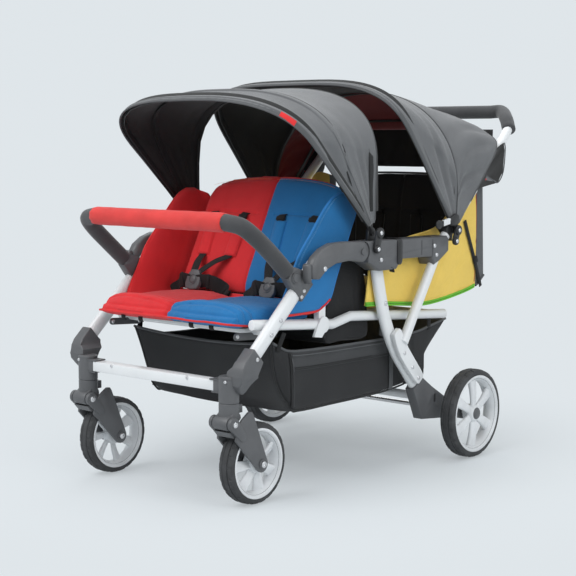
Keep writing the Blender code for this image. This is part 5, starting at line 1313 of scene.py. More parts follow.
# %% Cushion helpers
def cushion_grid(columns, rows, layers, place):
    """A closed block of points. place takes u and v from -1 to 1, and w from 0 underneath to 1 on top."""
    bm = bmesh.new()
    bmesh.ops.create_grid(bm, x_segments=columns, y_segments=rows, size=1.0)
    raised = bmesh.ops.extrude_face_region(bm, geom=bm.faces[:], use_keep_orig=True)["geom"]
    bmesh.ops.translate(bm, verts=moved_points(raised), vec=(0.0, 0.0, 1.0))
    for i in range(1, layers):
        cut_along(bm, (0, 0, i / layers), (0, 0, 1))
    for vert in bm.verts:
        vert.co = place(*vert.co)
    bmesh.ops.recalc_face_normals(bm, faces=bm.faces)
    return bm


PRESSURE, FRAMES = 4.0, 20


def puffed(bm, voxel, cap):
    """Blows a closed shape up with cloth pressure, and caps how far its points move."""
    mesh = bpy.data.meshes.new("pad")
    bm.to_mesh(mesh)
    bm.free()
    obj = linked("pad", mesh)
    remesh = obj.modifiers.new("even", "REMESH")
    remesh.mode = "VOXEL"
    remesh.voxel_size = voxel
    depsgraph = bpy.context.evaluated_depsgraph_get()
    even = bpy.data.meshes.new_from_object(obj.evaluated_get(depsgraph))
    obj.modifiers.clear()
    obj.data = even
    start = [v.co.copy() for v in even.vertices]
    cloth = obj.modifiers.new("cloth", "CLOTH")
    cloth.settings.quality = 4
    cloth.settings.mass = 0.3
    cloth.settings.use_pressure = True
    cloth.settings.uniform_pressure_force = PRESSURE
    cloth.settings.effector_weights.gravity = 0.0
    cloth.collision_settings.use_collision = False
    cloth.collision_settings.use_self_collision = False
    scene = bpy.context.scene
    for number in range(1, FRAMES + 1):
        scene.frame_set(number)
    depsgraph = bpy.context.evaluated_depsgraph_get()
    blown = bpy.data.meshes.new_from_object(obj.evaluated_get(depsgraph))
    for vert, old in zip(blown.vertices, start):
        move = vert.co - old
        if move.length > cap:
            move *= cap / move.length
        vert.co = old + move
    obj.modifiers.clear()
    obj.data = blown
    scene.frame_set(1)
    result = bmesh.new()
    result.from_mesh(obj.data)
    bpy.data.objects.remove(obj)
    bmesh.ops.smooth_vert(result, verts=result.verts, factor=0.5, use_axis_x=True, use_axis_y=True,
                          use_axis_z=True)
    return result


def split_long(bm, limit):
    """Halves the edges over a length, so that narrow seams find enough points."""
    long = [e for e in bm.edges if e.calc_length() > limit]
    bmesh.ops.subdivide_edges(bm, edges=long, cuts=1, use_grid_fill=True)


def sewn(bm, depth_at):
    """Draws points in along their normals, as a seam or a sewn channel does."""
    bm.normal_update()
    for vert, move in [(v, v.normal * -depth_at(v.co)) for v in bm.verts]:
        vert.co += move


def stuffed(name, bm, finishes, body, stands_for=()):
    obj = keep(name, bm, finishes, body, stands_for, smooth=180, outwards=False)
    return obj


CHARCOAL_PAD = cloth_finish("charcoal_seat_cloth", (0.085, 0.089, 0.094), which="Object", sheen=0.2)
ORANGE_THREAD = cloth_finish("orange_thread", (0.90, 0.36, 0.10), which="Object", thread=0.0006)
BLUE_THREAD = cloth_finish("pale_blue_thread", (0.16, 0.42, 0.72), which="Object", thread=0.0006)
DARK_RED = cloth_finish("dark_red_edging", (0.28, 0.010, 0.014), which="Object", thread=0.0022)
GREEN_THREAD = cloth_finish("dark_green_thread", (0.04, 0.20, 0.01), which="Object", thread=0.0006)
BLUE_EDGE = cloth_finish("blue_edging", (0.020, 0.210, 0.560), which="Object", thread=0.0022)

# %% [markdown]
# ## Front seats
# The front cushion runs over the edge into a stuffed lip with sewn channels. Its right half is red and
# its left half blue, and the two meet on a straight seam. The red piping under the lip follows the
# outermost low points of the finished cushion, so that it lies on the cloth all round.

# %% Front cushion
SEAT_HALF, PAD_T, SEAT_Z = 0.2335, 0.0420, 0.4050
FRONT_EDGE, LIP, FRONT_BACK_Y = -0.3520, 0.0720, -0.1540
FRONT_HINGE, REAR_HINGE = (-0.1370, 0.4400), (0.5150, 0.4350)
PUFF = 0.0035


def two_seats(x):
    return bump(abs(x) / SEAT_HALF * 2.0 - 1.0, 2.6)


def front_pan(u, v, w):
    length = FRONT_BACK_Y - FRONT_EDGE + LIP
    y = FRONT_BACK_Y - length * (v + 1.0) / 2.0
    past = max(0.0, FRONT_EDGE - y) / LIP
    x = u * (SEAT_HALF - 0.006 * abs(2 * w - 1) - PUFF * 0.8)
    low = SEAT_Z + 0.008 * past ** 2 + 0.001
    high = SEAT_Z + PAD_T * (0.72 + 0.12 * bump(v, 4) + 0.32 * two_seats(x)) - PUFF
    high += 0.008 * math.sin(math.pi * min(1.0, past)) - 0.016 * max(0.0, past - 0.7) / 0.3
    out = 0.008 * bump(2 * w - 1, 2) * max(0.0, v - 0.9) / 0.1
    return at(x, y - out + PUFF, low + (high - low) * w)


pan = puffed(cushion_grid(84, 48, 4, front_pan), 0.0055, 0.005)
for y in (FRONT_EDGE, FRONT_EDGE - LIP * 0.34, FRONT_EDGE - LIP * 0.62):
    cut_along(pan, at(0, y, 0), (0, 1, 0))
split_long(pan, 0.0035)
cut_along(pan, at(0, 0, 0), (1, 0, 0))


def front_pan_seams(co):
    y, top = co.y - HALF_WAY, co.z > SEAT_Z + 0.012
    lines = groove(y, FRONT_EDGE + 0.004, 0.0090) * 1.2
    lines += groove(y, FRONT_EDGE - LIP * 0.34, 0.0070) + groove(y, FRONT_EDGE - LIP * 0.64, 0.0060)
    ahead = ease((FRONT_EDGE - LIP * 0.60 - y) / 0.0100)
    lines += ahead * (groove(co.z, 0.4225, 0.0055) + groove(co.z, 0.4345, 0.0055))
    middle = groove(co.x, 0.0, 0.0080)
    pull = 0.0012 * wander(co.x * 30.0, y * 22.0, 1.0) + 0.0006 * wander(co.x * 90.0, y * 60.0, 4.0)
    return (0.0036 * lines + 0.0042 * middle if top else 0.0) + pull * (1.0 if top else 0.3)


sewn(pan, front_pan_seams)
for face in pan.faces:
    spot = face.calc_center_median()
    face.material_index = 1 if spot.x > 0 else 0
    if spot.z < SEAT_Z + 0.004 and spot.y - HALF_WAY > FRONT_EDGE - 0.03:
        face.material_index = 2
stuffed("front_cushion", pan, [RED_PAD, BLUE_PAD, BLACK_PAD], "front_frame",
        ("front_seat_base",))
LIP_SIDE_STEP = 0.0060
under = [v.co for v in bpy.data.objects["front_cushion"].data.vertices if v.co.z < SEAT_Z + 0.0135]
made = [co for co in under if co.y - HALF_WAY < FRONT_EDGE - 0.045]


def round_corner(s):
    """Low outer points from the front edge round the corner and back along the side."""
    spots = []
    for i in range(1, 12):
        a = math.radians(7.5 * i)
        spots.append(max(under, key=lambda co: s * co.x * math.sin(a) - co.y * math.cos(a) - 0.6 * co.z))
    for i in range(14):
        y = FRONT_EDGE + HALF_WAY - 0.0480 + LIP_SIDE_STEP * i
        near = [co for co in under if s * co.x > 0.18 and abs(co.y - y) < LIP_SIDE_STEP]
        if y > spots[-1].y + 0.5 * LIP_SIDE_STEP:
            spots.append(max(near, key=lambda co: s * co.x - 0.6 * co.z))
    return [a for a, b in zip(spots, spots[1:]) if (a - b).length > 0.0015] + spots[-1:]


reach = max(co.x for co in made) - 0.0040
edge_spots = []
for i in range(49):
    x = reach * (1.0 - 2.0 * i / 48)
    spot = min((co for co in made if abs(co.x - x) < 0.0080), key=lambda co: co.y + 0.6 * co.z)
    edge_spots.append(Vector((x, spot.y, spot.z)))
corners = round_corner(1), round_corner(-1)
edge_spots = [p for p in edge_spots if corners[1][0].x + 0.004 < p.x < corners[0][0].x - 0.004]
edge_spots = corners[0][::-1] + edge_spots + corners[1]
lip_line = []
for i in range(len(edge_spots)):
    near = edge_spots[max(0, i - 1):i + 2]
    lip_line.append(sum((Vector(p) for p in near), Vector()) / len(near))
keep("front_lip_piping", swept(lip_line, ring(0.0026, 8)), RED_EDGE, "front_frame")


def foot_strip(u, v, w):
    rise = (v + 1.0) / 2.0
    return at(u * 0.2285, -0.1680 + 0.0200 * rise, 0.4170 + (0.0150 + 0.0175 * ease(rise)) * w)


stuffed("front_cushion_back_roll", cushion_grid(40, 6, 2, foot_strip), [RED_PAD], "front_frame",
        ())

# %% [markdown]
# The wings close the front seats at the sides. Each is a thin padded panel between a front and a rear
# curve, thicker towards the seat, where it rolls into the cushion. The formula gives both faces.

# %% Front wings
WING_FRONT = [(-0.3000, 0.4290), (-0.2860, 0.4620), (-0.2560, 0.5130), (-0.2280, 0.5630), (-0.1830, 0.6140),
              (-0.1420, 0.6620), (-0.1080, 0.6920), (-0.0800, 0.7050)]
WING_BACK = [(-0.1600, 0.4290), (-0.1140, 0.4500), (-0.0870, 0.5050), (-0.0600, 0.5600), (-0.0330, 0.6165),
             (-0.0120, 0.6600), (-0.0180, 0.6880), (-0.0500, 0.7040)]


def line_at(points, t):
    spot = min(0.999999, max(0.0, t)) * (len(points) - 1)
    i = int(spot)
    pts = [Vector((0.0, *p)) for p in points]
    k = spot - i
    a, b = pts[i], pts[i + 1]
    before = pts[i - 1] if i else a * 2 - b
    after = pts[i + 2] if i + 2 < len(pts) else b * 2 - a
    p = 0.5 * ((2 * a) + (b - before) * k + (2 * before - 5 * a + 4 * b - after) * k ** 2
               + (3 * a - before - 3 * b + after) * k ** 3)
    return p.y, p.z


def front_wing(s):
    def place(u, v, w):
        rise = (v + 1.0) / 2.0
        f, b = line_at(WING_FRONT, rise), line_at(WING_BACK, rise)
        y, z = share(f, b, (u + 1.0) / 2.0)
        soft = bump(u, 4) * bump(v * 0.96, 6)
        outer = 0.2572 + 0.0034 * soft - 0.0010 * wander(y * 16.0, z * 13.0, s * 3.0 + 5.0)
        crease = 0.0016 * groove(y * 0.8 + z * 0.6, 0.300, 0.010) * soft
        roll = max(0.0, 1.0 - rise / 0.22)
        tuck = max(0.0, (u - 0.45) / 0.55) ** 1.6 * min(1.0, (1.0 - rise) / 0.12)
        inner = 0.2536 - 0.0090 * soft - 0.0160 * roll ** 2
        inner = inner + (0.2315 - inner) * tuck
        inner += 0.0012 * wander(y * 20.0, z * 17.0, s * 7.0)
        x = inner + (outer - crease - inner) * w
        return at(s * x, y, z)

    return cushion_grid(34, 46, 3, place)


for side, s, cloth, edge, thread in (("left", 1, BLUE_PAD, BLUE_EDGE, BLUE_THREAD),
                                     ("right", -1, RED_PAD, RED_EDGE, ORANGE_THREAD)):
    stuffed("front_wing_" + side, front_wing(s), [cloth], "front_frame", ())
    rim = [line_at(WING_FRONT, i / 40) for i in range(41)]
    rim += [line_at(WING_BACK, 1 - i / 40) for i in range(41)]
    keep("front_wing_piping_" + side, swept([at(s * 0.2562, y, z) for y, z in rim], ring(0.0026, 8)), edge,
         "front_frame")
    base = [at(s * 0.2570, y, z) for y, z in ((-0.3000, 0.4285), (-0.2500, 0.4270), (-0.2000, 0.4270),
                                              (-0.1600, 0.4285), (-0.1350, 0.4390), (-0.1120, 0.4520))]
    keep("front_wing_foot_piping_" + side, swept(curve(base, 5), ring(0.0030, 8)), RED_EDGE, "front_frame")
    for gap in (0.0085, 0.0120):
        inside = []
        for i in range(4, 37):
            y, z = line_at(WING_FRONT, i / 40)
            toward = Vector((line_at(WING_BACK, i / 40)[0] - y, line_at(WING_BACK, i / 40)[1] - z))
            toward *= min(0.4, gap / max(1e-6, toward.length))
            inside.append(at(s * 0.2592, y + toward.x, z + toward.y))
        stitched("front_wing_stitches_" + side + ("_a" if gap < 0.01 else "_b"), inside, 0.0046, thread,
                 "front_frame", (s, 0.0, 0.0))
print("front wings done")

# %% [markdown]
# The front backrest leans back and reclines about a pin at its foot. It is red on one side and blue on the
# other, with round shoulders, a red binding along the top, a row of light stitches under the binding, and
# a crease where the shoulder straps come through.

# %% Front backrest
def leaning(hinge, lean):
    """Turns (x, s up the back, t behind it) into places."""
    a = math.radians(lean)
    up, back = (math.sin(a), math.cos(a)), (math.cos(a), -math.sin(a))
    return lambda x, s, t: at(x, hinge[0] + up[0] * s + back[0] * t, hinge[1] + up[1] * s + back[1] * t)


def unleaning(hinge, lean):
    """The other way: from a place to (s up the back, t behind it)."""
    a = math.radians(lean)
    up, back = (math.sin(a), math.cos(a)), (math.cos(a), -math.sin(a))

    def where(co):
        y, z = co.y - HALF_WAY - hinge[0], co.z - hinge[1]
        return y * up[0] + z * up[1], y * back[0] + z * back[1]
    return where


FRONT_LEAN, REAR_LEAN = 26.0, 6.0
FRONT_TALL, REAR_TALL = 0.3380, 0.3100
SHOULDER, SHOULDER_DROP, SHOULDER_IN = 0.070, 0.024, 0.13
FRONT_BACK_HALF, REAR_BACK_HALF = SEAT_HALF - 0.0045, 0.2507
front_place, front_where = leaning(FRONT_HINGE, FRONT_LEAN), unleaning(FRONT_HINGE, FRONT_LEAN)
rear_place, rear_where = leaning(REAR_HINGE, REAR_LEAN), unleaning(REAR_HINGE, REAR_LEAN)


def back_shape(place, tall, half, front, behind, bulge):
    def put(u, v, w):
        s = 0.006 + (tall - 0.008) * (v + 1.0) / 2.0
        corner = max(0.0, (s - (tall - SHOULDER)) / SHOULDER)
        x = u * (half - PUFF * 0.8) * (1.0 - SHOULDER_IN * corner ** 2.4) * (1.0 - 0.010 * (2 * w - 1) ** 2)
        s -= SHOULDER_DROP * (abs(u) ** 3) * max(0.0, v)
        crown = 0.007 * bump(abs(x) / half * 2.0 - 1.0, 2.4) * bump(v, 4)
        face = -front - crown + PUFF + 0.007 * (abs(v) ** 8)
        back = behind - PUFF + bulge * bump(v, 2.4) * bump(u, 6)
        return place(x, s, back + (face - back) * w)
    return put


shape = back_shape(front_place, FRONT_TALL, FRONT_BACK_HALF, 0.0135, 0.0135, 0.0)
bm = puffed(cushion_grid(84, 56, 4, shape), 0.0055, 0.0045)
split_long(bm, 0.0035)
cut_along(bm, at(0, 0, 0), (1, 0, 0))


def front_back_seams(co):
    s, t = front_where(co)
    seat = abs(co.x) - FRONT_BACK_HALF / 2
    line = 0.0040 * groove(s, FRONT_TALL * 0.655, 0.0055) * (1.0 if abs(seat) < 0.085 else 0.2)
    line += 0.0040 * groove(co.x, 0.0, 0.0070)
    top = 0.0016 * groove(s + SHOULDER_DROP * (abs(co.x) / FRONT_BACK_HALF) ** 3, FRONT_TALL - 0.020, 0.0035)
    pull = 0.0010 * wander(co.x * 26.0, s * 20.0, 7.0)
    return (line + top if t < 0 else 0.0) + pull


sewn(bm, front_back_seams)
for face in bm.faces:
    spot = face.calc_center_median()
    s, t = front_where(spot)
    over = s + SHOULDER_DROP * (abs(spot.x) / FRONT_BACK_HALF) ** 3
    face.material_index = 1 if spot.x > 0 else 0
    if t > 0.004:
        face.material_index = 2
    if over > FRONT_TALL - 0.0135:
        face.material_index = 3
stuffed("front_backrest_pad", bm, [RED_PAD, BLUE_PAD, BLACK_PAD, RED_EDGE], "front_back",
        ("front_backrest",))


def shoulder_line(x, tall, half, drop, out, place):
    """A point on the backrest's face, a given way below its rounded top."""
    u = x / half
    corner = max(0.0, (tall - drop - (tall - SHOULDER)) / SHOULDER)
    return place(x * (1.0 - SHOULDER_IN * corner ** 2.4), tall - drop - SHOULDER_DROP * abs(u) ** 3, out)


for start, stop, label in ((-0.95, -0.03, "right"), (0.03, 0.95, "left")):
    across = [(start + (stop - start) * i / 40) * FRONT_BACK_HALF for i in range(41)]
    line = [shoulder_line(x, FRONT_TALL, FRONT_BACK_HALF, 0.0215, -0.0190, front_place) for x in across]
    stitched("front_backrest_stitches_" + label, line, 0.0055, ORANGE_THREAD, "front_back", (0.0, -0.9, 0.4))
print("front backrest done")

# %% [markdown]
# ## Harnesses
# Each seat has a five-point harness. Webbing comes out of the backrest, runs under a padded cover and
# on to a moulded buckle with a round button. Two waist belts and a crotch strap meet there. The webbing
# between the backrest and the buckle is a separate piece on no body.

# %% Harness pieces
def cover(place, x, lean, front, s0, s1):
    """Padded cover of a shoulder strap, with piped edges: a soft slab up the backrest."""
    def put(u, v, w):
        s = s0 + (s1 - s0) * (v + 1.0) / 2.0
        x_here = x + lean * (v + 1.0) / 2.0 + u * (0.0195 - 0.0022 * abs(2 * w - 1) ** 3)
        end = 1.0 - 0.5 * max(0.0, abs(v) - 0.93) / 0.07
        base, top = front - 0.0030, front + (0.0085 + 0.0035 * bump(u, 2.2)) * end
        return place(x_here, s, -(base + (top - base) * w))
    return cushion_grid(12, 30, 3, put)


def web(points, wide, thick, steps):
    """A piece of webbing along a smooth line."""
    return swept(curve(points, steps), slab(wide, thick))


def harness(row, which, x, cover_x, place, tall, front, spot, back_y, cloth, edge, back_body):
    """All that belongs to one seat's harness."""
    y, z = spot
    lean = Vector((0.0, math.cos(math.radians(20)), -math.sin(math.radians(20))))
    up = Vector((0.0, -lean.z, lean.y))
    middle = at(x, y, z)
    shield = [(-0.019, 0.024), (-0.006, 0.0262), (0.006, 0.0262), (0.019, 0.024), (0.0245, 0.012),
              (0.0215, -0.012),
              (0.012, -0.026), (-0.012, -0.026), (-0.0215, -0.012), (-0.0245, 0.012)]
    bm = swept([middle - lean * 0.0065, middle + lean * 0.0050], shield, side=(1.0, 0.0, 0.0))
    eased(bm, 0.0022, 40, 3)
    dome = [(0.0, 0.0), (0.0030, 0.0), (0.0028, 0.0050), (0.0022, 0.0082), (0.0010, 0.0098), (-0.002, 0.0102)]
    ring_low = [(-0.001, 0.0112), (0.0012, 0.0112), (0.0016, 0.0125), (0.0010, 0.0138), (-0.001, 0.0140)]
    front_side = middle - lean * 0.0065
    for shape in (dome, ring_low):
        add(bm, turned(shape, front_side, 32, -lean))
    name = row + "_buckle_" + which
    keep(name, bm, GREY, "front_frame", (row + "_harness_" + which,), 40)
    belts = bmesh.new()
    for s in (-1, 1):
        path = [middle + Vector((s * 0.012, 0.002, -0.004)), middle + Vector((s * 0.034, 0.002, -0.001)),
                middle + Vector((s * 0.058, 0.010, -0.006)), middle + Vector((s * 0.080, 0.024, -0.022)),
                at(x + s * 0.093, back_y - 0.012, z - 0.038), at(x + s * 0.097, back_y - 0.001, z - 0.041)]
        turns = [(0.0, -0.35, 0.94), (0.0, -0.30, 0.95), (0.0, 0.0, 1.0), (0.1 * s, 0.25, 0.97),
                 (0.2 * s, 0.3, 0.93), (0.2 * s, 0.3, 0.93)]
        line = curve(path, 6)
        sides = [Vector(turns[min(5, int(i / 6))]).lerp(Vector(turns[min(5, int(i / 6) + 1)]), (i % 6) / 6)
                 for i in range(len(line))]
        add(belts, swept(line, slab(0.0360, 0.0026), sides=sides))
        loop = [middle + Vector((s * 0.040, 0.0035, -0.0016)), middle + Vector((s * 0.048, 0.006, -0.0030))]
        add(belts, eased(swept(loop, slab(0.0385, 0.0070), side=(0.0, -0.1, 1.0)), 0.0012, 40))
    low = at(x, y - 0.026, z - 0.038)
    crotch = [middle + up * -0.018 + lean * 0.001, middle + up * -0.034 - Vector((0, 0.002, 0.002)),
              low + Vector((0.0, -0.014, 0.0000)), low + Vector((0.0, -0.030, -0.0005)),
              low + Vector((0.0, -0.040, -0.0060))]
    add(belts, web(crotch, 0.0240, 0.0024, 6))
    slider = [low + Vector((0.0, -0.002, 0.006)), low + Vector((0.0, -0.014, 0.0035))]
    add(belts, eased(swept(slider, slab(0.0300, 0.0062)), 0.0012, 40))
    keep(row + "_belts_" + which, belts, WEBBING, "front_frame")
    for s, label in ((-1, "in"), (1, "out")):
        sx = cover_x + s * 0.046

        def on_back(shift, part, out):
            return place(sx + s * shift, tall * part, -(front + out))

        pad = cover(place, sx, s * 0.006, front, tall * 0.29, tall * 0.60)
        stuffed("_".join((row, "shoulder_cover", which, label)), pad, [cloth], back_body, ())
        for e in (-1, 1):
            rim = [place(sx + s * 0.006 * i / 12 + e * 0.0192, tall * (0.29 + 0.31 * i / 12),
                         -(front + 0.0042))
                   for i in range(13)]
            name = "_".join((row, "cover_piping", which, label, "a" if e < 0 else "b"))
            keep(name, swept(rim, ring(0.0013, 7)), edge, back_body)
        strap = [on_back(0.006, 0.575, 0.0090), on_back(0.007, 0.625, 0.0085), on_back(0.008, 0.650, 0.0030),
                 on_back(0.008, 0.652, -0.0060)]
        top = web(strap, 0.0230, 0.0022, 5)
        clasp = [on_back(0.0065, 0.600, 0.0100), on_back(0.0068, 0.628, 0.0092)]
        add(top, eased(swept(clasp, slab(0.0285, 0.0058)), 0.0012, 40))
        keep("_".join((row, "shoulder_strap", which, label)), top, WEBBING, back_body)
        end = on_back(0.0, 0.295, 0.0060)
        meet = middle + up * 0.020 + Vector((s * 0.009, 0.0, 0.0)) + lean * 0.001
        path = [on_back(0.0, 0.35, 0.0050), end, end.lerp(meet, 0.45) + Vector((0.0, -0.003, 0.004)),
                meet, meet - up * 0.012]
        lower = keep("_".join((row, "lower_strap", which, label)), web(path, 0.0225, 0.0022, 6), WEBBING,
                     None)
        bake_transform(lower)
        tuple(end)


for which, s, cloth, edge in (("left", 1, BLUE_PAD, BLUE_EDGE), ("right", -1, RED_PAD, RED_EDGE)):
    spot = (-0.186, 0.476) if s > 0 else (-0.182, 0.479)
    harness("front", which, s * SEAT_HALF / 2 + (0.010 if s > 0 else -0.012), s * SEAT_HALF / 2, front_place,
            FRONT_TALL, 0.0170, spot, FRONT_BACK_Y, cloth, edge, "front_back")
print("front harnesses done")

# %% [markdown]
# ## Rear seats
# The rear cushion is yellow. The rear wings are large yellow panels with soft diagonal creases. A green
# double piping with stitches runs along their lower edges.

# %% Rear cushion and wings
REAR_PAN_LOW, REAR_PAN_SEAM = 0.4080, 0.2008
YELLOW_END = 0.5180


def rear_pan(u, v, w):
    y = 0.0840 + 0.3920 * (v + 1.0) / 2.0
    x = u * (SEAT_HALF - 0.006 * abs(2 * w - 1) - PUFF * 0.8)
    low = REAR_PAN_LOW + 0.001
    high = REAR_PAN_LOW + PAD_T * (0.66 + 0.12 * bump(v, 4) + 0.30 * two_seats(x)) - PUFF
    high -= 0.014 * max(0.0, -v - 0.75) / 0.25
    return at(x, y, low + (high - low) * w)


pan = puffed(cushion_grid(80, 62, 4, rear_pan), 0.0060, 0.0045)
for y in (0.1500, REAR_PAN_SEAM, 0.3200):
    cut_along(pan, at(0, y, 0), (0, 1, 0))
cut_along(pan, at(0, 0, 0), (1, 0, 0))
split_long(pan, 0.0045)


def rear_pan_seams(co):
    y, top = co.y - HALF_WAY, co.z > REAR_PAN_LOW + 0.012
    line = groove(y, REAR_PAN_SEAM, 0.0080) * 1.4 + groove(co.x, 0.0, 0.0080)
    pull = 0.0011 * wander(co.x * 24.0, y * 18.0, 2.0)
    return (0.0036 * line if top else 0.0) + pull


sewn(pan, rear_pan_seams)
stuffed("rear_cushion", pan, [YELLOW_PAD], "front_frame", ("rear_seat_base",))
REAR_LOW = [(0.0250, 0.4240), (0.1100, 0.4190), (0.2280, 0.4080), (0.3000, 0.4050), (0.4100, 0.4150),
            (0.5130, 0.4330), (0.5610, 0.4620)]
REAR_HIGH = [(0.0420, 0.5250), (0.1100, 0.5640), (0.2000, 0.5850), (0.3300, 0.6060), (0.4100, 0.6600),
             (0.4610, 0.7340), (0.5500, 0.7250)]


def rear_wing(s):
    def place(u, v, w):
        length, rise = (u + 1.0) / 2.0, (v + 1.0) / 2.0
        y, z = share(line_at(REAR_LOW, length), line_at(REAR_HIGH, length), rise)
        soft = bump(u, 6) * bump(v * 0.97, 6)
        fold = 0.0
        for a, b, deep in (((0.165, 0.570), (0.262, 0.425), 0.0024),
                           ((0.215, 0.560), (0.262, 0.455), 0.0014),
                           ((0.300, 0.435), (0.445, 0.660), 0.0026),
                           ((0.330, 0.425), (0.520, 0.560), 0.0016),
                           ((0.120, 0.540), (0.210, 0.440), 0.0012),
                           ((0.400, 0.440), (0.530, 0.700), 0.0012)):
            fold += deep * groove(near_line(y, z, a, b), 0.0, 0.0060)
        wave = 0.0016 * wander(y * 15.0, z * 13.0, 3.0 + s)
        outer = 0.2590 + 0.0028 * soft - fold * soft - wave * soft
        roll = max(0.0, 1.0 - rise / 0.20) * bump(max(-1.0, u * 1.05), 8)
        inner = 0.2555 - 0.0070 * soft - 0.0150 * roll ** 2 - fold * 0.5 - wave
        return at(s * (inner + (outer - inner) * w), y, z)

    return cushion_grid(72, 44, 3, place)


for side, s in (("left", 1), ("right", -1)):
    bm = rear_wing(s)
    cut_along(bm, at(0, YELLOW_END, 0), (0, 1, 0))
    for face in bm.faces:
        face.material_index = 1 if face.calc_center_median().y > YELLOW_END + HALF_WAY else 0
    stuffed("rear_wing_panel_" + side, bm, [YELLOW_PAD, CHARCOAL_PAD], "rear_frame",
            ("rear_wing_" + side,))
    rim = [line_at(REAR_LOW, i / 60) for i in range(61)]
    dark = [at(s * 0.2605, y, z + 0.0010) for y, z in rim if y > 0.5150]
    keep("rear_wing_shell_piping_" + side, swept(dark, ring(0.0030, 8)), CHARCOAL_EDGE, "rear_frame")
    rim = [p for p in rim if p[0] < 0.5170]
    for up, label in ((0.0010, "low"), (0.0066, "high")):
        pipe = [at(s * 0.2605, y, z + up) for y, z in rim]
        keep("_".join(("rear_wing_piping", side, label)), swept(pipe, ring(0.0027, 8)), GREEN_EDGE,
             "rear_frame")
    line = [at(s * 0.2634, y, z + 0.0038) for y, z in rim]
    stitched("rear_wing_piping_stitches_" + side, line, 0.0050, GREEN_THREAD, "rear_frame", (s, 0.0, 0.0))
    line = [at(s * 0.2616, y, z + 0.0130) for y, z in rim]
    stitched("rear_wing_seam_stitches_" + side, line, 0.0046, YELLOW_PAD, "rear_frame", (s, 0.0, 0.0))
    top = [line_at(REAR_HIGH, i / 60) for i in range(61)]
    keep("rear_wing_top_edge_" + side, swept([at(s * 0.2585, y, z - 0.001) for y, z in top], ring(0.0030, 8)),
         YELLOW_PAD, "rear_frame")
    red = [at(s * 0.2600, y, z) for y, z in ((0.5130, 0.4480), (0.5170, 0.5000), (0.5190, 0.5600),
                                              (0.5190, 0.6300), (0.5160, 0.6900), (0.5120, 0.7350))]
    keep("rear_wing_red_line_" + side, swept(curve(red, 6), ring(0.0016, 7)), DARK_RED, "rear_frame")
print("rear wings done")

# %% [markdown]
# The rear backrest is black in front. Its charcoal shell wraps round the sides and round the back, where
# a wide pocket is sewn on. It reclines about a pin at its foot.

# %% Rear backrest
shape = back_shape(rear_place, REAR_TALL, REAR_BACK_HALF, 0.0135, 0.0400, 0.0530)
bm = puffed(cushion_grid(84, 54, 5, shape), 0.0060, 0.0040)
split_long(bm, 0.0045)
cut_along(bm, rear_place(0.0, 0.0, -0.0020), tuple(rear_place(0.0, 0.0, 1.0) - rear_place(0.0, 0.0, 0.0)))


def rear_back_seams(co):
    s, t = rear_where(co)
    over = s + SHOULDER_DROP * (abs(co.x) / REAR_BACK_HALF) ** 3
    pull = 0.0012 * wander(co.x * 20.0, s * 18.0, 9.0)
    if t < 0:
        return 0.0036 * groove(s, REAR_TALL * 0.655, 0.0055) + 0.0036 * groove(co.x, 0.0, 0.0070) + pull
    box = 0.0024 * groove(abs(co.x), 0.1850, 0.0045) * (1.0 if s < 0.222 else 0.0)
    box += 0.0030 * groove(over, 0.2250, 0.0045) * (1.0 if abs(co.x) < 0.188 else 0.0)
    rim = 0.0022 * groove(over, REAR_TALL - 0.020, 0.0040) + 0.0018 * groove(abs(co.x), 0.2330, 0.0040)
    droop = 0.0016 * math.sin(co.x * 46.0 + 3.0 * wander(co.x * 9.0, s * 6.0, 1.0))
    droop *= bump((s - 0.12) / 0.16, 2)
    return box + rim + droop + pull


sewn(bm, rear_back_seams)
for face in bm.faces:
    s, t = rear_where(face.calc_center_median())
    face.material_index = 0 if t < -0.0020 else 1
stuffed("rear_backrest_pad", bm, [BLACK_PAD, CHARCOAL_PAD], "rear_back", ("rear_backrest",))
rim = []
for i in range(81):
    u = -1.0 + 2.0 * i / 80
    corner = 0.030 * (abs(u) ** 7)
    up = REAR_TALL - 0.004 - SHOULDER_DROP * abs(u) ** 3 - corner
    rim.append(rear_place(u * REAR_BACK_HALF * (1.0 - SHOULDER_IN * abs(u) ** 6), up, -0.0120))
keep("rear_backrest_binding", swept(rim, ring(0.0030, 8)), CHARCOAL_EDGE, "rear_back")
for which, s in (("left", 1), ("right", -1)):
    harness("rear", which, s * SEAT_HALF / 2, s * SEAT_HALF / 2, rear_place, REAR_TALL, 0.0170,
            (0.420, 0.482),
            0.4780, BLACK_PAD, CHARCOAL_EDGE, "rear_back")
    recline = [at(s * 0.2655, *p) for p in ((0.4560, 0.6170), (0.4840, 0.5550), (0.5060, 0.5080),
                                            (0.5260, 0.4620),
                                            (0.5380, 0.4340))]
    bm = swept(curve(recline, 6), slab(0.0130, 0.0020), side=(0.0, 0.9, 0.4))
    slide = [at(s * 0.2660, 0.5060, 0.5160), at(s * 0.2660, 0.5120, 0.5000)]
    add(bm, eased(swept(slide, slab(0.0200, 0.0060), side=(0.0, 0.9, 0.4)), 0.0012, 40))
    keep("rear_recline_strap_" + which, bm, WEBBING, "rear_frame")
print("rear backrest done")

# %% [markdown]
# ## Basket
# The basket is one cloth shell that hangs from four straps. Each station along it gives a cross-section:
# down one side, round the corner, across the floor and up the other side. The front panel hangs in a
# hollow curve, and the floor sags a little.

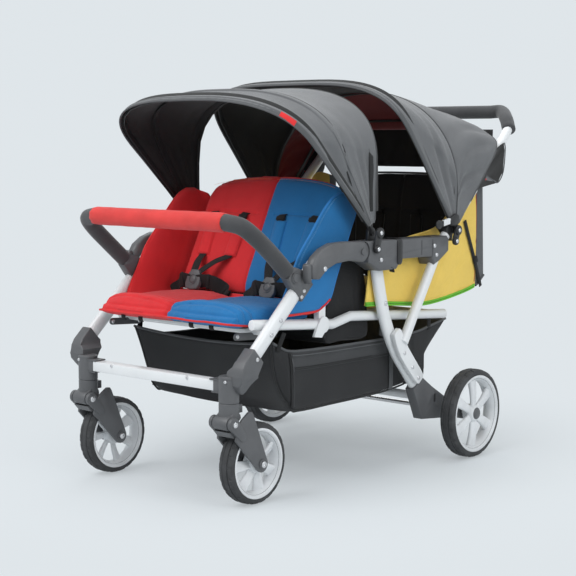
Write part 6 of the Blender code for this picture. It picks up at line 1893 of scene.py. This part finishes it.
# %% Basket shell
BASKET_HALF, BASKET_CUT = 0.2335, (0.745, 1.010)
WAIST_IN, WAIST_END = 0.045, 0.17
FLOOR_PATH = [(-0.2940, 0.3610), (-0.2620, 0.2560), (-0.2240, 0.1960), (-0.1900, 0.1870), (-0.0700, 0.1865),
              (0.0520, 0.1865), (0.1500, 0.1885), (0.2400, 0.1960), (0.3150, 0.2080), (0.3200, 0.2660),
              (0.4160, 0.3510)]
RIM_PATH = [(-0.2930, 0.3630), (-0.2660, 0.3500), (-0.2340, 0.3380), (-0.1700, 0.3330), (-0.0700, 0.3300),
            (0.0520, 0.3280), (0.1500, 0.3270), (0.2250, 0.3270), (0.2900, 0.3320), (0.3400, 0.3400),
            (0.4160, 0.3530)]


def basket_side(v, j):
    """How far out the side panel stands, j from 0 at the floor to 1 at the rim."""
    full = bump((v - 0.45) / 0.55, 4)
    out = 0.0042 * bump(j * 2 - 1, 2.4) * full
    out += 0.0016 * wander(v * 9.0, j * 2.2, 1.0) * full
    out -= 0.0030 * groove(v - 0.05 * j, 0.700, 0.012) * full
    return out


def basket(u, v):
    low, high = line_at(FLOOR_PATH, v), line_at(RIM_PATH, v)
    waist = 1.0 - WAIST_IN * math.sin(math.pi * min(1.0, v / WAIST_END))
    across = abs(u)
    s = 1 if u > 0 else -1
    side_share = 0.36
    ripple = wander(u * 4.0, v * 9.0, 2.0)
    if across > 1 - side_share:
        j = (across - (1 - side_share)) / side_share
        y, z = share(low, high, j)
        round_in = 0.0100 * max(0.0, 1 - j / 0.10) ** 2
        x = BASKET_HALF - 0.0012 + basket_side(v, j) - round_in
        return at(s * x * (1.0 + (waist - 1.0) * max(0.0, 1.0 - j) ** 0.7), y, z + 0.0010 * (1 - j))
    u_in = u / (1 - side_share)
    sag = 0.0060 * bump(u_in, 2.2) * bump(v * 2 - 1, 4)
    front = max(0.0, 1.0 - v / 0.26)
    hollow = 0.0340 * bump(u_in, 2.0) * math.sin(math.pi * min(1.0, front * 0.62 + 0.2)) * min(1.0, front * 3)
    drop = 0.0150 * bump(u_in, 2.0) * front ** 2
    rear = max(0.0, (v - 0.80) / 0.20)
    fold = 0.0055 * math.sin(math.pi * rear) * math.sin(u_in * 15.0 + 2.0 * ripple) * bump(u_in, 6)
    edge = 0.0100 * max(0.0, (abs(u_in) - 0.94) / 0.06) ** 2
    x = u_in * (BASKET_HALF - 0.0112) * waist
    return at(x, low[0] + hollow - fold + 0.0015 * ripple * front, low[1] - sag - drop + edge * 0.15
              + 0.0020 * ripple * bump(v * 2 - 1, 4))


bm = cloth_grid(150, 96, BASKET_CUT, lambda u, v: basket(u * 2 - 1, v))
for face in bm.faces:
    spot = face.calc_center_median()
    y, z = spot.y - HALF_WAY, spot.z
    top = 0.3370 + (0.3250 - 0.3370) * (y + 0.234) / 0.459
    if abs(spot.x) > BASKET_HALF - 0.006 and -0.232 < y < 0.222 and z > top - 0.0400:
        face.material_index = 1
shell = keep("basket_shell", bm, [BASKET, POCKET, BASKET, POCKET], "front_frame",
             ("basket",),
             smooth=180)
walled(shell, 0.0020, -1.0)
for side, s in (("left", 1), ("right", -1)):
    def edge(v, j, out):
        y, z = share(line_at(FLOOR_PATH, v), line_at(RIM_PATH, v), j)
        waist = -WAIST_IN * math.sin(math.pi * min(1.0, v / WAIST_END)) * max(0.0, 1.0 - j) ** 0.7
        return at(s * (BASKET_HALF + basket_side(v, j) + out) * (1.0 + waist), y, z)

    keep("basket_rim_binding_" + side,
         swept([edge(i / 90, 1.0, -0.0002) for i in range(91)], ring(0.0032, 8)),
         CHARCOAL_EDGE, "front_frame")
    keep("basket_floor_binding_" + side,
         swept([edge(i / 90, 0.012, -0.0052) for i in range(91)], ring(0.0026, 8)),
         DARK_EDGE, "front_frame")
    for drop, label in ((0.7200, "pocket"), (0.9300, "upper")):
        seam = [edge(0.20 + 0.52 * i / 70, drop, 0.0012) for i in range(71)]
        keep("_".join(("basket", label, "tape", side)), swept(seam, slab(0.0030, 0.0014), side=(0, 0, 1)),
             DARK_EDGE if label == "pocket" else CHARCOAL_EDGE, "front_frame")
        stitched("_".join(("basket", label, "stitches", side)),
                 [p + Vector((0.0, 0.0, -0.0035)) for p in seam],
                 0.0052, CHARCOAL_EDGE, "front_frame", (s, 0.0, 0.0))
    band = [edge(0.615, 0.03 + 0.98 * i / 14, 0.0016) for i in range(15)]
    band += [at(s * (BASKET_HALF + 0.0050), 0.1180, 0.3450), at(s * 0.2440, 0.1150, 0.3800)]
    bm = swept(band, slab(0.0160, 0.0022), side=(0, 1, 0))
    keep("basket_side_band_" + side, bm, CHARCOAL_EDGE, "front_frame")
    snap = [(0.0, -0.0006), (0.0056, -0.0006), (0.0056, 0.0012), (0.0044, 0.0026), (0.0034, 0.0026),
            (0.0028, 0.0010),
            (0.0, 0.0008)]
    keep("basket_snap_" + side, turned(snap, edge(0.615, 1.0, 0.0032), 28, (s, 0, 0)), BLACK, "front_frame")
    zipper = [edge(0.205, 0.05 + 0.92 * i / 20, 0.0014) for i in range(21)]
    bm = swept(zipper, slab(0.0120, 0.0016), side=(0, 1, 0))
    keep("basket_zip_tape_" + side, bm, DARK_EDGE, "front_frame")
    teeth = [p + Vector((s * 0.0014, 0.0, 0.0)) for p in zipper]
    stitched("basket_zip_teeth_" + side, teeth, 0.0032, STEEL_DARK, "front_frame", (s, 0.0, 0.0), long=0.55,
             radius=0.0012)
    pull = [edge(0.205, 0.88, 0.0044), edge(0.208, 0.76, 0.0050), edge(0.208, 0.66, 0.0050)]
    keep("basket_zip_pull_" + side, eased(swept(pull, slab(0.0042, 0.0016), side=(0, 1, 0)), 0.0005, 40),
         STEEL_DARK, "front_frame")
for end, v, out in (("front", 0.001, (0.0, -0.0012, 0.0016)), ("rear", 0.999, (0.0, 0.0008, 0.0010))):
    rim = [basket(u / 40 * 0.64, v) + Vector(out) for u in range(-40, 41)]
    keep("_".join(("basket", end, "binding")), swept(rim, ring(0.0034, 8)), CHARCOAL_EDGE, "front_frame")
for side, s in (("left", 1), ("right", -1)):
    bm = bmesh.new()
    for y, low in ((-0.2660, 0.3450), (0.3300, 0.3360)):
        near = -0.010 if y < 0 else 0.008
        hang = [at(s * 0.2340, y + near, low - 0.004), at(s * 0.2370, y + near * 0.4, low + 0.016),
                at(s * 0.2420, y - near * 0.4, low + 0.040)]
        add(bm, swept(curve(hang, 5), slab(0.0160, 0.0022), side=(0, 1, 0.2)))
    keep("basket_hanging_straps_" + side, bm, WEBBING, "front_frame")
print("basket", len(shell.data.polygons), "faces")

# %% [markdown]
# ## Footwell
# The footwell of the rear seats is a black cloth box between the two seat rows, with soft padded walls.

# %% Footwell box
FOOT_LOW = [(-0.0980, 0.3420), (-0.0400, 0.3420), (0.0100, 0.3420), (0.0620, 0.3420), (0.0680, 0.3600)]
FOOT_HIGH = [(-0.0980, 0.4100), (-0.0700, 0.5290), (0.0000, 0.5390), (0.0500, 0.5090), (0.0680, 0.3920)]


def foot_wall(s):
    def place(u, v, w):
        length, rise = (u + 1.0) / 2.0, (v + 1.0) / 2.0
        y, z = share(line_at(FOOT_LOW, length), line_at(FOOT_HIGH, length), rise)
        soft = bump(u, 6) * bump(v, 6)
        outer = 0.2322 + 0.0032 * soft - 0.0030 * groove(y, 0.012, 0.004) * soft
        inner = 0.2300 - 0.0040 * soft
        wave = 0.0012 * wander(y * 22.0, z * 18.0, 6.0)
        return at(s * (inner + (outer - inner) * w - wave), y, z)
    return cushion_grid(30, 30, 3, place)


def foot_tray(u, v):
    path = [(-0.1010, 0.4470), (-0.0985, 0.4050), (-0.0950, 0.3460), (-0.0400, 0.3432), (0.0600, 0.3432),
            (0.0668, 0.3920)]
    y, z = line_at(path, v)
    x = (u * 2 - 1) * 0.2318
    return at(x, y, z - 0.0020 * bump(u * 2 - 1) * bump(v * 2 - 1, 4) + 0.0010 * wander(u * 4, v * 4, 5.0))


for side, s in (("left", 1), ("right", -1)):
    stuffed("footwell_wall_" + side, foot_wall(s), [BLACK_PAD], "front_frame",
            ("footwell",) if s > 0 else ())
cloth_sheet("footwell_tray", 80, 50, (0.472, 0.340), foot_tray, [FOOT_CLOTH], "front_frame",
            thick=0.0030)
print("footwell done")

# %% [markdown]
# ## Small hardware
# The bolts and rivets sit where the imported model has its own. A ray from outside finds the surface that
# each one lies on. Those on the inside of the castor forks and on the castor's sleeve are placed by their
# numbers, because those surfaces are new.

# %% Bolts and rivets
TREES = {}


def on_face(name, start, way):
    """Where a ray from start first meets a CAD node."""
    if name not in TREES:
        mesh, place = CAD[name].data, CAD[name].matrix_world
        TREES[name] = BVHTree.FromPolygons([place @ v.co for v in mesh.vertices],
                                           [tuple(p.vertices) for p in mesh.polygons])
    return TREES[name].ray_cast(start, Vector(way))[0]


def side_spots(name, spots, s):
    found = [on_face(name, at(s * 0.9, y, z), (-s, 0.0, 0.0)) for y, z in spots]
    return [p for p in found if p]


def bounds_of(name):
    corners = [CAD[name].matrix_world @ Vector(c) for c in CAD[name].bound_box]
    return [min(c[i] for c in corners) for i in range(3)], [max(c[i] for c in corners) for i in range(3)]


for which, s in (("left", 1), ("right", -1)):
    x_axis = (s, 0.0, 0.0)
    for name, owner, spots, body, radius, high in (
            ("front_leg_rivets_", "front_leg_", ((-0.3561, 0.3940), (-0.3236, 0.4239)),
             "front_frame", 0.0056, 0.0026),
            ("rear_leg_rivet_", "rear_leg_", ((0.0760, 0.4280),), "rear_frame", 0.0056, 0.0026),
            ("handle_plate_rivets_", "push_handle", ((0.1375, 0.2971), (0.1725, 0.2565), (0.1994, 0.2258)),
             "rear_frame", 0.0054, 0.0026),
            ("housing_rivets_", "arm_housing_", ((0.0170, 0.5420), (0.2440, 0.5640), (0.2560, 0.5400)),
             "rear_frame", 0.0056, 0.0026),
            ("arm_rivet_", "armrest_", ((-0.2000, 0.5350),), "arm_" + which, 0.0062, 0.0026),
            ("fork_pivot_bolt_", "castor_fork_", (PIVOT,), "fork_" + which, 0.0070, 0.0034),
            ("front_axle_nut_", "castor_fork_", (FRONT_AXLE,), "fork_" + which, 0.0080, 0.0040)):
        owner += which if owner.endswith("_") else ""
        screws(name + which, side_spots(owner, spots, s), body, x_axis, radius=radius, high=high)
    spots = [at(s * (STEER_X - AXLE_HALF), *PIVOT), at(s * (STEER_X - AXLE_HALF), *FRONT_AXLE)]
    screws("fork_inner_bolts_" + which, spots, "fork_" + which, (-s, 0.0, 0.0), radius=0.0076, high=0.0036)
    low, high = bounds_of("bar_socket_" + which)
    spots = [(low[1] + (high[1] - low[1]) * a - HALF_WAY, low[2] + (high[2] - low[2]) * b)
             for a, b in ((0.62, 0.30), (0.52, 0.14))]
    screws("socket_rivets_" + which, side_spots("bar_socket_" + which, spots, s), "front_frame", x_axis,
           radius=0.0050)
    low, high = bounds_of("castor_housing_" + which)
    middle = [(a + b) / 2 for a, b in zip(low, high)]
    spot = on_face("castor_housing_" + which, Vector((middle[0], -2.0, middle[2] - 0.012)), (0.0, 1.0, 0.0))
    if spot:
        screws("castor_housing_screw_" + which, [spot], "front_frame", (0.0, -1.0, 0.0), radius=0.0040)
    spots = [at(s * (LEG_OUT + SLEEVE_WALL), -0.4080, 0.3440)]
    screws("leg_sleeve_rivet_" + which, spots, "front_frame", x_axis, radius=0.0050)
screw_z = bounds_of("front_cross_bar")[0][2] + 0.020
spots = [on_face("front_cross_bar", Vector((x, -2.0, screw_z)), (0.0, 1.0, 0.0)) for x in (-0.1350, 0.1200)]
screws("cross_bar_screws", [p for p in spots if p], "front_frame", (0.0, -1.0, 0.0), radius=0.0044)

# %% [markdown]
# Each canopy turns on a black bracket that is bolted to the arm housing. A second bolt holds its foot. The
# brackets are outlines extruded across their thickness, with eased edges.

# %% Canopy pivots and clips
def link_outline(a, b, radius_a, radius_b, steps=14):
    """Outline of a flat link between two round ends, in the side view."""
    a, b = Vector(a), Vector(b)
    angle = math.atan2(b.y - a.y, b.x - a.x)
    points = []
    for centre, radius, start in ((a, radius_a, angle + math.pi / 2), (b, radius_b, angle - math.pi / 2)):
        for i in range(steps + 1):
            turn = start + math.pi * i / steps
            points.append((centre.x + radius * math.cos(turn), centre.y + radius * math.sin(turn)))
    return points


CAP = [(-0.001, 0.0), (0.0040, 0.0), (0.0040, 0.0050), (0.0052, 0.0064), (0.0052, 0.0090), (0.0040, 0.0120),
       (0.0012, 0.0136), (-0.001, 0.0136)]
for which, s in (("left", 1), ("right", -1)):
    bolts = []
    for row, pivot, foot, out in (("front", F_PIVOT, (-0.0080, 0.5700), 0.3150),
                                  ("rear", R_PIVOT, (0.3240, 0.5720), 0.3195)):
        outline = link_outline(pivot, foot, 0.0125, 0.0100)
        bm = prism(outline, s * out, s * (out + 0.0060))
        eased(bm, 0.0012, 30, 2)
        for spot, size in ((pivot, 1.0), (foot, 0.78)):
            cap = [(x, r * size) for x, r in CAP]
            add(bm, turned(cap, at(s * (out + 0.0055), *spot), 36, (s, 0, 0)))
            bolts.append(at(s * (out + 0.0098), *spot))
        keep("_".join((row, "canopy_bracket", which)), bm, BLACK, "rear_frame", smooth=34)
    screws("canopy_bolts_" + which, bolts, "rear_frame", (s, 0, 0), radius=0.0056, high=0.0024)
    bm = prism([(0.2960, 0.6220), (0.3000, 0.6330), (0.3250, 0.6440), (0.3380, 0.6380), (0.3400, 0.6200),
                (0.3300, 0.6120), (0.3040, 0.6130)], s * 0.3170, s * 0.3265)
    keep("canopy_clip_base_" + which, eased(bm, 0.0022, 30, 3), BLACK, "rear_frame")
    bm = bmesh.new()
    for i in range(5):
        y = 0.2690 + 0.0058 * i
        end, rise = y + 0.0044, 0.0010 * i
        rib = prism([(y, 0.6130 + rise), (end, 0.6138 + rise), (end, 0.6290 + rise), (y, 0.6282 + rise)],
                    s * 0.3180, s * 0.3262)
        add(bm, eased(rib, 0.0010, 30, 2))
    core = prism([(0.2660, 0.6150), (0.3000, 0.6200), (0.3000, 0.6310), (0.2660, 0.6260)], s * 0.3192,
                 s * 0.3250)
    add(bm, core)
    keep("canopy_clip_ribs_" + which, bm, WHITE, "rear_frame")
    loop = [at(s * 0.3222, 0.2500 + 0.0105 * math.cos(a), 0.6180 + 0.0085 * math.sin(a))
            for a in [2 * math.pi * i / 28 for i in range(29)]]
    bm = swept(loop, flat_oval(0.0066, 0.0066, 3), side=(1.0, 0.0, 0.0))
    bar = prism([(0.2590, 0.6120), (0.2680, 0.6130), (0.2680, 0.6270), (0.2590, 0.6260)], s * 0.3185,
                s * 0.3258)
    add(bm, eased(bar, 0.0012, 30, 2))
    keep("canopy_clip_eye_" + which, bm, BLACK, "rear_frame")


HOUSING_Z = 0.5600


def band_round(name, y, wide, thick, which, s):
    """A band that goes round the arm housing at one place."""
    node_name = "arm_housing_" + which
    out = on_face(node_name, at(s * 0.9, y, HOUSING_Z), (-s, 0, 0)).x
    inner = on_face(node_name, at(s * 0.2, y, HOUSING_Z), (s, 0, 0)).x
    across = (out + inner) / 2
    top = on_face(node_name, at(across, y, 0.9), (0, 0, -1)).z
    low = on_face(node_name, at(across, y, 0.3), (0, 0, 1)).z
    half_x, half_z = abs(out - inner) / 2 + thick / 2, (top - low) / 2 + thick / 2
    loop = []
    for i in range(65):
        a = 2 * math.pi * i / 64 + 0.4
        c, d = math.cos(a), math.sin(a)
        loop.append(at(across + half_x * math.copysign(abs(c) ** 0.30, c), y,
                       (top + low) / 2 + half_z * math.copysign(abs(d) ** 0.30, d)))
    band = swept(loop, slab(wide, thick), sides=[(0.0, 1.0, 0.0)] * len(loop))
    keep(name + which, band, BLACK, "rear_frame")


for which, s in (("left", 1), ("right", -1)):
    for name, y, wide, thick in (("housing_strap_ring_", 0.0940, 0.0200, 0.0036),
                                 ("housing_seam_line_", 0.1900, 0.0016, 0.0008),
                                 ("housing_end_seam_", 0.2380, 0.0014, 0.0008)):
        band_round(name, y, wide, thick, which, s)
    flap = [at(s * 0.3060, 0.0600, 0.5210), at(s * 0.3040, 0.0720, 0.5160), at(s * 0.3020, 0.0780, 0.5080)]
    keep("housing_strap_tail_" + which, swept(curve(flap, 4), slab(0.0140, 0.0024)), WEBBING, "rear_frame")

# %% [markdown]
# Under the front seat there are a grey link with a rivet on each side and small webbing tabs that hold the
# cushion to the rail.

# %% Under the front seat
for which, s in (("left", 1), ("right", -1)):
    bm = prism(link_outline((-0.3900, 0.3860), (-0.3020, 0.3800), 0.0085, 0.0085), s * 0.2060, s * 0.2110)
    keep("under_seat_link_" + which, eased(bm, 0.0012, 30, 2), GREY, "front_frame")
    for face, way in ((0.2114, s), (0.2056, -s)):
        screws("_".join(("under_seat_rivets", which, "out" if way == s else "in")),
               [at(s * face, -0.3900, 0.3860), at(s * face, -0.3020, 0.3800)], "front_frame", (way, 0, 0),
               radius=0.0052)
bm = bmesh.new()
for x in (-0.1500, -0.0900, 0.0800, 0.1450):
    tab = [at(x, -0.4060, 0.4110), at(x, -0.4070, 0.4060), at(x, -0.4060, 0.4010), at(x, -0.4030, 0.3975)]
    add(bm, swept(curve(tab, 5), slab(0.0150, 0.0020)))
keep("cushion_tabs", bm, WEBBING, "front_frame")
rail = bounds_of("seat_rails")
print("hardware done, rails reach", [round(v, 4) for v in rail[0]], [round(v, 4) for v in rail[1]])
